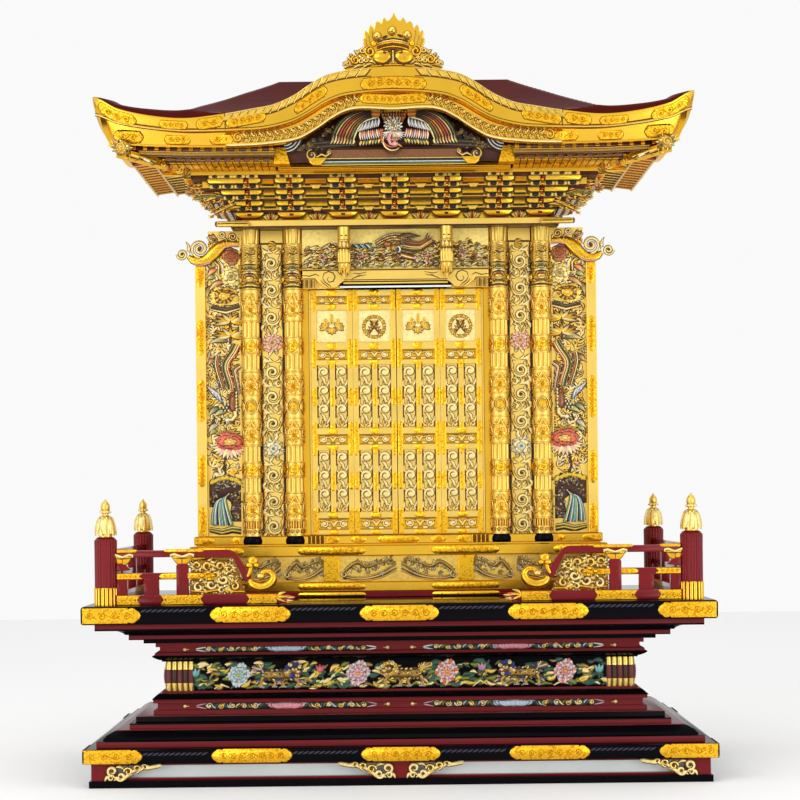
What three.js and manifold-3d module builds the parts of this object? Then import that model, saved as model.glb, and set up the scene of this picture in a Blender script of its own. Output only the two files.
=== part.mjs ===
// Gilt palace shrine with folding doors, on a stepped lacquer pedestal with a red railing.
// Millimetres, +Z up, front towards -Y, origin at the bottom centre.
import * as THREE from "three";
import { mergeVertices } from "three/addons/utils/BufferGeometryUtils.js";
import Module from "manifold-3d";

const wasm = await Module();
wasm.setup();

// ---------------------------------------------------------------- driving dimensions
const GAP = 0.3; // clearance between touching pieces

const BOARD_HALF_W = 909; // pedestal boards: six shaku wide
const BOARD_HALF_D = 454.5; // and three shaku deep
const LOWER_BOARD_Z = 70;
const TOP_BOARD_Z = 468;
const DECK_Z = 521; // top face of the pedestal

const POST_INSET = 64; // railing post axis from the board's edge
const POST_R = 33;
const POST_TOP_Z = 712;
const RAIL_Y = POST_INSET - BOARD_HALF_D;

const BASE_HALF_W = 636; // box that carries the shrine
const BASE_FRONT_Y = -106;
const BASE_BACK_Y = 266;
const FLOOR_Z = 683; // underside of the shrine's sill
const SILL_TOP_Z = 709;

const COLUMN_Y = -69.5;
const COLUMN_R = 27;
const INNER_COLUMN_X = 314.5;
const OUTER_COLUMN_X = 444;
const COLUMN_TOP_Z = 1643.7;

const LEAF_T = 14; // door leaf thickness
const LEAF_MID_Y = -54;
const LEAF_BOTTOM_Z = 711;
const LEAF_TOP_Z = 1461;
const OPENING_HALF = 267.6;
const LEAF_JOINT_X = 133.8; // where outer and inner leaves meet

const BACK_WALL_Y = 229;
const SIDE_WALL_X = 440;
const WALL_T = 16;

const HEAD_Z = 1644; // underside of the head board
const BRACKET_Z = 1666.3;
const BRACKET_TIERS = 4;
const TIER_H = 27.2;
const TIER_STEP = 40;
const EAVES_Z = 1775.4; // underside of the eaves purlin

const ROOF_HALF_W = 861;
const ROOF_FRONT_Y = -440;
const ROOF_BACK_Y = 305;
const ROOF_MID_Y = (ROOF_FRONT_Y + ROOF_BACK_Y) / 2;
const ROOF_HALF_D = (ROOF_BACK_Y - ROOF_FRONT_Y) / 2;
const EAVE_Z = 1912; // fascia top along the straight eaves
const CORNER_RISE = 65;
const RIDGE_Z = 2095;
const RIDGE_HALF = 352;
const ROOF_FLOOR_Z = 1893;
const FASCIA_T = 44;
const GABLE_HALF = 485; // half length of the undulating gable board
const CREST_TOP_Z = 2214;

// ---------------------------------------------------------------- materials
const finish = (color, roughness, metalness) =>
  new THREE.MeshStandardMaterial({ color, roughness, metalness });
const goldLeaf = finish(0xe6ae3a, 0.3, 0.9);
const goldPlate = finish(0xd99a1c, 0.35, 0.9);
const redLacquer = finish(0x7c2a2e, 0.25, 0);
const blackLacquer = finish(0x131217, 0.15, 0);
const paleLacquer = finish(0xbfd0c6, 0.3, 0);
const roofLacquer = finish(0x4a1a1c, 0.25, 0);
const carvedGreen = finish(0x3c5a40, 0.5, 0);

// ---------------------------------------------------------------- small helpers
const model = new THREE.Group();
const TURN = Math.PI * 2;
const steps = (n) => Array.from({ length: n }, (_, i) => i);
const bothSides = [["left", -1], ["right", 1]];

function toSolid(shape) {
  if (!shape.isBufferGeometry) return shape;
  const bare = shape.index ? shape.toNonIndexed() : shape.clone();
  bare.deleteAttribute("normal");
  bare.deleteAttribute("uv");
  const merged = mergeVertices(bare, 1e-3);
  const corner = merged.index.array;
  const triVerts = [];
  for (let i = 0; i < corner.length; i += 3) {
    const [a, b, c] = [corner[i], corner[i + 1], corner[i + 2]];
    if (a !== b && b !== c && c !== a) triVerts.push(a, b, c);
  }
  return new wasm.Manifold(new wasm.Mesh({
    numProp: 3,
    vertProperties: Float32Array.from(merged.attributes.position.array),
    triVerts: Uint32Array.from(triVerts),
  }));
}

function join(...shapes) {
  return shapes.flat().map(toSolid).reduce((whole, next) => whole.add(next));
}

function cut(shape, ...tools) {
  return tools.flat().map(toSolid).reduce((whole, next) => whole.subtract(next), toSolid(shape));
}

function add(name, shape, material) {
  const mesh = toSolid(shape).getMesh();
  const geometry = new THREE.BufferGeometry();
  geometry.setAttribute("position", new THREE.BufferAttribute(mesh.vertProperties, 3));
  geometry.setIndex(new THREE.BufferAttribute(mesh.triVerts, 1));
  geometry.computeVertexNormals();
  const piece = new THREE.Mesh(geometry, material);
  piece.name = name;
  model.add(piece);
}

// Box between two x, two y and two z values.
function block(x0, x1, y0, y1, z0, z1) {
  const size = [Math.abs(x1 - x0), Math.abs(y1 - y0), Math.abs(z1 - z0)];
  return new THREE.BoxGeometry(...size).translate((x0 + x1) / 2, (y0 + y1) / 2, (z0 + z1) / 2);
}

// Outline of [x, z] points, thick from y0 back to y1.
function upright(points, y0, y1) {
  const shape = new THREE.Shape(points.map(([x, z]) => new THREE.Vector2(x, z)));
  const solid = new THREE.ExtrudeGeometry(shape, { depth: y1 - y0, bevelEnabled: false });
  return solid.rotateX(Math.PI / 2).translate(0, y1, 0);
}

// Outline of [y, z] points, from x0 to x1.
function sideways(points, x0, x1) {
  const shape = new THREE.Shape(points.map(([y, z]) => new THREE.Vector2(y, z)));
  const solid = new THREE.ExtrudeGeometry(shape, { depth: x1 - x0, bevelEnabled: false });
  const axes = new THREE.Matrix4().set(0, 0, 1, x0, 1, 0, 0, 0, 0, 1, 0, 0, 0, 0, 0, 1);
  return solid.applyMatrix4(axes);
}

// Outline of [x, y] points, from z0 up to z1.
function plan(points, z0, z1) {
  const shape = new THREE.Shape(points.map(([x, y]) => new THREE.Vector2(x, y)));
  return new THREE.ExtrudeGeometry(shape, { depth: z1 - z0, bevelEnabled: false })
    .translate(0, 0, z0);
}

// Turned piece: [radius, z] points from the axis back to the axis.
function turned(points, sides, x, y) {
  const profile = points.map(([r, z]) => new THREE.Vector2(r, z));
  return new THREE.LatheGeometry(profile, sides).rotateX(Math.PI / 2).translate(x, y, 0);
}

// Closed solid from rings of equally many points, capped at both ends (rings convex-ish).
function skin(rings) {
  const n = rings[0].length;
  const position = rings.flat().flat();
  const index = [];
  for (let r = 0; r + 1 < rings.length; r++) {
    for (let i = 0; i < n; i++) {
      const j = (i + 1) % n;
      const [a, b] = [r * n + i, r * n + j];
      index.push(a, b, b + n, a, b + n, a + n);
    }
  }
  const last = (rings.length - 1) * n;
  for (let i = 1; i + 1 < n; i++) index.push(0, i + 1, i, last, last + i, last + i + 1);
  const geometry = new THREE.BufferGeometry();
  geometry.setAttribute("position", new THREE.Float32BufferAttribute(position, 3));
  geometry.setIndex(index);
  return geometry;
}

// Mitred course: rectangular rings given as [z, inset from the board's edge].
function course(levels) {
  return skin(levels.map(([z, inset]) => {
    const [w, d] = [BOARD_HALF_W - inset, BOARD_HALF_D - inset];
    return [[-w, -d, z], [w, -d, z], [w, d, z], [-w, d, z]];
  }));
}

// Smooth curve through [x, value] pairs with rising x; flat at both ends.
function through(pairs) {
  const slope = pairs.map((p, i) => {
    if (i === 0 || i === pairs.length - 1) return 0;
    return (pairs[i + 1][1] - pairs[i - 1][1]) / (pairs[i + 1][0] - pairs[i - 1][0]);
  });
  return (x) => {
    const at = Math.abs(x);
    let i = pairs.findIndex((p) => p[0] >= at);
    if (i < 1) i = i < 0 ? pairs.length - 1 : 1;
    const [[x0, v0], [x1, v1]] = [pairs[i - 1], pairs[i]];
    const h = x1 - x0;
    const t = Math.min(1, Math.max(0, (at - x0) / h));
    const hermite = [1 - 3 * t * t + 2 * t ** 3, t - 2 * t * t + t ** 3, 3 * t * t - 2 * t ** 3,
      t ** 3 - t * t];
    return v0 * hermite[0] + h * slope[i - 1] * hermite[1] + v1 * hermite[2]
      + h * slope[i] * hermite[3];
  };
}

// Ribbon of even width along [x, z] points.
function ribbon(points, half, y0, y1) {
  const edge = (sign) => points.map(([x, z], i) => {
    const [ax, az] = points[Math.max(0, i - 1)];
    const [bx, bz] = points[Math.min(points.length - 1, i + 1)];
    const length = Math.hypot(bx - ax, bz - az);
    return [x - (sign * half * (bz - az)) / length, z + (sign * half * (bx - ax)) / length];
  });
  return upright([...edge(1), ...edge(-1).reverse()], y0, y1);
}

// Rosette on an upright face: a low cone with its point towards the front.
function rosette(x, z, radius, y, proud, sides = 6) {
  return new THREE.ConeGeometry(radius, proud + 2, sides).rotateX(Math.PI)
    .translate(x, y - proud / 2 + 1, z);
}

// Pointed leaf on an upright face, from one point to another.
function leaf(x0, z0, x1, z1, width, y, proud) {
  const length = Math.hypot(x1 - x0, z1 - z0);
  return new THREE.OctahedronGeometry(1).scale(length / 2, proud, width / 2)
    .rotateY(-Math.atan2(z1 - z0, x1 - x0))
    .translate((x0 + x1) / 2, y, (z0 + z1) / 2);
}

// Gold plate with lobed ends, let into a board's front face.
function boardPlate(x0, x1, z0, z1) {
  const mid = (z0 + z1) / 2;
  const lobe = 16;
  const outline = [[x0, mid], [x0 + lobe, z0], [x1 - lobe, z0], [x1, mid], [x1 - lobe, z1],
    [x0 + lobe, z1]];
  return upright(outline, -BOARD_HALF_D, 8 - BOARD_HALF_D);
}

// ---------------------------------------------------------------- pedestal
const PLATE_T = 2; // gold plates stand this far out of the boards
const PLATE_SPANS = [[-113, 113], [310, 540], [-540, -310], [738, 905], [-905, -738]];

function boardWithPlates(z0, z1) {
  const blank = course([[z0, 4], [z0 + 5, 0], [z1 - 12, 0], [z1 - 4, 4], [z1, 12]]);
  const face = block(-1000, 1000, -600, PLATE_T - BOARD_HALF_D, z0 - 10, z1 + 10);
  const plates = PLATE_SPANS.map(([x0, x1]) => boardPlate(x0, x1, z0 + 4, z1 - 9));
  return join(cut(blank, face), plates);
}

// Open ring with corner and centre blocks; the pale panels stand in its windows.
function baseFrame() {
  const [inset, core, blockInset, blockSize] = [36, 52, 22, 72];
  const [bottom, top] = [20 + GAP, LOWER_BOARD_Z - GAP];
  const [windowZ0, windowZ1] = [26, 62];
  const [w, d] = [BOARD_HALF_W - blockInset, BOARD_HALF_D - blockInset];
  const ring = course([[bottom, inset], [top, inset]]);
  const corners = [-1, 1].flatMap((sx) => [-1, 1].map((sy) =>
    block(sx * w, sx * (w - blockSize), sy * d, sy * (d - blockSize), bottom, top)));
  const centres = [-1, 1].map((sy) => block(-37, 37, sy * d, sy * (d - 26), bottom, top));
  const windows = [-1, 1].flatMap((sx) => [-1, 1].map((sy) =>
    block(sx * 37, sx * (w - blockSize), sy * (d + 10), sy * (d - 40), windowZ0, windowZ1)));
  const ends = [-1, 1].map((sx) =>
    block(sx * (w + 10), sx * (w - 40), blockSize - d, d - blockSize, windowZ0, windowZ1));
  const inside = course([[10, core - GAP], [80, core - GAP]]);
  return cut(join(cut(ring, windows, ends), corners, centres), inside);
}

// Waist: carved drum whose corners are wrapped by upright ribs.
const DRUM_INSET = 210;
function waistDrum() {
  const [w, d] = [BOARD_HALF_W - DRUM_INSET, BOARD_HALF_D - DRUM_INSET];
  const ribs = 3;
  const pitch = 29;
  const face = (half, out) => {
    const points = [];
    for (const i of steps(ribs)) {
      points.push([-half + (i + 0.05) * pitch, out], [-half + (i + 0.5) * pitch, out + 7]);
    }
    points.push([-half + ribs * pitch, out]);
    const mirrored = points.map(([a, b]) => [-a, b]).reverse();
    return [...points, ...mirrored];
  };
  const front = face(w, d).map(([a, b]) => [a, -b]);
  const right = face(d, w).map(([a, b]) => [b, a]);
  const back = face(w, d).map(([a, b]) => [-a, b]);
  const left = face(d, w).map(([a, b]) => [-b, -a]);
  const body = plan([...front, ...right, ...back, ...left], 256.3, 337);
  const cap = course([[336, DRUM_INSET + 3], [343.7, DRUM_INSET + 3]]);
  const y = -d;
  const carving = [];
  for (const [x, r] of [[-470, 32], [-120, 32], [135, 32], [470, 32]]) {
    carving.push(rosette(x, 295, r, y, 11, 5));
  }
  for (const x of [-345, 12, 350]) {
    carving.push(new THREE.SphereGeometry(1, 5, 3).scale(44, 11, 20).translate(x, y, 292));
    carving.push(rosette(x - 40, 308, 17, y, 13, 4));
  }
  for (const x of [-560, -240, 245, 565]) {
    carving.push(leaf(x - 34, 284, x + 34, 308, 22, y, 7));
  }
  return join(body, cap, carving);
}

function narrowBand(z0, z1, inset) {
  const body = course([[z0, inset], [z1, inset]]);
  const y = inset - BOARD_HALF_D;
  const mid = (z0 + z1) / 2;
  const reach = BOARD_HALF_W - inset;
  const leaves = steps(5).map((i) => {
    const x = (i - 2) * (reach / 2.8);
    return leaf(x - 70, mid, x + 70, mid, 14, y, 5);
  });
  return join(body, leaves);
}

add("ground_frame", course([[0, 16], [20, 16]]), blackLacquer);
add("base_frame", baseFrame(), redLacquer);
add("base_panels", course([[20 + GAP, 52], [LOWER_BOARD_Z - GAP, 52]]), paleLacquer);
add("lower_board", boardWithPlates(LOWER_BOARD_Z, 112), blackLacquer);
add("lower_steps", course([[112.3, 35], [130, 35], [130, 50], [158, 86], [158, 119], [172, 119],
  [172, 135.5], [190, 135.5], [190, 181], [202, 181]]), redLacquer);
add("lower_band", narrowBand(202.3, 223, 192), carvedGreen);
add("lower_fillet", course([[223.3, 180], [233.5, 180], [233.5, 175.5], [251, 196],
  [251, 204], [256, 204]]), blackLacquer);
add("waist_drum", waistDrum(), carvedGreen);
add("upper_fillet", course([[344, 204], [348, 204], [361, 178], [362, 178], [362, 186],
  [371, 186]]), blackLacquer);
add("upper_band", narrowBand(371.3, 388, 199), carvedGreen);
add("upper_steps", course([[388.3, 188], [402, 188], [402, 157], [415, 157], [415, 119],
  [431, 119], [431, 110], [448, 70], [448, 34], [TOP_BOARD_Z - GAP, 34]]), redLacquer);
add("top_board", boardWithPlates(TOP_BOARD_Z, DECK_Z), blackLacquer);

// ---------------------------------------------------------------- railing
function flutedPost(x, y) {
  const flutes = 6;
  const ring = (z, r, groove) => steps(flutes * 2).map((i) => {
    const angle = (i / (flutes * 2)) * TURN;
    const reach = i % 2 ? r : r - groove;
    return [x + reach * Math.cos(angle), y + reach * Math.sin(angle), z];
  });
  return skin([ring(DECK_Z + GAP, POST_R, 4), ring(POST_TOP_Z - 14, POST_R - 1, 3),
    ring(POST_TOP_Z, POST_R - 9, 1)]);
}

// Inverted lotus with a bud on top.
function postFinial(x, y) {
  const z = POST_TOP_Z + GAP;
  return turned([[0, z], [31, z], [30, z + 30], [10, z + 50], [9, z + 62], [15, z + 72],
    [14, z + 88], [0, z + 116]], 7, x, y);
}

for (const [end, sy] of [["front", -1], ["rear", 1]]) {
  for (const [hand, sx] of bothSides) {
    const x = sx * (BOARD_HALF_W - POST_INSET);
    const y = sy * (BOARD_HALF_D - POST_INSET);
    add(`post_${end}_${hand}`, flutedPost(x, y), redLacquer);
    add(`finial_${end}_${hand}`, postFinial(x, y), goldPlate);
  }
}

const RAIL_Z = { ground: [DECK_Z + GAP, 550], mid: [594, 613], top: [658, 678] };

// Front run: three rails, a strut with a lotus cap, and the top rail's curled end.
function frontRailing(side) {
  const start = BOARD_HALF_W - POST_INSET - POST_R - 1;
  const run = (points, half) => {
    const outline = points.map(([x, z]) => [side * x, z]);
    return upright(side > 0 ? outline : outline.reverse(), RAIL_Y - half, RAIL_Y + half);
  };
  const ground = run([[start, RAIL_Z.ground[0]], [start, RAIL_Z.ground[1]], [352, RAIL_Z.ground[1]],
    [322, RAIL_Z.ground[0]]], 15);
  const mid = run([[start, RAIL_Z.mid[0]], [start, RAIL_Z.mid[1]], [590, RAIL_Z.mid[1]],
    [555, 603], [590, RAIL_Z.mid[0]]], 10);
  const top = run([[start, RAIL_Z.top[0]], [start, RAIL_Z.top[1]], [480, RAIL_Z.top[1]],
    [458, 662], [424, 596], [443, 583], [478, RAIL_Z.top[0]]], 10);
  const strut = run([[641, 548], [641, 636], [607, 636], [607, 548]], 13);
  const cap = run([[641, 636], [658, 659], [590, 659], [607, 636]], 16);
  const bolster = run([[start, 632], [start, 659], [780, 659]], 16);
  const curl = bracken(side, 400, 600, 36, 16);
  const link = run([[444, 586], [424, 597], [404, 572], [418, 558]], 14);
  return join(ground, mid, top, strut, cap, bolster, curl, link);
}

// Bracken head: a thick ribbon that winds inward from its lower outer side.
function bracken(side, x, z, radius, half) {
  const count = 8;
  const [outer, inner] = [[], []];
  for (const i of steps(count + 1)) {
    const t = i / count;
    const angle = -Math.PI * 0.1 - t * TURN * 0.98;
    const r = radius * (1 - 0.62 * t);
    const w = 9 * (1 + 0.25 * t);
    outer.push([side * (x + (r + w) * Math.cos(angle)), z + (r + w) * 0.8 * Math.sin(angle)]);
    inner.unshift([side * (x + (r - w) * Math.cos(angle)), z + (r - w) * 0.8 * Math.sin(angle)]);
  }
  return upright([...outer, ...inner], RAIL_Y - half, RAIL_Y + half);
}

// Carved board that fills the railing's end between the strut and the falling top rail.
function scrollBoard(side) {
  const outline = [[598, 551], [603, 600], [590, 648], [550, 655], [515, 648], [486, 648],
    [455, 590], [440, 551]];
  const points = outline.map(([x, z]) => [side * x, z]);
  const back = RAIL_Y + 6;
  const midRail = block(side * 554, side * 640, back - 30, back + 30, RAIL_Z.mid[0] - 1,
    RAIL_Z.mid[1] + 1);
  const board = cut(upright(side > 0 ? points : points.reverse(), back - 8, back), midRail);
  const bosses = [[575, 628, 18], [532, 628, 18], [562, 582, 20], [512, 580, 20], [470, 576, 14]]
    .map(([x, z, r]) => rosette(side * x, z, r, back - 8, 9, 5));
  return join(board, bosses);
}

function sideRailing(side) {
  const x = side * (BOARD_HALF_W - POST_INSET);
  const y = BOARD_HALF_D - POST_INSET - POST_R - 1;
  const rail = ([z0, z1], half) => block(x - half, x + half, -y, y, z0, z1);
  const struts = [-0.35, 0.35].map((t) => join(
    block(x - 13, x + 13, t * 1.1 * y - 17, t * 1.1 * y + 17, 548, 640),
    sideways([[-17, 636], [17, 636], [34, 659], [-34, 659]].map(([a, z]) => [a + t * 1.1 * y, z]),
      x - 15, x + 15)));
  return join(rail(RAIL_Z.ground, 15), rail(RAIL_Z.mid, 9), rail(RAIL_Z.top, 9), struts);
}

for (const [hand, side] of bothSides) {
  add(`railing_front_${hand}`, frontRailing(side), redLacquer);
  add(`scroll_board_${hand}`, scrollBoard(side), goldPlate);
  add(`railing_side_${hand}`, sideRailing(side), redLacquer);
}

// ---------------------------------------------------------------- shrine base and body
function shrineBase() {
  const beam = (z0, z1) => block(-BASE_HALF_W, BASE_HALF_W, BASE_FRONT_Y, BASE_BACK_Y, z0, z1);
  const core = block(-BASE_HALF_W + 14, BASE_HALF_W - 14, BASE_FRONT_Y + 14, BASE_BACK_Y - 14,
    560, 660);
  const posts = [-205, 205].map((x) =>
    block(x - 20, x + 20, BASE_FRONT_Y + 3, BASE_FRONT_Y + 20, 560, 660));
  const y = BASE_FRONT_Y + 14;
  const beasts = [-430, -90, 100, 430].flatMap((x, i) => {
    const lean = i % 2 ? -1 : 1;
    return [new THREE.SphereGeometry(1, 5, 3).scale(46, 9, 17).translate(x, y, 606),
      rosette(x + lean * 48, 618, 15, y, 10, 4),
      leaf(x - lean * 36, 606, x - lean * 95, 634, 20, y, 7)];
  });
  const neck = block(-BASE_HALF_W + 20, BASE_HALF_W - 20, BASE_FRONT_Y + 20, BASE_BACK_Y - 20,
    678, FLOOR_Z - GAP);
  return join(beam(539, 568), core, posts, beasts, beam(646, 679), neck);
}

// Sill with the columns' seats cut into it, and the chamber's raised floor board.
function sill() {
  const slab = block(-623, 623, -90, 250, FLOOR_Z, SILL_TOP_Z);
  const floorBoard = block(4 - SIDE_WALL_X, SIDE_WALL_X - 4, -20, BACK_WALL_Y - 3,
    SILL_TOP_Z - 1, SILL_TOP_Z + 3);
  const seats = [-OUTER_COLUMN_X, -INNER_COLUMN_X, INNER_COLUMN_X, OUTER_COLUMN_X].map((x) =>
    new THREE.CylinderGeometry(38, 38, 60, 8).rotateX(Math.PI / 2)
      .translate(x, COLUMN_Y, 700));
  const slots = [-1, 1].map((s) => block(s * 270, s * 286, -95, COLUMN_Y, 670, 730));
  return cut(join(slab, floorBoard), seats, slots);
}

// Column: dark base, then sleeves of plain round section between fluted lengths.
function column(x) {
  const [sleeve, flute] = [[28.6, 28.6], [COLUMN_R, COLUMN_R - 3]];
  const sections = [[FLOOR_Z + GAP, [35, 35]], [SILL_TOP_Z - 0.2, [35, 35]], [SILL_TOP_Z, sleeve],
    [838, sleeve], [840, flute], [1040, flute], [1042, sleeve], [1130, sleeve], [1132, flute],
    [1330, flute], [1332, sleeve], [COLUMN_TOP_Z, sleeve]];
  const sides = 8;
  const shaft = skin(sections.map(([z, radii]) => steps(sides).map((i) => {
    const angle = (i / sides) * TURN;
    const r = radii[i % 2];
    return [x + r * Math.cos(angle), COLUMN_Y + r * Math.sin(angle), z];
  })));
  const front = COLUMN_Y - COLUMN_R + 1;
  const mask = rosette(x, 1496, 24, front - 1, 14, 5);
  return join(shaft, mask);
}

// Carved strip between an inner and an outer column: flowing scrolls on a flat ground.
function columnPanel(side) {
  const x = (side * (INNER_COLUMN_X + OUTER_COLUMN_X)) / 2;
  const ground = block(x - 34, x + 34, -64, -50, SILL_TOP_Z + GAP, HEAD_Z - GAP);
  const vine = ribbon(steps(9).map((i) => [x + (i % 2 ? 14 : -14), 740 + i * 104]), 5, -72, -63);
  const flowers = [875, 1030, 1180, 1330, 1490].map((z) => rosette(x, z, 25, -63, 12, 4));
  return join(ground, vine, flowers);
}

// Curled arm over the wing: an S that leaves the column, dips and rises to a small scroll.
const ARM_LINE = [[478, 1600], [523, 1602], [559, 1579], [585, 1557], [609, 1553], [631, 1565],
  [650, 1577]];
const ARM_HALF = 12;

function wingArm(side) {
  const [front, back] = [-82, -54];
  const at = ([x, z]) => [side * x, z];
  const arm = ribbon(ARM_LINE.map(at), ARM_HALF, front, back);
  const curls = [[599, 1580, 26, 7], [508, 1616, 17, 6], [660, 1572, 18, 6]]
    .map(([x, z, r, sides]) => new THREE.CylinderGeometry(r, r, back - front + 8, sides)
      .translate(side * x, (front + back) / 2 - 4, z));
  return join(arm, curls);
}

// Side wing: framed panel with a phoenix above a waterfall, peonies between.
function wing(side) {
  const at = (points) => {
    const outline = points.map(([x, z]) => [side * x, z]);
    return side > 0 ? outline : outline.reverse();
  };
  const z0 = SILL_TOP_Z + GAP;
  const z1 = 1536;
  const y = -66;
  const x = (v) => side * v;
  const ground = upright(at([[476, z0], [590, z0], [590, z1], [560, 1558], [523, 1585],
    [476, 1583]]), y, -54);
  const post = block(x(582), x(612.6), -82, -50, z0, z1);
  const foot = block(x(476), x(612), -78, -50, z0, z0 + 12);
  const body = new THREE.SphereGeometry(1, 6, 3).scale(17, 12, 40).translate(x(536), y, 1205);
  const neck = leaf(x(536), 1225, x(522), 1310, 18, y, 9);
  const head = rosette(x(520), 1308, 13, y, 12, 4);
  const wings = [[560, 1215, 570, 1330], [520, 1200, 500, 1120]].map(([a, b, c, d]) =>
    leaf(x(a), b, x(c), d, 26, y, 9));
  const tails = steps(3).map((i) =>
    leaf(x(530 + i * 8), 1180, x(502 + i * 30), 1010 + i * 16, 24, y, 8));
  const peonies = [[530, 965, 36], [545, 1400, 28], [520, 1490, 32], [510, 1550, 26]]
    .map(([a, b, r]) => rosette(x(a), b, r, y, 15, 4));
  const leaves = [[500, 920, 570, 900], [490, 1350, 540, 1370]]
    .map(([a, b, c, d]) => leaf(x(a), b, x(c), d, 22, y, 8));
  const rock = upright(at([[480, 745], [575, 735], [575, 880], [500, 900]]), -76, -60);
  const water = upright(at([[500, 760], [545, 760], [540, 860], [508, 850]]), -82, -70);
  return join(ground, post, foot, body, neck, head, wings, tails, peonies, leaves, rock, water);
}

function doorJamb(side) {
  return block(side * (OPENING_HALF + 0.6), side * 289.5, -46, -24, SILL_TOP_Z + GAP, HEAD_Z - GAP);
}

// Rainbow beam over the doors, with the upper pivot blocks at its ends.
function lintel() {
  const bottom = 1478;
  const half = INNER_COLUMN_X - 29 - GAP;
  const right = [[180, bottom], [192, 1470], [200, 1464], [238, 1464], [243, 1493], [half, 1493],
    [half, 1518]];
  const left = right.map(([x, z]) => [-x, z]).reverse();
  const beam = upright([...right, ...left].reverse(), -92, -64);
  const groove = block(-168, 168, -94, -89, 1482, 1486);
  const scrolls = [-1, 1].map((s) => rosette(s * 205, 1497, 15, -92, 5, 6));
  const blocks = [-1, 1].map((s) =>
    block(s * 244, s * (half - 1), -88, -48, LEAF_TOP_Z + 1.5, 1496));
  return cut(join(beam, blocks, scrolls), groove);
}

// Frieze board with a dragon winding through it.
function frieze() {
  const half = INNER_COLUMN_X - 29 - GAP;
  const ground = block(-half, half, -78, -64, 1518 + GAP, HEAD_Z - GAP);
  const segments = 11;
  const ring = (i) => {
    const t = i / segments;
    const x = -240 + 480 * t;
    const z = 1562 + 20 * Math.sin(t * 13) + 14 * Math.sin(t * Math.PI);
    const r = 15 * (0.4 + 0.6 * Math.sin(Math.PI * Math.min(1, t * 1.15 + 0.05)));
    return steps(5).map((k) => [x, -79 + 0.8 * r * Math.cos((k / 5) * TURN),
      z + r * Math.sin((k / 5) * TURN)]);
  };
  const dragon = skin(steps(segments + 1).map(ring));
  const head = new THREE.SphereGeometry(1, 6, 3).scale(26, 18, 19).translate(30, -84, 1590);
  const clouds = steps(5).map((i) => leaf(-255 + i * 105, 1528, -185 + i * 105, 1546, 26, -78, 9));
  return join(ground, dragon, head, clouds);
}

// Hanging post with a petal cap and a pointed foot.
function pendant(side) {
  const x = side * 158;
  return turned([[0, 1488], [20, 1512], [17, 1524], [17, 1566], [22, 1576], [19, 1584],
    [19, HEAD_Z - GAP], [0, HEAD_Z - GAP]], 8, x, -118);
}

add("shrine_base_moulding", join(block(-650, 650, -118, 276, DECK_Z + GAP, 530),
  block(-645, 645, -112, 271, 529, 538.7)), redLacquer);
add("shrine_base", shrineBase(), goldLeaf);
add("shrine_sill", sill(), goldLeaf);
add("back_wall", block(-456, 456, BACK_WALL_Y + GAP, BACK_WALL_Y + WALL_T, SILL_TOP_Z + GAP,
  HEAD_Z - GAP), goldLeaf);
for (const [hand, side] of bothSides) {
  add(`side_wall_${hand}`, block(side * SIDE_WALL_X, side * (SIDE_WALL_X + WALL_T), -38,
    BACK_WALL_Y, SILL_TOP_Z + GAP, HEAD_Z - GAP), goldLeaf);
  add(`column_inner_${hand}`, column(side * INNER_COLUMN_X), goldLeaf);
  add(`column_outer_${hand}`, column(side * OUTER_COLUMN_X), goldLeaf);
  add(`column_panel_${hand}`, columnPanel(side), goldLeaf);
  add(`wing_${hand}`, wing(side), goldLeaf);
  add(`wing_arm_${hand}`, wingArm(side), goldPlate);
  add(`door_jamb_${hand}`, doorJamb(side), goldLeaf);
  add(`pendant_${hand}`, pendant(side), goldLeaf);
}
add("lintel", lintel(), goldLeaf);
add("frieze", frieze(), goldLeaf);
add("head_board", join(block(-500, 500, -136, 245, HEAD_Z, 1660),
  block(-488, 488, -112, 245, 1655, 1666)), goldLeaf);

// ---------------------------------------------------------------- folding doors
// Leaf outline runs from its hinge side to its free side; panels are sunk into the front.
function doorLeaf(x0, x1) {
  const [front, back] = [LEAF_MID_Y - LEAF_T / 2, LEAF_MID_Y + LEAF_T / 2];
  const [left, right] = [Math.min(x0, x1), Math.max(x0, x1)];
  const stile = 16;
  const board = block(left, right, front, back, LEAF_BOTTOM_Z, LEAF_TOP_Z);
  const mid = (left + right) / 2;
  const sunk = (a, b, z0, z1) => block(a, b, front - 5, front + 5, z0, z1);
  const pockets = [
    sunk(left + stile, right - stile, 722, 750),
    sunk(left + stile, right - stile, 972, 994),
    sunk(left + stile, right - stile, 1236, 1268),
    sunk(left + stile, right - stile, 1285, 1388),
    sunk(left + stile, right - stile, 1408, 1440),
    ...[[765, 952], [1012, 1218]].flatMap(([z0, z1]) => [
      sunk(left + stile, mid - 8, z0, z1), sunk(mid + 8, right - stile, z0, z1)]),
  ];
  const quarter = (right - left - 2 * stile) / 4 + 4;
  const bosses = [858, 1115].flatMap((z) => [-1, 1].map((s) =>
    leaf(mid + s * quarter, z - 80, mid + s * quarter, z + 80, 26, front + 5, 4)));
  const crest = rosette(mid, 1336, 36, front + 5, 4, 8);
  return join(cut(board, pockets), bosses, crest);
}

for (const [hand, side] of bothSides) {
  const pivot = side * (OPENING_HALF - LEAF_T / 2);
  const edge = new THREE.CylinderGeometry(LEAF_T / 2, LEAF_T / 2, LEAF_TOP_Z - LEAF_BOTTOM_Z, 10)
    .rotateX(Math.PI / 2).translate(pivot, LEAF_MID_Y, (LEAF_TOP_Z + LEAF_BOTTOM_Z) / 2);
  add(`door_outer_${hand}`, join(doorLeaf(pivot, side * (LEAF_JOINT_X + 0.4)), edge), goldLeaf);
  add(`door_inner_${hand}`, doorLeaf(side * (LEAF_JOINT_X - 0.4), side * 1.2), goldLeaf);
}

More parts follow.
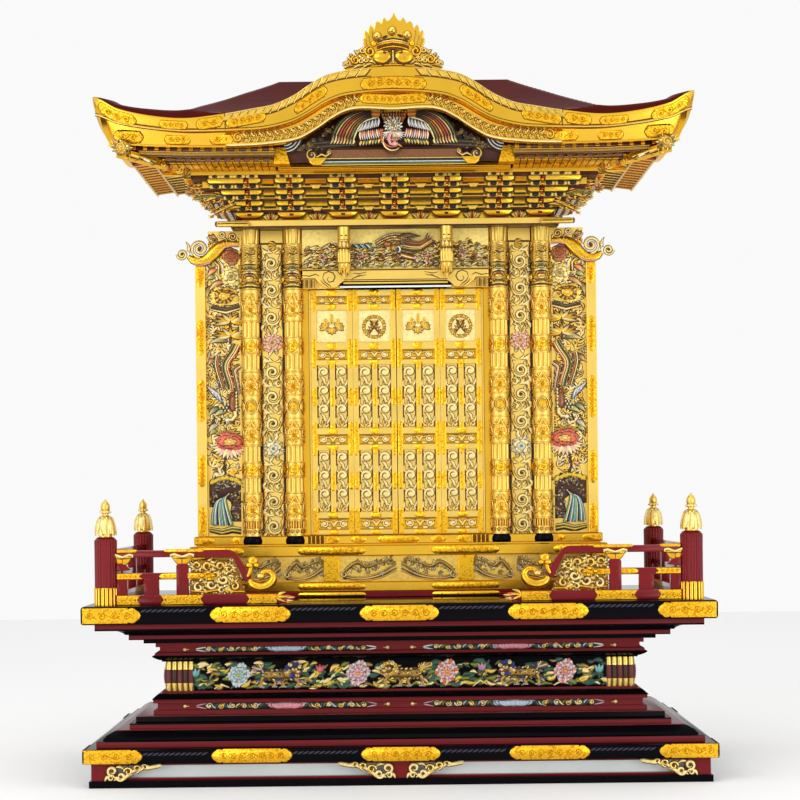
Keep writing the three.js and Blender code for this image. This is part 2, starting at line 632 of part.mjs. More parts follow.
// ---------------------------------------------------------------- brackets and eaves
// Bracket tiers: each is a ledge with blocks standing out of it at the bracket sets.
function brackets() {
  const [wallX, wallY, back] = [462, 82, 245];
  const frontSets = [-457, -314, -157, 0, 157, 314, 457];
  const sideSets = [20, 180];
  const tiers = steps(BRACKET_TIERS).map((tier) => {
    const ledge = TIER_STEP * tier;
    const [half, proud] = [tier % 2 ? 36 : 24, 24];
    const [x, y] = [wallX + ledge, wallY + ledge];
    const outline = [[-x, back], [-x, -y]];
    for (const at of frontSets) {
      outline.push([at - half, -y], [at - half, -y - proud], [at + half, -y - proud],
        [at + half, -y]);
    }
    outline.push([x, -y]);
    for (const at of sideSets) {
      outline.push([x, at - half], [x + proud, at - half], [x + proud, at + half], [x, at + half]);
    }
    outline.push([x, back]);
    return plan(outline, BRACKET_Z + tier * TIER_H, BRACKET_Z + (tier + 1) * TIER_H);
  });
  const inside = block(-430, 430, -50, 215, BRACKET_Z - 10, EAVES_Z + 10);
  const nosings = [-1, 1].flatMap((s) => [[470, 1700, 590, 1672], [490, 1725, 620, 1716]]
    .map(([a, b, c, d]) => leaf(s * a, b, s * c, d, 30, -wallY - 40, 22)));
  return join(cut(join(tiers), inside), nosings);
}

// Row of rafter ends: a flat bar with square teeth on its underside.
function rafterRow(x0, x1, pitch, y0, y1, z0, z1) {
  const count = Math.round((x1 - x0) / pitch);
  const outline = [[x0, z1], [x1, z1]];
  for (const i of steps(count)) {
    const x = x1 - (i * (x1 - x0)) / count;
    const next = x - (x1 - x0) / count;
    outline.push([x, z0], [x - (x - next) * 0.5, z0], [x - (x - next) * 0.5, z1 - 3],
      [next, z1 - 3]);
  }
  outline.pop();
  return upright(outline.reverse(), y0, y1);
}

function eaves() {
  const reach = { x: 628, y: -232 };
  const purlin = cut(block(-reach.x, reach.x, reach.y - 12, 245, EAVES_Z, 1795),
    block(-reach.x + 24, reach.x - 24, reach.y + 12, 300, EAVES_Z - 10, 1800));
  const purlinEnds = [-1, 1].map((s) =>
    block(s * (reach.x - 20), s * (reach.x + 60), reach.y - 12, reach.y + 12, EAVES_Z, 1795));
  const board = cut(block(-788, 788, -366, 232, 1828, 1838),
    block(-345, 345, -500, -290, 1800, 1900));
  const inner = block(-680, 680, -280, 232, 1794, 1829);
  const lower = [-1, 1].map((s) => rafterRow(Math.min(s * 350, s * 700), Math.max(s * 350, s * 700),
    110, -318, -278, 1800, 1822));
  const upper = [-1, 1].map((s) => rafterRow(Math.min(s * 350, s * 780), Math.max(s * 350, s * 780),
    108, -364, -316, 1812, 1830));
  const sides = [-1, 1].flatMap((s) => steps(4).map((i) =>
    block(s * 678, s * 782, -220 + i * 110, -180 + i * 110, 1812, 1830)));
  const corner = [-1, 1].map((s) => new THREE.BoxGeometry(34, 190, 30).rotateZ(s * Math.PI / 4)
    .translate(s * 715, -295, 1815));
  return join(purlin, purlinEnds, board, inner, lower, upper, sides, corner);
}

add("brackets", brackets(), goldLeaf);
add("eaves", eaves(), goldLeaf);

// ---------------------------------------------------------------- roof
const frontTop = through([[0, 2055], [50, 2053], [137, 2045], [196, 2031], [237, 2008],
  [284, 1977], [343, 1951], [400, 1940], [483, 1926], [594, 1914], [694, 1922], [791, 1944],
  [ROOF_HALF_W, 1977]]);
const frontSplit = through([[0, 1987], [137, 1976], [196, 1955], [237, 1930], [284, 1905],
  [343, 1888], [400, 1880], [594, 1876], [694, 1884], [791, 1901], [ROOF_HALF_W, 1925]]);
const gableBottom = through([[0, 1936], [96, 1940], [140, 1930], [179, 1907], [214, 1873],
  [255, 1847], [301, 1837], [382, 1835.5], [GABLE_HALF, 1836]]);
const cornerFlare = (s, t) => CORNER_RISE * Math.abs(s) ** 8 * Math.abs(t) ** 8;

const GABLE_STOPS = [0, 0.1, 0.19, 0.25, 0.31, 0.38, 0.47];

// Eaves fascia: one ring of two leaning bands; the front's upper band follows the gable.
function fascia() {
  const straight = (s) => ({ top: EAVE_Z + CORNER_RISE * Math.abs(s) ** 5,
    split: 1876 + 49 * Math.abs(s) ** 5, bottom: 1836 + 13 * Math.abs(s) ** 5 });
  const front = (s) => {
    const x = s * ROOF_HALF_W;
    const bottom = Math.abs(x) < GABLE_HALF ? frontSplit(x) - 6
      : 1836 + 13 * (Math.abs(s) ** 5);
    return { top: frontTop(x), split: frontSplit(x), bottom };
  };
  const section = (level, place) => {
    const gabled = level.bottom > level.split - 10;
    const insets = [[0, level.top], [20, level.split], [26, level.split - 2],
      [gabled ? 30 : 46, level.bottom], [gabled ? 40 : 60, level.bottom],
      [FASCIA_T, gabled ? level.bottom + 1 : ROOF_FLOOR_Z - 1], [FASCIA_T, level.top - 2]];
    return insets.map(([inset, z]) => place(inset, z));
  };
  const mitre = (s) => Math.sign(s) * Math.max(0, (Math.abs(s) - 0.6) / 0.4);
  const onFront = (s) => section(front(s), (inset, z) =>
    [s * ROOF_HALF_W - inset * mitre(s), ROOF_FRONT_Y + inset, z]);
  const onRight = (t) => section(straight(t), (inset, z) =>
    [ROOF_HALF_W - inset, ROOF_MID_Y + t * (ROOF_HALF_D - inset), z]);
  const onBack = (s) => section(straight(s), (inset, z) =>
    [-s * (ROOF_HALF_W - inset), ROOF_BACK_Y - inset, z]);
  const onLeft = (t) => section(straight(t), (inset, z) =>
    [-ROOF_HALF_W + inset, ROOF_MID_Y - t * (ROOF_HALF_D - inset), z]);
  const flank = [0.7, 0.83, 0.93];
  const end = GABLE_HALF / ROOF_HALF_W;
  const gable = [...GABLE_STOPS, end - 0.0006, end + 0.0006, ...flank];
  const frontStations = [-1, ...gable.slice(1).reverse().map((s) => -s), ...gable];
  const sideStations = [-1, -0.84, -0.6, 0, 0.6, 0.84];
  const backStations = [-1, -0.88, -0.7, 0, 0.7, 0.88];
  const rings = [...frontStations.map(onFront), ...sideStations.map(onRight),
    ...backStations.map(onBack), ...sideStations.map(onLeft)];
  return loopSkin(rings);
}

// Closed ring solid: the last section joins the first.
function loopSkin(rings) {
  const n = rings[0].length;
  const index = [];
  rings.forEach((_, r) => {
    const [a0, b0] = [r * n, ((r + 1) % rings.length) * n];
    for (let i = 0; i < n; i++) {
      const j = (i + 1) % n;
      index.push(a0 + i, b0 + j, b0 + i, a0 + i, a0 + j, b0 + j);
    }
  });
  const geometry = new THREE.BufferGeometry();
  geometry.setAttribute("position", new THREE.Float32BufferAttribute(rings.flat().flat(), 3));
  geometry.setIndex(index);
  return geometry;
}

function gableBoard() {
  const half = GABLE_HALF - 1;
  const count = 22;
  const xs = steps(count + 1).map((i) => -half + (2 * half * i) / count);
  const under = xs.map((x) => [x, gableBottom(x)]);
  const inner = GABLE_STOPS.map((stop) => stop * ROOF_HALF_W);
  const overXs = [-half, ...inner.slice(1).map((x) => -x).reverse(), ...inner, half];
  const over = overXs.map((x) => [x, frontSplit(x) - 7]).reverse();
  return upright([...under, ...over], -414, -388);
}

// Pediment under the gable: phoenix with spread wings over a low beam.
function pediment() {
  const beam = upright([[-340, 1800], [340, 1800], [340, 1826], [-340, 1826]], -318, -294);
  const count = 10;
  const xs = steps(count + 1).map((i) => -250 + (500 * i) / count);
  const outline = [[-330, 1824], [330, 1824], ...xs.map((x) => [x, gableBottom(x) + 12]).reverse()];
  const ground = upright(outline, -330, -318);
  const y = -330;
  const body = new THREE.SphereGeometry(1, 6, 4).scale(22, 16, 34).translate(0, y, 1880);
  const head = rosette(0, 1838, 16, y, 22, 7);
  const tail = upright([[-34, 1955 - 14], [34, 1955 - 14], [26, 1895], [-26, 1895]], y - 8, y + 4);
  const feathers = [-1, 1].flatMap((s) => steps(4).map((i) => {
    const angle = 0.42 - i * 0.34;
    const reach = 175 - i * 22;
    return leaf(s * 14, 1905, s * (14 + reach * Math.cos(angle)),
      1893 + reach * Math.sin(angle) * 0.6, 26, y, 9);
  }));
  const scrolls = [-1, 1].map((s) => rosette(s * 255, 1842, 20, y, 8));
  return join(beam, ground, body, head, tail, feathers, scrolls);
}

// Roof: hipped, rising from flared eaves, with the gable's swell running in from the front.
function roof() {
  const inset = FASCIA_T + GAP;
  const [halfX, halfY] = [ROOF_HALF_W - inset, ROOF_HALF_D - inset];
  const height = (s, t) => {
    const x = s * halfX;
    const y = ROOF_MID_Y + t * halfY;
    const runX = (halfX - Math.abs(x)) / (halfX - RIDGE_HALF);
    const runY = 1 - Math.abs(t);
    const run = Math.min(1, runX, runY);
    const main = EAVE_Z + cornerFlare(s, t) * 0.8 + (RIDGE_Z - EAVE_Z) * run;
    const swell = y < 0 ? frontTop(x) + 4 - (t + 1) * 6 : 0;
    return Math.abs(x) < 600 ? Math.max(main, swell) : main;
  };
  const sStops = [0, 0.09, 0.17, 0.23, 0.29, 0.35, 0.43, 0.55, 0.72, 0.88, 1];
  const ss = [...sStops.slice(1).reverse().map((s) => -s), ...sStops];
  const ts = [-1, -0.78, -0.55, -0.3, 0, 0.5, 0.85, 1];
  const [nx, ny] = [ss.length, ts.length];
  const position = [];
  ts.forEach((t) => ss.forEach((s) =>
    position.push(s * halfX, ROOF_MID_Y + t * halfY, height(s, t))));
  const under = nx * ny;
  const rim = [];
  for (let i = 0; i < nx; i++) rim.push([i, 0]);
  for (let j = 1; j < ny; j++) rim.push([nx - 1, j]);
  for (let i = nx - 2; i >= 0; i--) rim.push([i, ny - 1]);
  for (let j = ny - 2; j > 0; j--) rim.push([0, j]);
  rim.forEach(([i, j]) =>
    position.push(ss[i] * halfX, ROOF_MID_Y + ts[j] * halfY, ROOF_FLOOR_Z));
  position.push(0, ROOF_MID_Y, ROOF_FLOOR_Z);
  const centre = under + rim.length;
  const index = [];
  for (let j = 0; j + 1 < ny; j++) {
    for (let i = 0; i + 1 < nx; i++) {
      const a = j * nx + i;
      const [b, c, d] = [a + 1, a + nx + 1, a + nx];
      const flip = (ss[i] + ss[i + 1]) * (ts[j] + ts[j + 1]) > 0;
      if (flip) index.push(a, b, d, b, c, d);
      else index.push(a, b, c, a, c, d);
    }
  }
  rim.forEach(([i, j], k) => {
    const [i2, j2] = rim[(k + 1) % rim.length];
    const [a, b] = [j * nx + i, j2 * nx + i2];
    const [c, d] = [under + k, under + ((k + 1) % rim.length)];
    index.push(a, c, d, a, d, b, centre, d, c);
  });
  const geometry = new THREE.BufferGeometry();
  geometry.setAttribute("position", new THREE.Float32BufferAttribute(position, 3));
  geometry.setIndex(index);
  const hollow = skin([
    [[-770, -350, 1880], [770, -350, 1880], [770, 220, 1880], [-770, 220, 1880]],
    [[-770, -350, 1894], [770, -350, 1894], [770, 220, 1894], [-770, 220, 1894]],
    [[-330, -90, 2065], [330, -90, 2065], [330, -50, 2065], [-330, -50, 2065]],
  ]);
  const xs = steps(11).map((i) => -350 + 70 * i);
  const tunnel = upright([[-350, 1880], [350, 1880],
    ...xs.map((x) => [x, Math.max(frontSplit(x), 1895) + 6]).reverse()], -500, -260);
  return cut(geometry, hollow, tunnel);
}

// Crest ornament: flames over a cushion with three jewels, leafy scrolls at the foot.
function crest() {
  const flames = [[143, 2046], [140, 2062], [118, 2082], [96, 2092], [88, 2110], [95, 2138],
    [82, 2132], [84, 2168], [68, 2152], [62, 2188], [46, 2170], [34, 2200], [20, 2184],
    [0, CREST_TOP_Z]];
  const left = flames.slice(0, -1).map(([x, z]) => [-x, z]).reverse();
  const foot = steps(7).map((i) => -143 + (286 * i) / 6).map((x) => [x, frontTop(x) + 1]);
  const outline = [...foot, ...flames.slice(1), ...left.slice(0, -1)];
  const body = upright(outline, -432, -408);
  const jewels = [[-60, 2128], [-17, 2142], [25, 2131]].map(([x, z]) =>
    new THREE.OctahedronGeometry(13, 0).translate(x, -434, z));
  const cushion = upright([[-62, 2104], [58, 2104], [52, 2122], [-56, 2122]], -444, -430);
  const scrolls = [[-80, 2088, 20], [76, 2088, 20], [-112, 2066, 16], [108, 2066, 16]]
    .map(([x, z, r]) => rosette(x, z, r, -432, 8));
  return join(body, jewels, cushion, scrolls);
}

add("eave_fascia", fascia(), goldLeaf);
add("gable_board", gableBoard(), goldPlate);
add("pediment", pediment(), goldLeaf);
add("roof", roof(), roofLacquer);
add("crest_ornament", crest(), goldPlate);

export default model;
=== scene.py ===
"""Gilt palace shrine with folding doors on a stepped lacquer pedestal.

The carving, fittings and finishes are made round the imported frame. Helpers work in
millimetres; objects are metres, with +Z up and the front towards -Y."""

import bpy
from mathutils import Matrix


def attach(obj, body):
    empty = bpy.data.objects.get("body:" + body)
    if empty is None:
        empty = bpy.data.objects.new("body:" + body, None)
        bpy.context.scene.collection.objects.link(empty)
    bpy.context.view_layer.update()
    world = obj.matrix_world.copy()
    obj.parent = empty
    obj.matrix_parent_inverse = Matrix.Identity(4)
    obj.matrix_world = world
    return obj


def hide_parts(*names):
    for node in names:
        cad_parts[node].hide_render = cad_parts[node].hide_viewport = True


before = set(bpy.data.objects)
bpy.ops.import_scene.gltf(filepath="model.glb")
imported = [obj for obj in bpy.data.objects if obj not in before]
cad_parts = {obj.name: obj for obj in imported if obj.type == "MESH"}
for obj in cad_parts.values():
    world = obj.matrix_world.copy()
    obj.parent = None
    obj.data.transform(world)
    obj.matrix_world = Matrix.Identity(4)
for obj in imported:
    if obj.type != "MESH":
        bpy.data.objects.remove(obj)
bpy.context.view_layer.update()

import random
from math import atan2, copysign, cos, hypot, pi as PI, radians, sin, sqrt

import bpy
import numpy as np
from bpy.props import FloatProperty, FloatVectorProperty, IntProperty, PointerProperty
from mathutils import Matrix, Vector

bl_info = {
    "name": "Palace shrine",
    "version": (1, 0, 0),
    "blender": (4, 5, 0),
    "location": "3D View > Sidebar > Shrine",
    "description": "Builds the carved and lacquered pieces of a gilt palace shrine",
    "category": "Object",
}

MM = 0.001
HALF_W, HALF_D = 909, 454.5  # pedestal boards, half their width and depth
DECK_Z = 521
HANDS = (("left", -1), ("right", 1))
SCATTER = 0.618  # share of a span between one mark and the next; spreads them evenly
rng = random.Random(7)


# ---------------------------------------------------------------- colours and finishes
def linear(code):
    """sRGB hex to linear RGB."""
    parts = [int(code[i:i + 2], 16) / 255 for i in (1, 3, 5)]
    return [v / 12.92 if v <= 0.04045 else ((v + 0.055) / 1.055) ** 2.4 for v in parts]


# Tints of the carving: colour, then how far it is bare gold leaf (1) or mineral paint (0).
TINTS = {name: linear(code) + [metal] for name, (code, metal) in {
    "gold": ("#f7ba2a", 1.0), "pale": ("#fad676", 1.0), "deep": ("#ea8f08", 1.0),
    # the recess tint is painted shade, the dark of the carving's hollows
    "recess_shade": ("#6a3204", 0.7), "umber": ("#6a4312", 0.5), "leafgold": ("#eac04a", 0.6),
    "ink": ("#101a16", 0.0), "green": ("#1f5f44", 0.0), "moss": ("#7b8a2c", 0.2),
    "teal": ("#62b8a8", 0.0), "sky": ("#9cc6d0", 0.0), "blue": ("#20388c", 0.0),
    "water": ("#4d8fae", 0.0), "white": ("#f4efe2", 0.0), "pink": ("#ea7f88", 0.0),
    "mauve": ("#c48fb2", 0.0), "red": ("#c8331f", 0.0), "orange": ("#e8692a", 0.1),
    "rust": ("#a83a12", 0.2), "lotus": ("#dfa0a8", 0.0), "ice": ("#bfd0dc", 0.0),
    # the cut tint is painted shade, the dark ring round the foot of raised forms
    "cocoa": ("#42200f", 0.2), "cut": ("#241003", 0.0), "rustred": ("#6d1a20", 0.0),
    # the navy tint is painted sheen, the highlights on black lacquer
    "leaf": ("#f4bc33", 1.0), "smoke": ("#3a3036", 0.3), "sheen_navy": ("#202238", 0.0),
    # the butter tint is painted light, a pale ground for the shaded frieze
    "lit_butter": ("#ffe27a", 0.0), "rustgold": ("#c8860f", 1.0), "sienna": ("#b4703c", 0.7),
    "cream": ("#ffe79a", 0.35), "wheat": ("#f5cb5e", 0.8), "coral": ("#e0502e", 0.1),
    "bronze": ("#9a6410", 0.9), "plum": ("#8a5844", 0.5), "khaki": ("#b08a40", 0.7),
    "brown": ("#8f6040", 0.8), "olive": ("#6c6444", 0.4), "yellow": ("#ecc52e", 0.2),
    "grey": ("#a9a393", 0.1), "rose": ("#dc7f74", 0.1),
}.items()}


def add_node(tree, kind, settings=None, feeds=None, **links):
    """Adds a node, sets its properties, inputs or colour stops, and links it both ways."""
    made = tree.nodes.new(kind)
    for key, value in (settings or {}).items():
        if key == "stops":
            band = made.color_ramp.elements
            while len(band) < len(value):
                band.new(0.5)
            for element, (place, colour) in zip(band, value):
                element.position, element.color = place, (*colour[:3], 1)
        elif key == "fill":
            made.color_ramp.interpolation = value
        elif isinstance(key, int) or key in made.inputs:
            made.inputs[key].default_value = value
        else:
            setattr(made, key, value)
    for key, socket in links.items():
        slot = int(key[1:]) if key[0] == "i" and key[1:].isdigit() else key.replace("_", " ")
        tree.links.new(socket, made.inputs[slot])
    if feeds:
        tree.links.new(made.outputs[0], feeds)
    return made


def new_material(name, **shader):
    """Material with one Principled shader; the words are its socket values."""
    made = bpy.data.materials.new(name)
    made.use_nodes = True
    sockets = made.node_tree.nodes["Principled BSDF"].inputs
    for key, value in shader.items():
        sockets[key.replace("_", " ")].default_value = value
    return made, made.node_tree, sockets


def mm(metres):
    """Millimetres of a length property."""
    return round(metres / MM, 4)


def darker(colour, by):
    return [min(1, v * by) for v in colour]


def make_materials(cfg):
    """All finishes, by name."""
    made = {}
    leaf, matt, fitting = list(cfg.gold), list(cfg.matt), list(cfg.fitting)
    metal = {"Metallic": 1.0, "Specular_Tint": (1, 0.78, 0.42, 1)}
    clouded = {
        # Gold leaf on lacquer, burnished: mirror-like, with faint warm clouding as wide as a
        # leaf, 109 mm.
        "leaf": ("burnished_gold_leaf", metal, (9, 3), (0.3, darker(leaf, 0.86)), (0.7, leaf),
                 (0.16, 0.3), (26, 0.12, 0.002)),
        # Gold leaf laid matt: the softer, paler gold of the frames, boards and columns, clouded
        # in patches of 80 mm.
        "matt": ("matt_gold_leaf", {"Metallic": 1.0, "Specular_Tint": (1, 0.86, 0.6, 1)}, (12, 3),
                 (0.3, darker(matt, 0.9)), (0.7, matt), (0.34, 0.46), None),
        # Painted shade: a dark brown put behind the brackets, rafters and phoenix, where shade
        # falls;
        # rubbed semi-matt, its figure 70 mm wide.
        "shade_brown": ("painted_shade_brown", {"IOR": 1.5, "Roughness": 0.42, "Specular_IOR_Level": 0.2},
                    (14, 4), (0.3, linear("#2b1712")), (0.75, linear("#5a3220")), None, None),
        # Pale blue-green lacquer of the base panels, brushed to a satin coat with 140 mm clouds.
        "pale": ("pale_lacquer_panel", {"IOR": 1.5, "Roughness": 0.28}, (7, 3),
                 (0.25, linear("#dde9e6")), (0.8, linear("#f1f8f4")), None, None),
    }
    # Roiro lacquer, polished: near mirror, with the slight waviness of a hand-rubbed coat,
    # one wave in 60 mm.
    for key, name, base, level, tint in (
            ("black", "polished_black_lacquer", cfg.black, 0.05, (1, 1, 1, 1)),
            ("red", "polished_red_lacquer", cfg.red, 0.25, (1, 0.8, 0.8, 1)),
            ("roof", "dark_red_roof_lacquer", cfg.roof, 0.02, (1, 0.4, 0.36, 1))):
        clouded[key] = (name, {"IOR": 1.45, "Specular_IOR_Level": level, "Specular_Tint": tint},
                        (5, 4), (0.3, darker(base, 0.85)), (0.75, darker(base, 1.12)),
                        (0.07, 0.17), (16, 0.05, 0.004))
    for key, (name, shader, (scale, detail), low, high, gloss, ripple) in clouded.items():
        made[key], tree, sockets = new_material(name, **shader)
        place = add_node(tree, "ShaderNodeTexCoord").outputs["Object"]
        cloud = add_node(tree, "ShaderNodeTexNoise", {"Scale": scale, "Detail": detail},
                         Vector=place).outputs["Fac"]
        add_node(tree, "ShaderNodeValToRGB", {"stops": (low, high)}, sockets["Base Color"],
                 Fac=cloud)
        if gloss:
            add_node(tree, "ShaderNodeMapRange", {"To Min": gloss[0], "To Max": gloss[1]},
                     sockets["Roughness"], Value=cloud)
        if ripple:
            wave = add_node(tree, "ShaderNodeTexNoise", {"Scale": ripple[0]}, Vector=place)
            add_node(tree, "ShaderNodeBump", {"Strength": ripple[1], "Distance": ripple[2]},
                     sockets["Normal"], Height=wave.outputs["Fac"])

    # Gilt copper fittings, chased: a punched ground of 1 mm dots, drawn 6 mm wide to show.
    made["chased"], tree, sockets = new_material("chased_gilt_copper", Roughness=0.34, **metal)
    place = add_node(tree, "ShaderNodeTexCoord").outputs["Object"]
    dots = add_node(tree, "ShaderNodeTexVoronoi", {"Scale": 170.0}, Vector=place).outputs[0]
    add_node(tree, "ShaderNodeValToRGB", {"stops": (
        (0.3, fitting), (0.6, darker(fitting, 0.9)), (0.8, linear("#cf8a12")))},
        sockets["Base Color"], Fac=dots)
    add_node(tree, "ShaderNodeBump", {"Strength": 0.45, "Distance": 0.0015}, sockets["Normal"],
             Height=dots)

    # Pedestal courses: the same lacquer, red on upright steps and black in the hollows.
    made["banded"], tree, sockets = new_material("banded_lacquer", IOR=1.45, Roughness=0.2,
                                                 Specular_IOR_Level=0.04)
    place = add_node(tree, "ShaderNodeTexCoord").outputs["Object"]
    height = add_node(tree, "ShaderNodeSeparateXYZ", Vector=place).outputs["Z"]
    scaled = add_node(tree, "ShaderNodeMath", {"operation": "MULTIPLY", 1: 2.0}, i0=height)
    red, black = linear("#702629"), linear("#08070a")
    changes = (0, 127, 155, 167, 189, 234, 250, 343, 361.6, 401, 417, 427, 452)  # heights in mm
    add_node(tree, "ShaderNodeValToRGB", {"fill": "CONSTANT", "stops": [
        (z * 2 * MM, (red, black)[i % 2]) for i, z in enumerate(changes)]},
        sockets["Base Color"], Fac=scaled.outputs[0])

    # Carved wood, gilded and then painted where its tint says so; worn in spots of 8 mm.
    # The tint also carries painted shade, darker in the recesses.
    made["carving"], tree, sockets = new_material("gilded_painted_carving")
    tint = add_node(tree, "ShaderNodeAttribute", {"attribute_name": "tint"})
    place = add_node(tree, "ShaderNodeTexCoord").outputs["Object"]
    grain = add_node(tree, "ShaderNodeTexNoise", {"Scale": 120.0, "Detail": 2.0}, Vector=place)
    worn = add_node(tree, "ShaderNodeValToRGB", {"stops": ((0.3, [0.78] * 3), (0.65, [1.0] * 3))},
                    Fac=grain.outputs["Fac"])
    mixed = add_node(tree, "ShaderNodeMix", {"data_type": "RGBA", "blend_type": "MULTIPLY", 0: 1.0},
                     i6=tint.outputs["Color"], i7=worn.outputs["Color"])
    tree.links.new(mixed.outputs[2], sockets["Base Color"])
    tree.links.new(tint.outputs["Alpha"], sockets["Metallic"])
    add_node(tree, "ShaderNodeMapRange", {"To Min": 0.5, "To Max": 0.24}, sockets["Roughness"],
             Value=tint.outputs["Alpha"])
    add_node(tree, "ShaderNodeBump", {"Strength": 0.25, "Distance": 0.0012}, sockets["Normal"],
             Height=grain.outputs["Fac"])
    return made


MAT = {}


def settle(ob, name, finish, body="shrine", replaces=(), smooth=None, slot=None):
    """Names a finished piece, bakes its place into its mesh and ties it to the frame."""
    ob.name = ob.data.name = name
    ob.data.transform(ob.matrix_world)
    ob.matrix_world = Matrix.Identity(4)
    ob.data.materials.clear()
    ob.data.materials.append(MAT[finish])
    if smooth is not None:
        ob.data.set_sharp_from_angle(angle=radians(smooth))
    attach(ob, body)
    if replaces:
        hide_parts(*replaces)
    return ob


# ---------------------------------------------------------------- bench work with operators
def deselect():
    if bpy.context.object and bpy.context.object.mode != "OBJECT":
        bpy.ops.object.mode_set(mode="OBJECT")
    bpy.ops.object.select_all(action="DESELECT")


def shell(name, points, faces):
    """New object from its points and faces."""
    mesh = bpy.data.meshes.new(name)
    mesh.from_pydata(points, [], faces)
    ob = bpy.data.objects.new(name, mesh)
    bpy.context.scene.collection.objects.link(ob)
    return ob


def open_blank(ob):
    """Goes into edit mode with the whole blank selected."""
    deselect()
    ob.select_set(True)
    bpy.context.view_layer.objects.active = ob
    bpy.ops.object.mode_set(mode="EDIT")
    bpy.ops.mesh.select_all(action="SELECT")


def close_blank():
    """Turns every face outwards and leaves edit mode."""
    bpy.ops.mesh.select_all(action="SELECT")
    bpy.ops.mesh.normals_make_consistent(inside=False)
    bpy.ops.object.mode_set(mode="OBJECT")


def join(pieces):
    """Joins finished blanks into the first of them."""
    deselect()
    for ob in pieces:
        ob.select_set(True)
    bpy.context.view_layer.objects.active = pieces[0]
    if len(pieces) > 1:
        bpy.ops.object.join()
    return pieces[0]


def bevel(ob, width, angle=30):
    """Rounds the edges of a blank that turn more than the angle."""
    made = ob.modifiers.new("round", "BEVEL")
    made.width, made.segments, made.limit_method = width * MM, 2, "ANGLE"
    made.angle_limit = radians(angle)
    deselect()
    bpy.context.view_layer.objects.active = ob
    bpy.ops.object.modifier_apply(modifier=made.name)
    return ob


def stack(levels, sides=4, at=(0, 0)):
    """Blank raised by extruding and scaling a plane or disc: levels are (z, half x, half y)."""
    deselect()
    z, hx, hy = levels[0]
    spot = (at[0] * MM, at[1] * MM, z * MM)
    if sides == 4:
        bpy.ops.mesh.primitive_plane_add(size=2, location=spot)
    else:
        bpy.ops.mesh.primitive_circle_add(vertices=sides, radius=1, fill_type="NGON",
                                          location=spot)
    ob = bpy.context.object
    ob.scale = (hx * MM, hy * MM, 1)
    bpy.ops.object.transform_apply(location=True, rotation=True, scale=True)
    open_blank(ob)
    for (z0, x0, y0), (z1, x1, y1) in zip(levels, levels[1:]):
        bpy.ops.mesh.extrude_region_move(
            TRANSFORM_OT_translate={"value": (0, 0, (z1 - z0) * MM)})
        if (x0, y0) != (x1, y1):
            bpy.ops.transform.resize(value=(x1 / x0, y1 / y0, 1),
                                     center_override=(spot[0], spot[1], z1 * MM))
    close_blank()
    return ob


def block(x0, x1, y0, y1, z0, z1, round_by=0.0):
    """Squared timber between two corners, with eased edges."""
    deselect()
    bpy.ops.mesh.primitive_cube_add(size=1, location=(
        (x0 + x1) / 2 * MM, (y0 + y1) / 2 * MM, (z0 + z1) / 2 * MM))
    ob = bpy.context.object
    ob.scale = (abs(x1 - x0) * MM, abs(y1 - y0) * MM, abs(z1 - z0) * MM)
    bpy.ops.object.transform_apply(location=True, rotation=True, scale=True)
    return bevel(ob, round_by) if round_by else ob


def slab(outline, y0, y1, round_by=0.0):
    """Board sawn to an outline of (x, z) points, then extruded from y0 back to y1."""
    ob = shell("blank", [(x * MM, y0 * MM, z * MM) for x, z in outline],
               [list(range(len(outline)))])
    open_blank(ob)
    bpy.ops.mesh.extrude_region_move(TRANSFORM_OT_translate={"value": (0, (y1 - y0) * MM, 0)})
    close_blank()
    return bevel(ob, round_by) if round_by else ob


def course(levels, round_by=1.2):
    """Mitred moulding round the pedestal: levels are (z, inset from the boards' edge)."""
    return bevel(stack([(z, HALF_W - i, HALF_D - i) for z, i in levels]), round_by, 20)


def copies(ob, moves):
    """Copies of a blank, each moved by (x, y, z) mm, joined with it."""
    made = []
    for move in moves:
        twin = ob.copy()
        twin.data = ob.data.copy()
        twin.data.transform(Matrix.Translation(Vector(move) * MM))
        bpy.context.scene.collection.objects.link(twin)
        made.append(twin)
    bpy.data.objects.remove(ob)
    return join(made)


# ---------------------------------------------------------------- carving
def upright(y, side=1):
    """Places relief on a face that looks to the front; side -1 mirrors it to the left."""
    return lambda a, b, h: (side * a, y - h, b)


def wrapped(x, y, radius):
    """Places relief round an upright shaft."""
    return lambda a, b, h: (x + (radius + h) * np.sin(a / radius),
                            y - (radius + h) * np.cos(a / radius), b)


def below(face, tallest):
    """Relief on a face, pressed down where it would stand taller than there is room for."""
    return lambda a, b, h: face(a, b, np.minimum(h, tallest + (h - tallest) * 0.1))


def beyond(face, edge, side):
    """Relief on a face, pressed back behind an upright plane that a leaf folds against."""
    def place(a, b, h):
        x, y, z = face(a, b, h)
        return side * np.maximum(side * x, edge + (side * x - edge) * 0.08), y, z
    return place


def flank(x, side):
    """Places relief on a face that looks to one side: a runs along Y."""
    return lambda a, b, h: (side * (x + h), side * a, b)


def ray(a, b, way, reach, up=None):
    """Point at a reach from (a, b) in the way's direction; up is its reach along b."""
    return a + reach * cos(way), b + (reach if up is None else up) * sin(way)


def rect(a0, a1, b0, b1):
    """Outline of an upright rectangle."""
    return [(a0, b0), (a1, b0), (a1, b1), (a0, b1)]


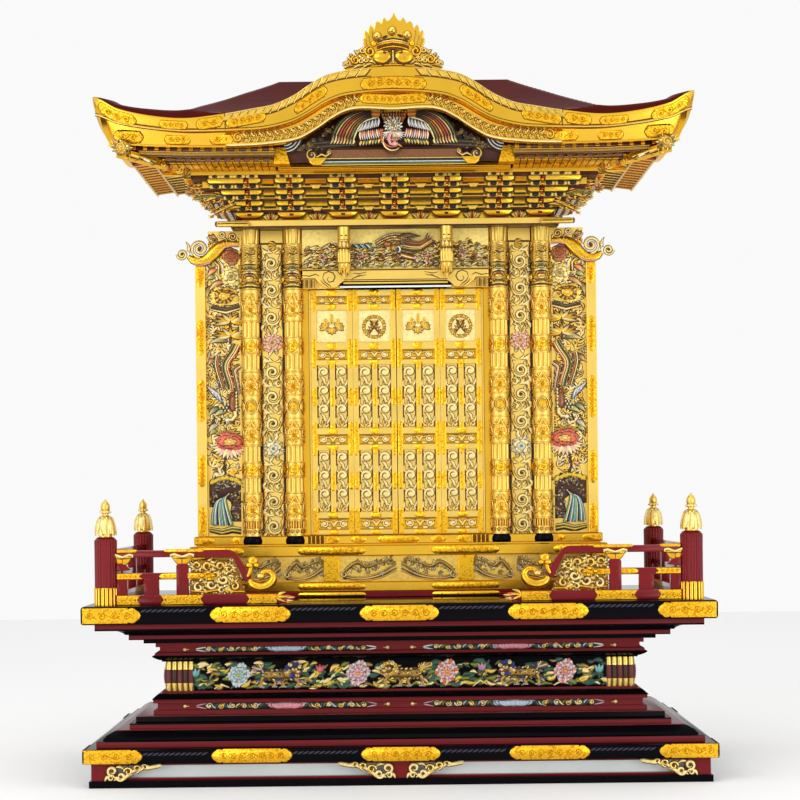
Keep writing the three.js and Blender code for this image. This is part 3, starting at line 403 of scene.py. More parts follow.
class Carving:
    """Relief gathered stroke by stroke: a runs along the face, b up it and h out of it."""

    # tint of the painted shade that rings each raised form
    cut = "cut"

    def __init__(self, place, flip=False, rim=0.0):
        self.place, self.flip, self.rim, self.count = place, flip, rim, 0
        self.points, self.tints, self.quads, self.polygons = [], [], [], []

    def gather(self, points, tints, quads, polygons):
        self.points.append(np.stack(self.place(*np.asarray(points, float).T), axis=1))
        self.tints.append(tints)
        if len(quads):
            self.quads.append(np.asarray(quads) + self.count)
        self.polygons += [[i + self.count for i in face] for face in polygons]
        self.count += len(points)

    def shade(self, tint, depth):
        """Blends a tint towards dark brown where depth is 0: painted shade at each form's foot."""
        top = np.array(TINTS[tint] if isinstance(tint, str) else tint)
        low = top * 0.16 + np.array(TINTS["recess_shade"]) * 0.42
        return low + np.clip(np.asarray(depth, float), 0, 1)[:, None] * (top - low)

    def stroke(self, path, radii, tint="gold", proud=1.0, base=0.0, sides=4):
        """Rounded ridge along a path of (a, b) or (a, b, h), as wide as the radii say."""
        line = np.array(path, float)
        if line.shape[1] == 2:
            line = np.column_stack([line, np.zeros(len(line))])
        n, m = len(line), sides + 1
        spread = np.linspace(0, 1, n)
        r = np.interp(spread, np.linspace(0, 1, len(radii)), radii)
        along = np.gradient(line[:, :2], axis=0)
        along /= np.linalg.norm(along, axis=1)[:, None] + 1e-9
        across = np.column_stack([-along[:, 1], along[:, 0]])
        angle = np.linspace(0, PI, m)
        ring = np.empty((n, m, 3))
        aside = (r[:, None] * np.cos(angle))[..., None]
        ring[:, :, :2] = line[:, None, :2] + across[:, None] * aside
        ring[:, :, 2] = line[:, None, 2] + base + proud * r[:, None] * np.sin(angle)
        # painted shade: the ridge darkens down its flanks towards the ground
        shade = np.tile(np.sin(angle) * 1.5, n)
        i, k = np.meshgrid(np.arange(n - 1), np.arange(m), indexing="ij")
        nxt = (k + 1) % m
        quads = np.stack([i * m + k, i * m + nxt, (i + 1) * m + nxt, (i + 1) * m + k], -1)
        self.gather(ring.reshape(-1, 3), self.shade(tint, shade), quads.reshape(-1, 4),
                    [list(range(m))[::-1], [(n - 1) * m + k for k in range(m)]])
        if self.rim:
            self.rim_shade(line[:, :2], across, r + self.rim, line[:, 2] + base)

    def rim_shade(self, line, across, half, level):
        """Painted shade: a dark flat ring round a raised form where it meets the ground."""
        n = len(line)
        edge = np.empty((n, 3, 3))
        for j, side in enumerate((-1, 0, 1)):
            edge[:, j, :2] = line + across * (half * side)[:, None]
            edge[:, j, 2] = level + (0.9 if side == 0 else 0.15)
        quads = [[i * 3 + j, i * 3 + 3 + j, i * 3 + 4 + j, i * 3 + 1 + j]
                 for i in range(n - 1) for j in range(2)]
        bottom = [i * 3 for i in range(n)] + [i * 3 + 2 for i in range(n - 1, -1, -1)]
        tints = np.tile(TINTS[self.cut], (3 * n, 1))
        self.gather(edge.reshape(-1, 3), tints, quads, [bottom])

    def petal(self, start, end, width, rise, tint="gold", tip=None, bend=0.0, lift=0.0,
              base=0.0, full=0.75, vein=0.25, n=5, m=4, blunt=1.0):
        """Leaf, petal or feather from start to end, crowned, with a sunk vein."""
        (a0, b0), (a1, b1) = start, end
        length = hypot(a1 - a0, b1 - b0) + 1e-9
        along = np.array([(a1 - a0), (b1 - b0)]) / length
        across = np.array([-along[1], along[0]])
        t = np.linspace(0, 1, n + 1)
        s = np.linspace(-1, 1, m + 1)
        half = width / 2 * (0.1 + 0.9 * np.clip(np.sin(PI * t ** full), 0, 1) ** blunt)
        mid = np.outer(t * length, along) + np.outer(4 * bend * length * t * (1 - t), across)
        mid += np.array([a0, b0])
        grid = np.empty((n + 1, m + 1, 3))
        grid[:, :, :2] = mid[:, None] + across * (half[:, None] * s)[..., None]
        crown = 1 - s ** 2 - vein * (np.abs(s) < 0.01)
        body = np.sin(PI * (0.12 + 0.8 * t))
        grid[:, :, 2] = base + lift * t[:, None] + rise * body[:, None] * crown
        # painted shade: the leaf darkens towards its edges, where it meets the ground
        tints = self.shade(tint, np.tile(np.minimum(1, crown * 1.6), n + 1))
        if tip:
            blend = np.repeat(t, m + 1)[:, None] ** 1.5
            tints = tints * (1 - blend) + self.shade(tip, np.tile(crown * 2, n + 1)) * blend
        w = m + 1
        i, k = np.meshgrid(np.arange(n), np.arange(m), indexing="ij")
        quads = np.stack([i * w + k, (i + 1) * w + k, (i + 1) * w + k + 1, i * w + k + 1], -1)
        rim = list(range(w)) + [i * w + m for i in range(1, n + 1)]
        rim += [n * w + k for k in range(m - 1, -1, -1)] + [i * w for i in range(n - 1, 0, -1)]
        self.gather(grid.reshape(-1, 3), tints, quads.reshape(-1, 4), [rim])
        if self.rim:
            self.rim_shade(mid, np.tile(across, (n + 1, 1)), half + self.rim, base + lift * t)

    def bead(self, a, b, h, radii, tint="gold", around=8, up=4):
        """Rounded boss or limb: an ellipsoid of three radii."""
        ra, rb, rh = radii
        turn = np.arange(around) / around * 2 * PI
        rows = [np.array([[0, 0, -1.0]])]
        for j in range(1, up):
            phi = -PI / 2 + PI * j / up
            rows.append(np.column_stack([cos(phi) * np.cos(turn),
                                         cos(phi) * np.sin(turn),
                                         np.full(around, sin(phi))]))
        rows.append(np.array([[0, 0, 1.0]]))
        unit = np.vstack(rows)
        last = len(unit) - 1
        quads = [[1 + j * around + k, 1 + j * around + (k + 1) % around,
                  1 + (j + 1) * around + (k + 1) % around, 1 + (j + 1) * around + k]
                 for j in range(up - 2) for k in range(around)]
        caps = [[0, 1 + (k + 1) % around, 1 + k] for k in range(around)]
        top = 1 + (up - 2) * around
        caps += [[last, top + k, top + (k + 1) % around] for k in range(around)]
        # painted shade: the bead darkens towards its foot
        self.gather(unit * [ra, rb, rh] + [a, b, h], self.shade(tint, unit[:, 2] + 0.75),
                    quads, caps)

    def plate(self, outline, h0, h1, tint="gold", ease=1.0):
        """Flat piece cut to an outline of (a, b), with eased edges."""
        line = np.array(outline, float)
        nxt, prev = np.roll(line, -1, 0), np.roll(line, 1, 0)
        area = np.sum(line[:, 0] * nxt[:, 1] - nxt[:, 0] * line[:, 1])
        if area < 0:
            line = line[::-1]
            nxt, prev = np.roll(line, -1, 0), np.roll(line, 1, 0)
        along = (nxt - line) / (np.linalg.norm(nxt - line, axis=1)[:, None] + 1e-9)
        along += (line - prev) / (np.linalg.norm(line - prev, axis=1)[:, None] + 1e-9)
        along /= np.linalg.norm(along, axis=1)[:, None] + 1e-9
        inner = line + np.column_stack([-along[:, 1], along[:, 0]]) * ease
        n = len(line)
        points = np.vstack([np.column_stack([line, np.full(n, h0)]),
                            np.column_stack([line, np.full(n, h1 - ease)]),
                            np.column_stack([inner, np.full(n, h1)])])
        quads = [[j * n + i, j * n + (i + 1) % n, (j + 1) * n + (i + 1) % n, (j + 1) * n + i]
                 for j in range(2) for i in range(n)]
        # painted shade: the plate's sides are darker than its face
        depth = np.repeat([0.15, 0.6, 1.0], n)
        self.gather(points, self.shade(tint, depth), quads,
                    [list(range(n))[::-1], [2 * n + i for i in range(n)]])

    def make(self, name, finish="carving", **ties):
        """Turns the gathered relief into a settled piece."""
        faces = (np.concatenate(self.quads).tolist() if self.quads else []) + self.polygons
        if self.flip:
            faces = [face[::-1] for face in faces]
        ob = shell(name, (np.concatenate(self.points) * MM).tolist(), faces)
        tint = ob.data.attributes.new("tint", "FLOAT_COLOR", "POINT")
        tint.data.foreach_set("color", np.concatenate(self.tints).astype(np.float32).ravel())
        ob.data.shade_smooth()
        return settle(ob, name, finish, smooth=50, **ties)


# ---------------------------------------------------------------- motifs
def volute(c, a, b, r, sense=1, start=0.0, width=4.0, turns=1.3, tint="gold", base=0.0,
           eye=None, steps=14, proud=1.0):
    """One scroll that winds inward to an eye."""
    t = np.linspace(0, 1, steps)
    angle = start + sense * t * turns * 2 * PI
    reach = r * (1 - 0.8 * t)
    c.stroke(np.column_stack([a + reach * np.cos(angle), b + reach * np.sin(angle)]),
             [width * 0.35, width * 0.6, width * 0.45], tint, proud, base)
    c.bead(a, b, base, (width * 0.75, width * 0.75, width * 0.9 * proud), eye or tint, 7, 4)


def smooth_line(points, n=6):
    """Smooth curve through a row of points."""
    p = np.array(points, float)
    p = np.vstack([2 * p[0] - p[1], p, 2 * p[-1] - p[-2]])
    t = np.linspace(0, 1, n, endpoint=False)[:, None]
    runs = [0.5 * (2 * p[i] + (p[i + 1] - p[i - 1]) * t
                   + (2 * p[i - 1] - 5 * p[i] + 4 * p[i + 1] - p[i + 2]) * t ** 2
                   + (3 * p[i] - p[i - 1] - 3 * p[i + 1] + p[i + 2]) * t ** 3)
            for i in range(1, len(p) - 2)]
    return np.vstack(runs + [p[-2]])


def vine(c, start, end, count, r, width=4.0, tint="gold", leaf="pale", leaves=2, base=0.0,
         sway=0.95):
    """Running scroll: a waving stem with a volute in each bay and leaves between."""
    (a0, b0), (a1, b1) = start, end
    length = hypot(a1 - a0, b1 - b0)
    along = np.array([a1 - a0, b1 - b0]) / length
    across = np.array([-along[1], along[0]])
    heading = atan2(along[1], along[0])
    t = np.linspace(0, 1, count * 6 + 1)
    wave = -sway * r * np.sin(PI * count * t)
    stem = np.array(start) + np.outer(t * length, along) + np.outer(wave, across)
    c.stroke(stem, [width * 0.3, width * 0.5, width * 0.3], tint, 1.0, base)
    for i in range(count):
        turn = (-1) ** i
        spot = np.array(start) + along * length * (i + 0.5) / count + across * turn * 0.12 * r
        volute(c, *spot, r, turn, heading - turn * PI / 2, width, 1.25, tint, base)
        knot = np.array(start) + along * length * i / count
        for side in (1, -1)[:leaves]:
            angle = heading + side * 1.05
            tip = knot + r * 1.15 * np.array([cos(angle), sin(angle)])
            c.petal(knot, tip, r * 0.62, width * 0.55, leaf, bend=-0.12 * side, base=base)
        if leaves > 2:
            angle = heading + turn * PI * 0.62
            root = spot + r * 0.85 * np.array([cos(angle), sin(angle)])
            tip = root + r * 0.75 * np.array([cos(angle), sin(angle)])
            c.petal(root, tip, r * 0.5, width * 0.5, leaf, base=base)


def flower(c, a, b, r, tints=("pink", "red"), count=7, rings=3, base=0.0, heart="leafgold",
           flat=1.0, turn=0.2, tall=1.0, edge="cream"):
    """Open peony: rings of cupped petals that rise towards the heart."""
    for ring in range(rings):
        reach = r * (1 - 0.28 * ring)
        for i in range(count):
            angle = turn + (i + 0.5 * ring) * 2 * PI / count + 0.12 * sin(3.3 * i + ring)
            long = reach * (1 + 0.1 * sin(2.1 * i + 1.7 * ring))
            for fan in (-1, 1, 0):
                lean = angle + fan * 1.5 / count
                way = np.array([cos(lean), sin(lean) * flat])
                c.petal(np.array([a, b]) + way * reach * 0.1,
                        np.array([a, b]) + way * long * (1 - 0.07 * abs(fan)), reach * 4.3 / count,
                        r * 0.13 * tall, tints[min(ring, len(tints) - 1)],
                        edge if fan and r > 15 else None, base=base + ring * r * 0.12 * tall,
                        full=1.4, vein=0.1, n=4, m=3, blunt=0.6)
    c.bead(a, b, base + r * 0.3 * tall, (r * 0.16, r * 0.16 * flat, r * 0.14 * tall), heart)


def sprig(c, a, b, angle, length, count=3, spread=0.55, tint="pale", tip=None, width=0.34,
          base=0.0):
    """Fan of leaves from one point."""
    for i in range(count):
        off = i - (count - 1) / 2
        way = angle + spread * off
        reach = length * (1 - 0.12 * abs(off))
        c.petal((a, b), ray(a, b, way, reach),
                length * width, length * 0.11, tint, tip, 0.1 * off, base=base)


def bud(c, a, b, r, tints, base):
    """Closed flower on its calyx."""
    for off in (-0.5, 0.5, 0):
        way = PI / 2 + off
        c.petal((a, b), ray(a, b, way, 1.5 * r), r * 0.95,
                r * 0.4, tints[0], tints[-1], base=base + r * 0.1 * (off == 0), full=0.6)
    sprig(c, a, b, 1.5 * PI, r * 1.1, 3, 0.9, "green", base=base)


def lion(c, a, b, size, facing=1, coat="gold", mane="leafgold", base=0.0):
    """Guardian lion in profile with a curled mane and a plumed tail."""
    def at(x, y):
        return a + facing * x * size * 1.3, b + y * size

    for x, y, ra, rb, rh in ((0, 0.02, 0.42, 0.2, 0.14), (-0.3, 0.02, 0.25, 0.24, 0.15),
                             (0.25, 0.06, 0.25, 0.25, 0.16)):
        c.bead(*at(x, y), base, (size * ra, size * rb, size * rh), coat, 12, 5)
    for x, lean in ((-0.44, -0.1), (-0.22, 0.12), (0.18, -0.1), (0.4, 0.16)):
        c.stroke([at(x, -0.08), at(x + lean, -0.25), at(x + lean * 0.6, -0.42)],
                 [size * 0.1, size * 0.07, size * 0.07], coat, 0.8, base)
        c.petal(at(x + lean, -0.16), at(x + lean * 2.4, -0.34), size * 0.12, size * 0.05, mane,
                "cream", base=base + size * 0.05)
        for k in range(3):
            c.bead(*at(x + lean * 0.6 - 0.04 + 0.05 * k, -0.43), base,
                   (size * 0.035, size * 0.035, size * 0.06), "ice", 6, 3)
    for i in range(30):
        x, y = -0.42 + 0.84 * (i * SCATTER % 1), 0.2 * sin(i * 2.1)
        c.petal(at(x, y), at(x - 0.07, y + 0.06), size * 0.07, size * 0.03,
                ("cream", mane, "umber", "khaki")[i % 4], base=base + size * 0.13)
    for i in range(11):
        angle = 0.5 + i * 0.52
        volute(c, *at(0.42 + 0.2 * cos(angle), 0.2 + 0.22 * sin(angle)), size * 0.085,
               facing, angle, size * 0.05, 1.2, ("cream", mane, mane)[i % 3], base + size * 0.12,
               None, 9)
    c.bead(*at(0.44, 0.2), base + size * 0.12, (size * 0.15, size * 0.15, size * 0.14), coat, 10, 5)
    c.bead(*at(0.55, 0.13), base + size * 0.17, (size * 0.1, size * 0.07, size * 0.1), "cream", 8,
           4)
    c.stroke([at(0.46, 0.1), at(0.55, 0.08), at(0.63, 0.11)], [size * 0.02] * 2, "coral", 1,
             base + size * 0.25)
    for x in (0.4, 0.5):
        c.bead(*at(x, 0.24), base + size * 0.25, (size * 0.035,) * 3, "white", 6, 3)
    for i in range(9):
        way = 1.0 + i * 0.24
        tip = at(-0.44 + 0.34 * cos(way + 0.5), 0.1 + 0.32 * sin(way))
        c.stroke(smooth_line([at(-0.42, 0.02), at(-0.5 + 0.02 * i, 0.16), tip], 3),
                 [size * 0.03, size * 0.045, size * 0.02], (mane, coat, "cream", coat)[i % 4], 1,
                 base + size * 0.03)


def lobed(a0, a1, b0, b1, reach=None, ends=(1, 1)):
    """Outline of a fitting whose ends step in and swell to a point."""
    mid, half = (b0 + b1) / 2, (b1 - b0) / 2
    reach = reach or half * 1.7
    shape = [(1.0, 1.0), (0.92, 0.84), (0.84, 0.9), (0.66, 0.97), (0.46, 0.9), (0.36, 0.7),
             (0.28, 0.66), (0.1, 0.4), (0.0, 0.0)]
    right = [(a1 - reach * s, mid + half * t) for s, t in shape]
    right += [(x, 2 * mid - z) for x, z in right[-2::-1]]
    left = [(a0 + reach * s, mid - half * t) for s, t in shape]
    left += [(x, 2 * mid - z) for x, z in left[-2::-1]]
    if not ends[0]:
        left = [(a0, b0), (a0, b1)]
    if not ends[1]:
        right = [(a1, b1), (a1, b0)]
    return right + left


def chased_plate(plates, relief, a0, a1, b0, b1, thick=2.0, ends=(1, 1)):
    """Gilt fitting: a lobed plate with a fine vine and beads chased on it."""
    plates.plate(lobed(a0, a1, b0, b1, ends=ends), -1, thick, ease=0.8)
    relief.plate(lobed(a0 - ends[0], a1 + ends[1], b0 - 0.8, b1 + 0.8,
                       (b1 - b0) * 0.85 + 1, ends), -1, thick * 0.3, "bronze", 0.3)
    half = (b1 - b0) / 2
    inset = half * 0.9
    mid = (b0 + b1) / 2
    count = max(2, round((a1 - a0 - 2 * inset) / (half * 1.5)))
    vine(relief, (a0 + inset * ends[0] + 3, mid), (a1 - inset * ends[1] - 3, mid), count,
         half * 0.5, half * 0.14, "rustgold", "gold", 2, thick - 0.5, 0.6)


# ---------------------------------------------------------------- pedestal
PLATE_SPANS = [(-905, -738), (-540, -310), (-113, 113), (310, 540), (738, 905)]


def build_boards(sizes):
    """Black boards with rounded lips and gilt plates along their edges."""
    for name, z0, z1 in (("lower_board", 70, 112), ("top_board", 468, 521)):
        lip = [(z0, 5), (z0 + 3, 1.5), (z0 + 8, 0), (z1 - 9, 0), (z1 - 5, 1), (z1 - 2, 3.5),
               (z1 - 0.6, 6.5), (z1, 11)]
        board = stack([(z, HALF_W - i, HALF_D - 2 - i) for z, i in lip])
        board.data.shade_smooth()
        settle(board, f"{name}_lacquered", "black", replaces=[name], smooth=40)
        rope = Carving(upright(-HALF_D + 2.5))
        for (_, a0), (a1, _) in zip(PLATE_SPANS, PLATE_SPANS[1:]):
            for a in np.arange(a0 + 8, a1 - 12, 15.5):
                # the rope's navy tint is painted sheen on the black lacquer
                rope.stroke([(a - 9, z1 - 18), (a, z1 - 14), (a + 9, z1 - 10)], [1, 3.4, 1],
                            "sheen_navy", 1.0, 0.4, 5)
        rope.make(f"{name}_twisted_moulding")
        end_spans = [(-HALF_D + 4, -HALF_D + 150), (HALF_D - 150, HALF_D - 4)]
        faces = [(upright(-HALF_D + 2), PLATE_SPANS)]
        faces += [(flank(HALF_W - 1, s), end_spans) for s in (1, -1)]
        for i, (place, spans) in enumerate(faces):
            plates, relief = Carving(place), Carving(place)
            for a0, a1 in spans:
                last = max(abs(a0), abs(a1)) > (900 if i == 0 else 440)
                ends = (not (last and a0 < 0), not (last and a0 > 0))
                chased_plate(plates, relief, a0, a1, z0 + (4 if z0 > 99 else 1.5),
                             z1 - (5 if z0 > 99 else 1), mm(sizes.board_plate), ends)
            plates.make(f"{name}_plates_{i}", "chased")
            relief.make(f"{name}_plate_vines_{i}", slot="gilt_fittings")


def build_courses():
    """Stepped courses above and below the waist."""
    for name, levels in {
        "lower_steps": [(112.3, 35), (130, 35), (131, 50), (137, 53), (146, 62), (153, 74),
                        (158, 86), (158.2, 119), (172, 119), (172.2, 132), (176, 135.5),
                        (190, 135.5), (190.2, 181), (202, 181)],
        "lower_fillet": [(223.3, 180), (233.5, 180), (233.7, 176), (240, 182), (247, 190),
                         (251, 197), (251.2, 204), (256, 204)],
        "upper_fillet": [(344, 204), (348, 204), (350, 196), (356, 184), (361, 178), (362, 178),
                         (362.2, 186), (371, 186)],
        "upper_steps": [(388.3, 188), (402, 188), (402.2, 157), (415, 157), (415.2, 119),
                        (431, 119), (431.2, 110), (437, 105), (443, 93), (448, 70), (448.2, 34),
                        (467.7, 34)],
    }.items():
        settle(course(levels, 0.8), f"{name}_lacquered", "banded", replaces=[name], smooth=35)


def half_lotus(c, a, z0, z1, tints):
    """Half lotus seen from the side, wide at the top."""
    height = z1 - z0
    for row, spread in enumerate((11.6, 10.4)):
        for i in range(11 - row):
            off = i - (10 - row) / 2
            c.petal((a + off * 4, z0 + 0.6),
                    (a + off * spread, z1 - height * 0.05 * abs(off) ** 1.1),
                    15, 2.2, tints[(i + row) % 2], tints[1], base=1.4 * row, full=1.3, blunt=0.6)
    c.stroke([(a - 26, z0 + 1.6), (a, z0 + 0.8), (a + 26, z0 + 1.6)], [1, 1.8, 1], tints[0])
    c.stroke([(a - 62, z1 - 4), (a, z1 - 1.4), (a + 62, z1 - 4)], [1.4, 1.8, 1.4], tints[1])


def build_bands():
    """Narrow bands with leaf scrolls, gilt studs and half lotus flowers."""
    for name, z0, z1, inset, order in (("lower_band", 202.3, 223, 192, ("lotus", "ice")),
                                       ("upper_band", 371.3, 388, 199, ("ice", "lotus"))):
        settle(course([(z0, inset), (z1, inset)], 0.4), f"{name}_ground", "red", replaces=[name])
        mid, half = (z0 + z1) / 2, (z1 - z0) / 2 + 0.6
        relief = Carving(upright(inset - HALF_D), rim=0.8)
        for side in (-1, 1):
            a0, a1, centre = (side * v for v in (62, 610, 336))
            relief.plate([(a0, mid), (a0 + side * 40, mid + half * 0.8),
                          (a0 + side * 60, mid + half),
                          (a1 - side * 60, mid + half), (a1 - side * 40, mid + half * 0.8),
                          (a1, mid), (a1 - side * 40, mid - half * 0.8),
                          (a1 - side * 60, mid - half), (a0 + side * 60, mid - half),
                          (a0 + side * 40, mid - half * 0.8)], -0.6, 0.5, "ink", 0.3)
            for stud in (36, 636):
                relief.bead(side * stud, mid, 0, (5.6, 5.6, 5), "cream", 12, 6)
                relief.petal((side * stud, mid), (side * (stud + (14 if stud < 99 else -14)), mid),
                             5, 2, "gold")
            for end, way in ((a0, side), (a1, -side)):
                for up in (1, -1):
                    relief.petal((end + way * 4, mid + up), (end + way * 42, mid + up * half * 0.8),
                                 5, 2, "lotus" if order[0] == "lotus" else "white", base=0.5)
            for i in range(52):
                a = a0 + side * (44 + i * 8.9)
                if abs(a - centre) < 60:
                    continue
                tilt = copysign(1, sin(i * 0.9))
                relief.petal((a, mid - half * 0.6 * tilt),
                             (a + side * 15, mid + half * 0.75 * tilt),
                             5.6, 1.8, ("green", "cream", "moss", "green", "ice")[i % 5],
                             base=0.4, bend=0.2 * tilt)
            for i, off in enumerate((-228, -194, -160, -126, -92, 92, 126, 160, 194, 228)):
                volute(relief, centre + off, mid + (-1) ** i, half * 0.82, (-1) ** i, i, 3.6, 1.3,
                       ("cream", "wheat")[i % 2], 1, "white" if i % 3 == 0 else None, 12)
            which = order[0] if side < 0 else order[1]
            half_lotus(relief, centre, z0 + 0.5, z1 - 0.5,
                       ("pink", "lotus") if which == "lotus" else ("sky", "ice"))
        relief.make(f"{name}_relief")
        for s in (1, -1):
            end = Carving(flank(HALF_W - inset, s))
            end.plate(lobed(-225, 225, z0 + 1, z1 - 1), -0.6, 0.5, "ink", 0.3)
            vine(end, (-200, mid), (200, mid), 16, half * 0.62, 2.0, "moss", "green", 2, 0.5)
            end.make(f"{name}_end_relief_{'rl'[s < 0]}")


def ribs(c, a0, pitch, count, z0, z1, outward):
    """Upright half-round ribs that swell at mid height: gold ends, red and black middle."""
    for i in range(count):
        a = a0 + (i + 0.5) * pitch * outward
        for lo, hi, tint in ((0, 0.28, "pale"), (0.28, 0.72, ("rustred", "cocoa")[i % 2]),
                             (0.72, 1, "pale")):
            t = np.linspace(lo, hi, 5)
            line = [(a, z0 + (z1 - z0) * v, 6.5 * sin(PI * v) - 2) for v in t]
            c.stroke(line, [pitch * 0.46] * 2, tint, 0.85)
        for cut in (0.28, 0.72):
            c.bead(a, z0 + (z1 - z0) * cut, 6.5 * sin(PI * cut) - 1,
                   (pitch * 0.5, 1.6, pitch * 0.42), "deep", 8, 3)


def build_waist(sizes):
    """Carved drum: peonies and lions among leaves between ribbed corners."""
    inset, z0, z1 = 210, 256.4, 343.6
    ground = stack([(z, HALF_W - inset - 9 - i, HALF_D - inset - i) for z, i in (
        (z0, 3), (z0 + 12, 0), (z1 - 12, 0), (z1, 3))])
    settle(ground, "waist_ground", "black", replaces=["waist_drum"], smooth=60)
    front = Carving(upright(inset - HALF_D), rim=1.3)
    half = HALF_W - inset
    for side in (-1, 1):
        ribs(front, side * (half - 6), 16.4, 5, z0, z1, -side)
    mid = (z0 + z1) / 2
    plan = [(-606, -2, 17, "bud", ("teal", "sky")), (-477, 2, 36, "flower", ("ice", "sky", "teal")),
            (-358, 0, 80, "lion", ("khaki", "blue")), (-237, 8, 16, "bud", ("pink", "red")),
            (-124, 4, 38, "flower", ("lotus", "mauve", "pink")),
            (12, 0, 82, "lion", ("khaki", "leafgold")),
            (139, 6, 37, "flower", ("orange", "lotus", "orange")),
            (243, 8, 16, "bud", ("mauve", "lotus")), (358, 0, 80, "lion", ("khaki", "blue")),
            (489, 4, 36, "flower", ("pink", "lotus", "red")), (590, -2, 17, "bud", ("teal", "sky"))]
    taken = [(a, r if kind != "lion" else r * 0.55) for a, _, r, kind, _ in plan]
    greens = ("green", "green", "moss", "cream", "yellow", "green", "cream", "wheat", "green",
              "khaki")
    for _ in range(sizes.waist_leaves):
        a = rng.uniform(-half + 92, half - 92)
        b = rng.uniform(z0 + 8, z1 - 8)
        close = any(abs(a - at) < reach * 0.8 and abs(b - mid) < reach * 0.9
                    for at, reach in taken)
        if close:
            continue
        size = rng.uniform(18, 38)
        angle = rng.uniform(-0.5, 0.9) + (PI if rng.random() < 0.4 else 0)
        a1, b1 = a + size * cos(angle), b + size * sin(angle)
        if not z0 + 3 < b1 < z1 - 3:
            continue
        front.petal((a, b), (a1, b1), size * rng.uniform(0.32, 0.5), rng.uniform(2.5, 5),
                    rng.choice(greens), base=rng.uniform(0, 3), bend=rng.uniform(-0.2, 0.2))
    for i in range(26):
        a = -half + 100 + i * (2 * half - 200) / 25
        front.stroke([(a, z0 + 5), (a + 22, z0 + 12 + 5 * (i % 3)), (a + 44, z0 + 9)],
                     [1.5, 4.5, 1.5], rng.choice(("moss", "cream", "green", "khaki")), base=1)
    for a, up, size, kind, tints in plan:
        if kind == "flower":
            flower(front, a, mid + up, size, tints, 6, 3, 3.0, edge="white")
        elif kind == "bud":
            bud(front, a, mid + up, size, tints, 3.0)
            front.stroke([(a, mid + up), (a + 12, mid - 20), (a + 34, z0 + 10)], [2, 3, 2], "green")
        else:
            lion(front, a, mid + up, size, 1 if a < 0 else -1, *tints, base=2.0)
    front.make("waist_relief")
    for s in (1, -1):
        end = Carving(flank(HALF_W - inset - 9, s))
        for side in (-1, 1):
            ribs(end, side * (HALF_D - inset + 1), 16.4, 5, z0, z1, -side)
        vine(end, (-150, mid), (150, mid), 5, 26, 6, "moss", "green", 3)
        for a in (-90, 0, 90):
            flower(end, a, mid, 24, ("lotus", "mauve"), 7, 2, 2.0)
        end.make(f"waist_end_relief_{'rl'[s < 0]}")


def cloud_fitting(c, a, way):
    """Gilt cloud: curls at the corner and a long tip that runs out under the board."""
    c.cut = "cocoa"
    for off, z, r, sense, start, w in ((16, 49, 15, -1, -PI / 2, 9), (40, 33, 14, 1, PI, 8),
                                       (62, 47, 13, -1, PI, 8), (86, 56, 12, 1, -PI / 2, 7),
                                       (12, 29, 10, 1, 0, 6), (110, 60, 9, -1, PI, 6)):
        volute(c, a + way * off, z, r, sense * way, start if way > 0 else PI - start, w, 1.15,
               ("cream", "pale")[int(off) % 4 > 1], 1, "umber", 16, 0.9)
    for x0, b0, x1, b1, w in ((-6, 20, 16, 36, 10), (20, 22, 52, 24, 11), (48, 22, 78, 38, 11),
                              (70, 40, 104, 52, 11), (26, 60, 50, 52, 10), (96, 48, 132, 60, 10)):
        c.petal((a + way * x0, b0), (a + way * x1, b1), w, 4, "cream", "pale", bend=0.2 * way,
                base=0.5, blunt=0.8)
    c.stroke([(a + way * 112, 56), (a + way * 134, 60), (a + way * 152, 64)], [5, 6, 6], "cream",
             0.8)
    c.bead(a + way * 150, 64, 0, (9, 6, 5), "cream")


def build_base():
    """Gilt clouds in the corners of the base's windows."""
    clouds = Carving(upright(-HALF_D + 19), rim=1.2)
    for a, way in ((-842, 1), (-22, -1), (22, 1), (842, -1)):
        cloud_fitting(clouds, a, way)
    clouds.make("base_clouds", slot="gilt_fittings")


# ---------------------------------------------------------------- railing
POST_X, POST_Y, POST_R = 845, 390.5, 33


def ring_solid(name, rings):
    """Closed shell from rings of points in mm, with its ends filled."""
    n = len(rings[0])
    faces = [[j * n + i, j * n + (i + 1) % n, (j + 1) * n + (i + 1) % n, (j + 1) * n + i]
             for j in range(len(rings) - 1) for i in range(n)]
    faces += [list(range(n))[::-1], [(len(rings) - 1) * n + i for i in range(n)]]
    ob = shell(name, [tuple(v * MM for v in p) for ring in rings for p in ring], faces)
    ob.data.shade_smooth()
    return ob


def fluted(x, y, levels, flutes, per=6):
    """Upright shaft: levels are (z, radius, flute depth)."""
    count = flutes * per
    rings = []
    for z, r, depth in levels:
        ring = []
        for i in range(count):
            angle = 2 * PI * i / count
            dip = abs(sin(angle * flutes / 2)) ** 0.6
            reach = r - depth * (1 - dip)
            ring.append((x + reach * cos(angle), y + reach * sin(angle), z))
        rings.append(ring)
    return ring_solid("shaft", rings)


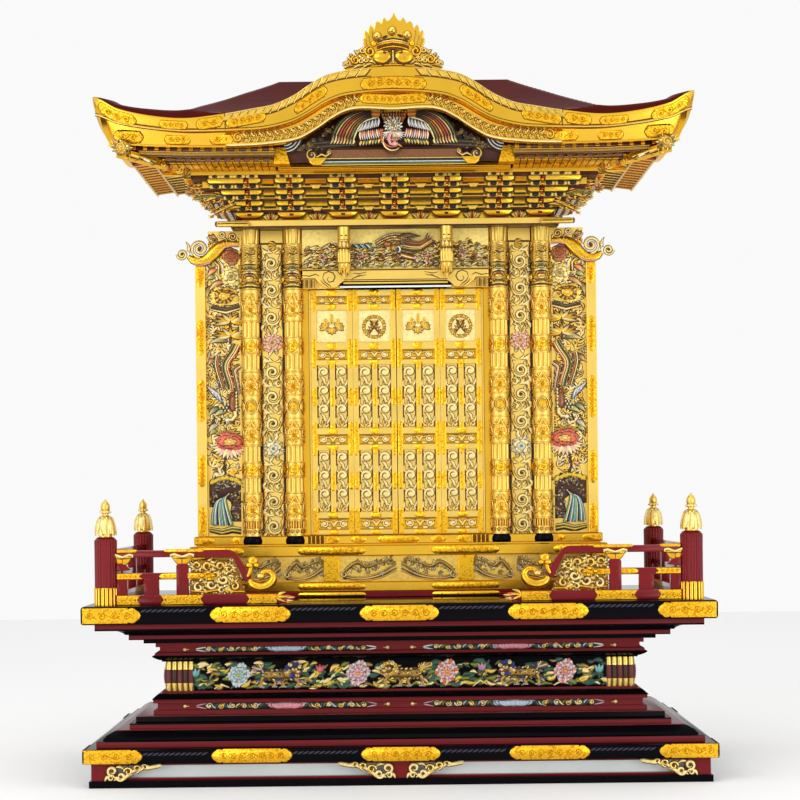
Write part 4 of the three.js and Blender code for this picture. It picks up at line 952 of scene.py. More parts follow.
def build_posts(sizes):
    """Fluted red corner posts with ribbed gilt shoes and inverted lotus finials."""
    z = DECK_Z + 0.3
    for end, sy in (("front", -1), ("rear", 1)):
        for hand, sx in HANDS:
            x, y = sx * POST_X, sy * POST_Y
            r = mm(sizes.post_radius)
            post = fluted(x, y, [(z, r, 2), (z + 160, r, 2), (704, 32.8, 2.2),
                                 (708, r, 2.4), (716, 25, 3), (718, 20, 1)], sizes.post_flutes)
            settle(post, f"post_{end}_{hand}_fluted", "red",
                   replaces=[f"post_{end}_{hand}"], smooth=50)
            shoe = fluted(x, y, [(z, 34, 4.5), (z + 46, 34, 4.5), (z + 50, 33.4, 3),
                                 (z + 51, 32, 1)], 16)
            settle(shoe, f"post_shoe_{end}_{hand}", "leaf", smooth=50, slot="gilt_fittings")
            neck = stack([(718.2, 19, 19), (724, 20, 20), (764, 14, 14), (778, 9, 9), (785, 9, 9),
                          (787, 14.5, 14.5), (790, 15.5, 15.5), (793, 14, 14), (796, 11, 11),
                          (800, 13, 13), (808, 13.2, 13.2), (815, 10, 10), (821, 4.5, 4.5),
                          (827, 1.5, 1.5)], 20, (x, y))
            neck.data.shade_smooth()
            settle(neck, f"finial_core_{end}_{hand}", "matt", smooth=35, slot="gilt_fittings",
                   replaces=[f"finial_{end}_{hand}"])
            lotus = Carving(wrapped(x, y, 15))
            lotus.cut = "umber"
            turn = 2 * PI * 15
            # bell of long rounded petals, then a beaded collar and the bud
            for j, (top, low, lift, wide) in enumerate(((776, 727, 13, 9), (780, 722, 14.5, 8.6))):
                for i in range(9):
                    a = turn * (i + 0.5 * j) / 9
                    lotus.stroke([(a, top, -4), (a, top - 5, 3), (a, 764, 8.5), (a, 750, 12),
                                  (a, low + 10, lift), (a, low, lift)],
                                 [wide * 0.3, wide * 0.42, wide * 0.5, wide * 0.56, wide * 0.52,
                                  wide * 0.34], ("cream", "pale")[j], 0.6, 0, 6)
            for i in range(10):
                a = turn * i / 10
                lotus.bead(a, 790, 0.5, (4, 3.4, 2.4), "cream", 7, 4)
                lotus.petal((a, 796), (a, 822), 9, 2, ("pale", "gold")[i % 2], lift=-10, base=-2,
                            full=0.8, n=6)
            lotus.make(f"finial_lotus_{end}_{hand}", slot="gilt_fittings")


GROUND_RAIL, MID_RAIL, TOP_RAIL = (521.3, 550), (594, 613), (658, 678)


def lotus_cap(c, a, z0, z1, half):
    """Open lotus that carries the top rail: a gilt cup under pale curling lips."""
    c.plate([(a - half * 0.4, z0), (a + half * 0.4, z0), (a + half * 0.66, z0 + 9),
             (a + half * 0.9, z1 - 9), (a + half * 0.9, z1 - 5), (a - half * 0.9, z1 - 5),
             (a - half * 0.9, z1 - 9), (a - half * 0.66, z0 + 9)], -4, 5, "gold", 3)
    c.stroke([(a, z0 + 2, 5), (a, z1 - 10, 5)], [1.2, 1.6], "rust")
    c.stroke([(a - half * 0.9, z1 - 11, 4), (a, z1 - 13, 7), (a + half * 0.9, z1 - 11, 4)],
             [1, 1.4, 1], "cocoa")
    for s in (-1, 1):
        c.stroke([(a, z1 - 8), (a + s * half * 0.35, z1 - 5), (a + s * half * 0.68, z1 - 1),
                  (a + s * half * 1.0, z1 - 3), (a + s * half * 0.98, z1 - 9)],
                 [3.5, 4.5, 4.5, 4, 2.4], "cream", 1.2, 4)


def notched(a0, a1, b0, b1, ends):
    """Outline of a fitting with fishtail ends."""
    mid, depth = (b0 + b1) / 2, (b1 - b0) * 0.34
    return ([(a0, b0), (a1, b0)] + [(a1 - depth, mid)] * ends[1] + [(a1, b1), (a0, b1)]
            + [(a0 + depth, mid)] * ends[0])


def build_rails(sizes):
    """Red rails with gilt plates; the front's top rail falls in a curve to a bracken curl."""
    start = POST_X - POST_R + 1
    for hand, side in HANDS:
        def run(points, half, round_by=mm(sizes.rail_edge)):
            return slab([(side * x, z) for x, z in points], -POST_Y - half, -POST_Y + half,
                        round_by)
        z0, z1 = GROUND_RAIL
        parts = [run([(start, z0), (start, z1), (352, z1), (322, z0)],
                     mm(sizes.rail_depth))]
        parts.append(run([(start, MID_RAIL[0]), (start, MID_RAIL[1]), (575, MID_RAIL[1]),
                          (575, MID_RAIL[0])], 10))
        z0, z1 = TOP_RAIL
        parts.append(run([(start, z0), (start, z1), (500, z1), (486, z1 - 1), (474, z1 - 6),
                          (464, z1 - 17), (424, 598), (443, 583), (478, 655), (484, z0)], 11, 3))
        parts.append(run([(641, 548), (641, 634), (637, 638), (611, 638), (607, 634), (607, 548)],
                         13))
        for x0, x1 in ((692, 735), (783, start)):
            parts.append(run([(x1, 548), (x1, 596), (x0, 596), (x0, 548)], 11))
        parts.append(run([(start, 618), (start, 642), (797, 642), (785, 634), (772, 622)], 12))
        settle(join(parts), f"railing_front_{hand}_lacquered", "red",
               replaces=[f"railing_front_{hand}"], smooth=40)
        y = POST_Y
        place = upright(-y - 15, side)
        plates, relief = (Carving(place, side < 0) for _ in range(2))
        for a0, a1, ends in ((745, 812, (1, 0)), (562, 686, (1, 1)), (352, 440, (0, 1))):
            plates.plate(notched(a0, a1, 522.5, 549, ends), -1, 1.6, ease=0.8)
            vine(relief, (a0 + 16, 535.8), (a1 - 16 * ends[1], 535.8), round((a1 - a0) / 17), 8, 2,
                 "rustgold", "gold", 2, 1, 0.8)
            for at in [a0 + 14] * ends[0] + [a1 - 14] * ends[1]:
                relief.bead(at, 535.8, 1.6, (2.4, 4.4, 0.8), "ink", 6, 3)
        plates.plate(lobed(528, 690, 595.5, 611.5, 14), -5, -3, ease=0.6)
        plates.plate([(738, 596), (748, 604), (738, 612), (812, 612), (812, 596)], -5, -3,
                     ease=0.6)
        vine(relief, (555, 603.5), (680, 603.5), 8, 5, 2, "deep", "gold", 2, -3.5)
        vine(relief, (752, 604), (808, 604), 4, 5, 2, "deep", "gold", 2, -3.5)
        # knuckled end of the middle rail
        for a, b, r in ((566, 604, 9), (549, 613, 8), (545, 594, 8), (535, 604, 7)):
            relief.bead(a, b, 0, (r, r * 0.8, r * 0.9), "gold", 10, 5)
        # plates that wrap the top rail
        for a0, a1 in ((752, 812), (560, 676)):
            plates.plate(lobed(a0, a1, 672, 681, 10, (1, a1 < 800)), -16, -2, ease=1.5)
        relief.make(f"railing_front_{hand}_vines", slot="gilt_fittings")
        plates.make(f"railing_front_{hand}_plates", "chased")
        caps = Carving(upright(-y - 6, side), side < 0)
        lotus_cap(caps, 624, 636, 667, 33)
        lotus_cap(caps, 796, 636, 667, 30)
        # bracken curl, its bud and the leafy foot
        curl = smooth_line([(430, 590), (421, 576), (401, 569), (380, 573), (366, 585), (362, 600),
                            (371, 612), (388, 613), (398, 603)], 5)
        for proud in (1.2, -1.2):
            caps.stroke(curl, [9, 13, 15, 15, 13, 11, 9, 8, 10], "leaf", proud, 0, 8)
        caps.bead(399, 601, 2, (14, 11, 17), "pale", 12, 6)
        for point in curl[4:-6:3]:
            caps.bead(point[0], point[1], 13, (1.8, 1.8, 1.4), "deep", 6, 3)
        for a, b, r in ((421, 645, 17), (431, 632, 12), (410, 632, 10)):
            caps.bead(a, b, 2, (r, r * 0.8, 10), "leaf", 12, 6)
        caps.stroke([(426, 632), (428, 616), (436, 600)], [8, 7, 6], "gold", 1, 0)
        for i in range(14):
            caps.petal((352 - 2 * i, 527 + 4 * (i % 5)), (338 - 3 * i, 524 + 5 * (i % 5)), 8, 4,
                       ("gold", "cream", "rust", "pale", "coral")[i % 5], base=5, blunt=0.8)
        sprig(caps, 352, 540, PI, 34, 3, 0.5, "gold", "pale", base=8)
        volute(caps, 344, 538, 9, 1, 0, 4, 1, "gold", 8)
        sprig(caps, 350, 524, PI * 0.98, 36, 2, 0.3, "rust", base=6)
        caps.make(f"railing_front_{hand}_curl", slot="gilt_fittings")
        # side rails
        x, ry = side * POST_X, POST_Y - POST_R + 1
        parts = [block(x - h, x + h, -ry, ry, *z, 2) for z, h in (
            (GROUND_RAIL, 15), (MID_RAIL, 9), (TOP_RAIL, 9))]
        for t, tall in ((-137, 642), (137, 642), (-338, 596), (338, 596)):
            parts.append(block(x - 13, x + 13, t - 17, t + 17, 548, tall, 2))
        settle(join(parts), f"railing_side_{hand}_lacquered", "red",
               replaces=[f"railing_side_{hand}"], smooth=40)
        face = flank(POST_X + 15, side)
        plates, relief = Carving(face), Carving(face)
        for a0, a1, ends in ((-356, -280, (0, 1)), (-190, -85, (1, 1)), (85, 190, (1, 1)),
                             (280, 356, (1, 0))):
            chased_plate(plates, relief, a0, a1, 522.5, 549, 1.2, ends)
            plates.plate(lobed(a0, a1, 596, 611, 10, ends), -7, -5, ease=0.5)
        for a in (-137, 137):
            lotus_cap(relief, a, 636, 667, 33)
        plates.make(f"railing_side_{hand}_plates", "chased")
        relief.make(f"railing_side_{hand}_vines", slot="gilt_fittings")


def build_scroll_boards():
    """Pierced scroll carving in the railing's ends."""
    back = -POST_Y + 6
    for hand, side in HANDS:
        c = Carving(upright(back - 4, side), side < 0, 1.3)
        c.cut = "umber"
        c.plate([(604, 552), (604, 592), (556, 592), (556, 616), (600, 616), (596, 648),
                 (550, 654), (515, 648), (486, 648), (458, 592), (442, 552)], -4, -0.6, "bronze",
                 0.5)
        for i in range(130):
            a, b = 448 + 152 * ((i * 0.618034) % 1), rng.uniform(556, 646)
            if a < 444 + 0.42 * (b - 552) or (556 < a and 588 < b < 620):
                continue
            sprig(c, a, b, rng.uniform(0, 2 * PI), rng.uniform(10, 16), 2, 0.8,
                  ("pale", "wheat", "khaki", "cream", "gold", "rust")[i % 6], "cream", base=-0.4)
        for a, b, r, sense, start in ((582, 634, 12, 1, 0), (552, 632, 16, 1, -PI / 2),
                                      (516, 630, 15, -1, PI), (578, 570, 17, -1, PI / 2),
                                      (542, 578, 18, 1, PI), (506, 592, 17, -1, 0),
                                      (474, 572, 15, 1, PI / 2), (528, 604, 11, 1, 0),
                                      (490, 622, 11, 1, PI), (512, 562, 10, -1, 2)):
            volute(c, a, b, r * 0.82, sense, start, 8, 1.0, ("wheat", "pale", "cream")[int(a) % 3],
                   2, "umber", 18, 1.0)
            for k in range(6):
                way = start + PI + k * 0.6 * sense
                c.petal(ray(a, b, way, r),
                        (a + (r + 16) * cos(way + 0.5), b + (r + 13) * sin(way + 0.5)), 9,
                        4, ("wheat", "cream", "pale")[k % 3], "khaki", bend=0.2 * sense, base=1.5,
                        blunt=0.8)
        c.stroke([(600, 560), (560, 556), (520, 562), (470, 556), (446, 556)], [3, 4, 3], "gold",
                 1, 1)
        c.make(f"scroll_board_{hand}_carved", slot="gilt_fittings",
               replaces=[f"scroll_board_{hand}"])


# ---------------------------------------------------------------- shrine body
SILL_TOP, COLUMN_TOP = 709.3, 1643.7
LEAF_Z, LEAF_FACE = (711, 1461), -54  # the leaves' foot and head, and their panels' front


def build_shrine_base():
    """Moulding, beams with gilt plates, and the carved band between them."""
    moulding = stack([(521.3, 648, 196), (523, 650, 198), (529, 650, 198), (530.5, 648, 196),
                      (531, 645, 193), (538, 645, 193), (538.7, 643, 191)], at=(0, 79))
    settle(moulding, "base_moulding_lacquered", "red", replaces=["shrine_base_moulding"])
    body = stack([(539, 634, 184), (541, 636, 186), (565, 636, 186), (568, 633, 183),
                  (568.2, 623, 173), (645.8, 623, 173), (646, 633, 183), (649, 636, 186),
                  (676, 636, 186), (678.6, 633, 183), (678.8, 616, 166), (682.7, 616, 166)],
                 at=(0, 80))
    settle(body, "base_beams_gilded", "leaf", replaces=["shrine_base"])
    posts = []
    for x in (-205, 205):
        posts.append(block(x - 24, x + 24, -104, -90, 568.2, 645.8, 1.5))
    for sx in (-1, 1):
        posts.append(block(sx * 590, sx * 633, -103, -90, 568.2, 645.8, 1.5))
    settle(join(posts), "base_band_posts", "chased")
    plates, relief = (Carving(upright(-105.5)) for _ in range(2))
    for sx in (-1, 1):
        span = sorted((sx * 100, sx * 307))
        for z0, z1 in ((543, 564), (650, 675)):
            chased_plate(plates, relief, *span, z0, z1, 1.8)
        low = Carving(upright(-118.5))
        low.plate(lobed(*span, 522.5, 537, 16), -2, 1.5, "gold")
        for i in range(4):
            low.bead(span[0] + 30 + i * 49, 530, 1.5, (3, 3, 2), "deep", 7, 3)
        low.make(f"moulding_plate_{'rl'[sx < 0]}", slot="gilt_fittings")
        # lobed plates beside the bend of the end panels
        span = sorted((sx * 470, sx * 630))
        for z0, z1 in ((543, 564), (650, 675)):
            chased_plate(plates, relief, *span, z0, z1, 1.8)
    plates.make("base_beam_plates", "chased")
    relief.make("base_beam_vines", slot="gilt_fittings")
    c = Carving(upright(-94), rim=0.9)
    c.cut = "cocoa"
    for a0, a1 in ((-588, -231), (-179, 179), (231, 588)):
        c.plate(rect(a0, a1, 569, 645), -2, 0, "wheat", 0.2)
    # sea dragons over long curling waves
    for a0, way, length in ((-172, 1, 150), (172, -1, 150), (-346, 1, 110), (346, -1, 110),
                            (-480, 1, 110), (480, -1, 110)):
        spine = [(a0, 582), (a0 + way * 12, 604), (a0 + way * length * 0.3, 626),
                 (a0 + way * length * 0.5, 612), (a0 + way * length * 0.7, 622),
                 (a0 + way * length, 634)]
        for i in range(5):
            c.stroke(smooth_line([(a0 + way * length * 0.02, 576 + 3 * i),
                                  (a0 + way * length * 0.36, 571 + 2.5 * i),
                                  (a0 + way * length * 0.74, 578 + 4 * i),
                                  (a0 + way * length * 1.1, 600 + 7 * i)]), [0.8, 1.7, 1.2],
                     ("wheat", "brown", "cream", "khaki")[i % 4], 1, 0.3)
        c.stroke(smooth_line(spine, 4), [3, 5, 6, 5, 4, 3], "khaki", 1, 1, 6)
        xs, zs = [way * v[0] for v in spine], [v[1] for v in spine]
        for i in range(64):
            a = a0 + way * length * i / 64
            b = float(np.interp(way * a, xs, zs))
            up = (-1) ** i
            c.petal((a, b + 2 * up), (a + way * rng.uniform(-5, 11), b + up * rng.uniform(7, 16)),
                    4.6, 2.2, ("cream", "khaki", "wheat", "cream", "moss", "cream", "grey")[i % 7],
                    ("cream", None, "umber")[i % 3], bend=0.2, base=2 - (i % 2))
        volute(c, a0 + way * 6, 590, 12, way, 0, 4, 1.4, "cream", 2, "umber", 16)
        volute(c, a0 + way * length, 630, 9, -way, 0, 3.4, 1.3, "khaki", 2, "umber", 14)
        for i in range(6):
            sprig(c, a0 + way * (length * 0.2 + 18 * i), 604 + 7 * (-1) ** i, way * i, 15, 3, 0.6,
                  ("khaki", "olive", "grey")[i % 3], "cream", base=1)
    c.make("base_band_relief")
    for i, (place, half) in enumerate(((flank(623, 1), 160), (flank(623, -1), 160),
                                       (lambda a, b, h: (-a, 253 + h, b), 600))):
        side = Carving(place)
        shift = 80 if i == 0 else -80 if i == 1 else 0
        vine(side, (shift - half, 607), (shift + half, 607), round(half / 26), 24, 6, "gold",
             "pale", 3)
        side.make(f"base_end_relief_{i}")


def build_sill():
    """Sill, chamber floor and the plates between the columns' feet."""
    body = stack([(683, 621, 168), (685, 623, 170), (706, 623, 170), (709, 620, 167)], at=(0, 80))
    board = block(-436, 436, -20, 226, 708, 712, 0.8)
    settle(join([body, board]), "sill_gilded", "leaf", replaces=["shrine_sill"])
    plates, relief = (Carving(upright(-89.5)) for _ in range(2))
    for a0, a1, ends in ((-220, -178, (0, 1)), (-146, -98, (1, 1)), (-64, 64, (1, 1)),
                         (98, 146, (1, 1)), (178, 220, (1, 0)), (-622, -560, (0, 1)),
                         (560, 622, (1, 0)), (-510, -482, (1, 0)), (482, 510, (0, 1))):
        chased_plate(plates, relief, a0, a1, 685, 707, 1.6, ends)
    plates.make("sill_plates", "chased")
    relief.make("sill_plate_vines", slot="gilt_fittings")
    drums = Carving(upright(-90))
    for sx in (-1, 1):
        for i in range(8):
            drums.stroke([(sx * (226 + i * 6.6), z, 0) for z in (684, 690, 702, 708)],
                         [3, 3.4, 3], "umber" if i % 2 else "gold", 1.2)
    drums.make("sill_pivot_drums", slot="gilt_fittings")


COLUMNS = {"outer_left": -444, "inner_left": -314.5, "inner_right": 314.5, "outer_right": 444}
COLUMN_Y = -69.5
LEAF_EDGE = 284.1  # a folded leaf's back lies at 283.6 from the middle


def build_columns():
    """Columns in bands: plain flutes between gilt, carved sleeves."""
    for key, x in COLUMNS.items():
        y = COLUMN_Y
        levels = []
        for z0, z1 in ((843, 886), (937, 983), (1218, 1260), (1317, 1362), (1601, 1645)):
            levels += [(z0 - 4, 28, 0), (z0, 27.6, 0), (z0 + 1, 27.6, 6), (z1 - 1, 27.6, 6),
                       (z1, 27.6, 0), (z1 + 4, 28, 0)]
        levels = [(709, 28, 0)] + levels[:-1] + [(COLUMN_TOP, 27.6, 0)]
        shaft = fluted(x, y, [v for v in levels if v[0] <= COLUMN_TOP], 9, 6)
        settle(shaft, f"column_{key}_shaft", "matt", replaces=[f"column_{key}"], smooth=45)
        foot = stack([(683.3, 33, 33), (686, 35, 35), (693, 36, 36), (700, 35, 35), (707, 32, 32),
                      (708.8, 30, 30)], 24, (x, y))
        foot.data.shade_smooth()
        settle(foot, f"column_{key}_foot", "black", smooth=40)
        rings = []
        for z, r, tall in ((757, 30.6, 4), (840, 31, 4), (889, 30.5, 3), (934, 30.5, 3),
                           (986, 31, 4),
                           (1069, 31, 3), (1138, 31, 3), (1211, 31, 4), (1264, 30.5, 3),
                           (1314, 30.5, 3), (1364, 31, 4), (1463, 31.5, 5), (1540, 31.5, 4),
                           (1598, 31, 4)):
            rings.append(stack([(z - tall / 2, r - 1.5, r - 1.5), (z - tall / 4, r, r),
                                (z + tall / 4, r, r), (z + tall / 2, r - 1.5, r - 1.5)], 24,
                                (x, y)))
        band = join(rings)
        side, inner = copysign(1, x), key.startswith("inner")
        for v in band.data.vertices if inner else ():
            v.co.x = side * max(side * v.co.x, LEAF_EDGE * MM)
        band.data.shade_smooth()
        settle(band, f"column_{key}_rings", "matt", smooth=40)
        sleeves = []
        for z0, z1 in ((759, 838), (891, 932), (988, 1066), (1140, 1208), (1266, 1312),
                       (1366, 1460), (1542, 1596)):
            sleeves.append(stack([(z0, 28.6, 28.6), (z0 + 1, 29.6, 29.6), (z1 - 1, 29.6, 29.6),
                                  (z1, 28.6, 28.6)], 24, (x, y)))
        sleeve = join(sleeves)
        sleeve.data.shade_smooth()
        settle(sleeve, f"column_{key}_sleeves", "matt", smooth=40)
        face = wrapped(x, y, 30)
        c = Carving(beyond(face, LEAF_EDGE, side) if inner else face, rim=0.5)
        c.cut = "rustgold"
        turn = 2 * PI * 30
        arc = (-turn / 2, turn / 2)
        # ribbed brocade band above the foot
        for i in range(44):
            a = arc[0] + turn * i / 44
            c.stroke([(a, 732), (a, 743), (a, 754)], [1.3, 1.6, 1.3],
                     ("umber", "pale", "sienna", "gold")[i % 4], 1, -0.5)
            if i % 4 == 0:
                volute(c, a, 722, 7, 1, 0, 2.4, 1.2, ("brown", "sienna")[i % 8 == 0], 0, "cream",
                       10)
        for b in (713, 733, 753):
            c.stroke([(arc[0], b), (0, b), (arc[1], b)], [1.2, 1.6, 1.2], "deep", 1, 1)
        # sleeves of low arabesque: hanging leaves, a spray between, and a ring below
        for z0, z1 in ((759, 838), (988, 1066), (1141, 1207), (1366, 1456)):
            mid, half = (z0 + z1) / 2, (z1 - z0) / 2
            for i in range(4):
                a = turn * i / 4
                for s in (-1, 1):
                    c.stroke([(a, z1 - 4), (a + s * 9, mid + half * 0.4), (a + s * 18, mid),
                              (a + s * 20, mid - half * 0.4)], [1.2, 2.2, 2.4, 1.2], "pale", 0.9)
                    for j in range(4):
                        b = z1 - 8 - j * half * 0.42
                        c.petal((a + s * (4 + 4 * j), b), (a + s * (14 + 3 * j), b - 10), 6, 2,
                                ("gold", "leaf")[j % 2], "pale", bend=0.15 * s)
                        c.petal((a + s * (2 + 3 * j), b - 6), (a + s * (1 + j), b - 16), 5, 2,
                                "gold", bend=0.1 * s)
                for s in (-1, 1):
                    for off, b, radius in ((9, 0.5, 8), (11, -0.05, 9), (8, -0.6, 8),
                                           (21, 0.25, 6)):
                        volute(c, a + s * off, mid + half * b, radius, s, PI * (b > 0), 2.6, 1.4,
                               ("leafgold", "gold")[off % 2], 0, "pale", 14, 0.6)
                flower(c, a, mid - half * 0.3, 7, ("gold", "leaf"), 5, 1, 0, "leafgold", 1.0, 0.4,
                       0.5)
        for z in (911.5, 1288):
            for i in range(4):
                a = turn * i / 4
                flower(c, a, z, 20, ("gold", "leaf"), 6, 2, 0, "gold", 0.9, 0.2, 0.7, None)
                for s in (-1, 1):
                    c.petal((a + turn / 8, z), (a + turn / 8, z + s * 21), 8, 3, "gold", "pale")
                    c.petal((a + s * 15, z - 16), (a + s * 6, z - 22), 6, 2, "gold", bend=0.2)
        for i in range(4):
            a = turn * i / 4
            for r, w, tint in ((22, 1.8, "pale"), (15, 1.4, "gold")):
                c.stroke([ray(a, 1104, t, r)
                          for t in np.linspace(0, 2 * PI, 21)], [w, w], tint)
            flower(c, a, 1104, 11, ("gold", "leaf"), 6, 2, 0, "pale")
        # lion masks
        c.rim, c.cut = 1.1, "cut"
        for i in range(4):
            a = turn * i / 4
            c.bead(a, 1492, 0, (14, 12, 6), "wheat", 10, 6)
            for b, w, tint, wide in ((1536, 1.2, "umber", 16), (1531, 1.2, "cream", 12),
                                     (1525, 1.6, "moss", 11), (1518, 2.0, "cream", 12),
                                     (1508, 1.6, "cocoa", 14), (1501, 1.6, "coral", 9),
                                     (1490, 1.8, "cream", 10), (1480, 1.6, "khaki", 13),
                                     (1468, 1.6, "umber", 23)):
                c.stroke([(a - wide, b - 2), (a - wide * 0.4, b + 1), (a + wide * 0.4, b + 1),
                          (a + wide, b - 2)], [w * 0.6, w, w * 0.6], tint, 1.3, 6)
            for s in (-1, 1):
                c.bead(a + s * 6, 1512, 9, (3, 2.4, 2.5), "white", 7, 4)
                for b, sense in ((1522, 1), (1500, -1), (1482, 1)):
                    volute(c, a + s * 18, b, 7, sense * s, PI / 2, 3, 1.2, "gold", 1, "umber", 10)
            # sleeve of cloud scrolls above
            for j in range(7):
                b = 1546 + 7 * j
                c.stroke([(a - 20, b), (a - 8, b + 4), (a + 4, b - 1), (a + 18, b + 3)],
                         [0.9, 1.8, 1.8, 0.9], ("gold", "leafgold", "pale", "umber")[j % 4], 1, 0)
            volute(c, a - 12, 1562, 8, 1, 0, 3, 1.2, "gold", 1, "pale", 12)
            volute(c, a + 12, 1578, 8, -1, PI, 3, 1.2, "gold", 1, "pale", 12)
        c.make(f"column_{key}_carving")


def build_column_panels():
    """Rinceau of big volutes between each pair of columns, with two flowers in the run."""
    leaves = ((31, 46, 3, 32, 13, "cream", 0.18), (30, 36, 32, 8, 11, "gold", -0.16),
              (-30, 44, -8, 30, 11, "leafgold", -0.2), (-31, 26, -29, -6, 10, "cream", 0.16),
              (30, 10, 30, -20, 10, "wheat", -0.2), (-29, -6, -31, -36, 12, "leafgold", 0.14),
              (24, -20, 32, -42, 11, "cream", 0.15), (13, -28, 3, -47, 10, "gold", -0.15),
              (-9, -29, -17, -46, 11, "cream", 0.15), (-20, 30, -32, 33, 8, "khaki", 0.1),
              (17, -26, 22, -44, 9, "khaki", 0.1), (-22, -26, -4, -38, 9, "wheat", 0.1),
              (20, 27, 31, 34, 9, "cream", 0.2), (-4, 30, 12, 46, 9, "cream", -0.2))
    for hand, side in HANDS:
        board = block(side * 345.3, side * 413.2, -64, -50, SILL_TOP, COLUMN_TOP)
        settle(board, f"column_panel_{hand}_board", "matt", replaces=[f"column_panel_{hand}"])
        c = Carving(upright(-64.3, side), side < 0, 1.2)
        mid = 379.25
        for i, z in enumerate((1545, 1462, 1378, 1212, 1136, 1054, 895, 814, 739)):
            for a, b, a1, b1, w, tint, bend in leaves:
                c.petal((mid + a * 0.98, z + b), (mid + a1 * 0.98, z + b1), w, 4, tint, "cream",
                        bend=bend)
            # stem that sweeps down the inner side and winds in to an eye
            c.stroke([(mid - 20, z + 48), (mid - 28, z + 28), (mid - 27, z + 6),
                      (mid - 20, z - 12)],
                     [1.6, 3.4, 3.8], "wheat", 1.2, 1)
            volute(c, mid + 1, z - 2, 23, 1, PI * 1.12, 8, 1.3, "cream", 2, "umber", 26, 1.1)
            for k, way in enumerate((3.7, 4.3, 4.9, 5.6, 6.2, 0.6)):
                c.petal(ray(mid + 1, z - 2, way, 19),
                        ray(mid + 1, z - 2, way + 0.45, 33),
                        9, 3, ("wheat", "cream")[k % 2], "khaki", bend=0.2, base=0.5, blunt=0.8)
        for z, tints in ((1300, ("rose", "lotus", "rose")), (976, ("grey", "cream", "ice"))):
            for i in range(8):
                t = i * PI / 4 + 0.3
                c.petal(ray(mid, z, t, 20, 24),
                        ray(mid, z, t, 31, 42), 12, 3,
                        ("umber", "moss", "cream", "gold")[i % 4], "cream", base=0)
            flower(c, mid, z, 33, tints, 8, 3, 1, "moss")
        for a in (-33.2, 33.2):
            c.stroke([(mid + a, z, 0) for z in np.linspace(710, 1602, 24)], [1.2, 1.2], "cocoa")
        c.stroke([(mid - 33, 1604), (mid, 1604), (mid + 33, 1604)], [1.8, 1.8], "umber")
        sprig(c, mid - 14, 1600, -0.2, 30, 4, 0.35, "khaki", "gold")
        c.make(f"column_panel_{hand}_rinceau")


def build_walls():
    """Narrow plain panels beside the doors and the chamber's outer walls."""
    for hand, sx in HANDS:
        jamb = block(sx * 268.2, sx * 289.5, -46, -24, SILL_TOP, COLUMN_TOP, 1.0)
        settle(jamb, f"door_jamb_{hand}_gilded", "leaf", replaces=[f"door_jamb_{hand}"])
        wall = [block(sx * 440, sx * 456, -38, 229, SILL_TOP, COLUMN_TOP, 0.8)]
        for z0, z1 in ((711, 735), (1150, 1180), (1610, 1640)):
            wall.append(block(sx * 455, sx * 461, -36, 227, z0, z1, 1.2))
        for y0, y1 in ((-37, -15), (200, 228)):
            wall.append(block(sx * 455, sx * 461, y0, y1, 735, 1610, 1.2))
        settle(join(wall), f"side_wall_{hand}_gilded", "leaf", replaces=[f"side_wall_{hand}"])
        plates, relief = Carving(flank(461, sx)), Carving(flank(461, sx))
        for z0, z1 in ((712, 734), (1154, 1176), (1614, 1636)):
            for y0, y1 in ((-30, 50), (145, 222)):
                chased_plate(plates, relief, min(sx * y0, sx * y1), max(sx * y0, sx * y1), z0, z1,
                             1)
        plates.make(f"side_wall_{hand}_plates", "chased")
        relief.make(f"side_wall_{hand}_vines", slot="gilt_fittings")
    wall = [block(-456, 456, 229.3, 242, SILL_TOP, COLUMN_TOP, 0.8)]
    for x in (-440, -150, 150, 440):
        wall.append(block(x - 14, x + 14, 241, 245, 711, 1642, 1.2))
    settle(join(wall), "back_wall_battened", "black", replaces=["back_wall"])


# ---------------------------------------------------------------- wings
def feather_tail(c, path, colours, width, base):
    """Bundle of parallel tail plumes along a path."""
    knots = np.array(path, float)
    t = np.linspace(0, len(knots) - 1, 26)
    line = np.column_stack([np.interp(t, range(len(knots)), knots[:, k]) for k in (0, 1)])
    for _ in range(3):
        line[1:-1] = (line[:-2] + 2 * line[1:-1] + line[2:]) / 4
    along = np.gradient(line, axis=0)
    along /= np.linalg.norm(along, axis=1)[:, None]
    across = np.column_stack([-along[:, 1], along[:, 0]])
    for i, colour in enumerate(colours):
        off = (i - (len(colours) - 1) / 2) * width * 0.62
        c.stroke(line + across * off, [width * 0.34, width * 0.3, width * 0.22], colour, 1.0,
                 base + 0.3 * (i % 2))
    for j in range(1, len(line) - 1, 2):
        for sx in (-1, 1):
            edge = line[j] + across[j] * sx * width * 0.28 * len(colours)
            tip = edge + along[j] * width * 1.3 + across[j] * sx * width * 0.7
            c.petal(edge, tip, width * 0.7, 2, ("khaki", "umber", "cream")[j % 3], base=base)


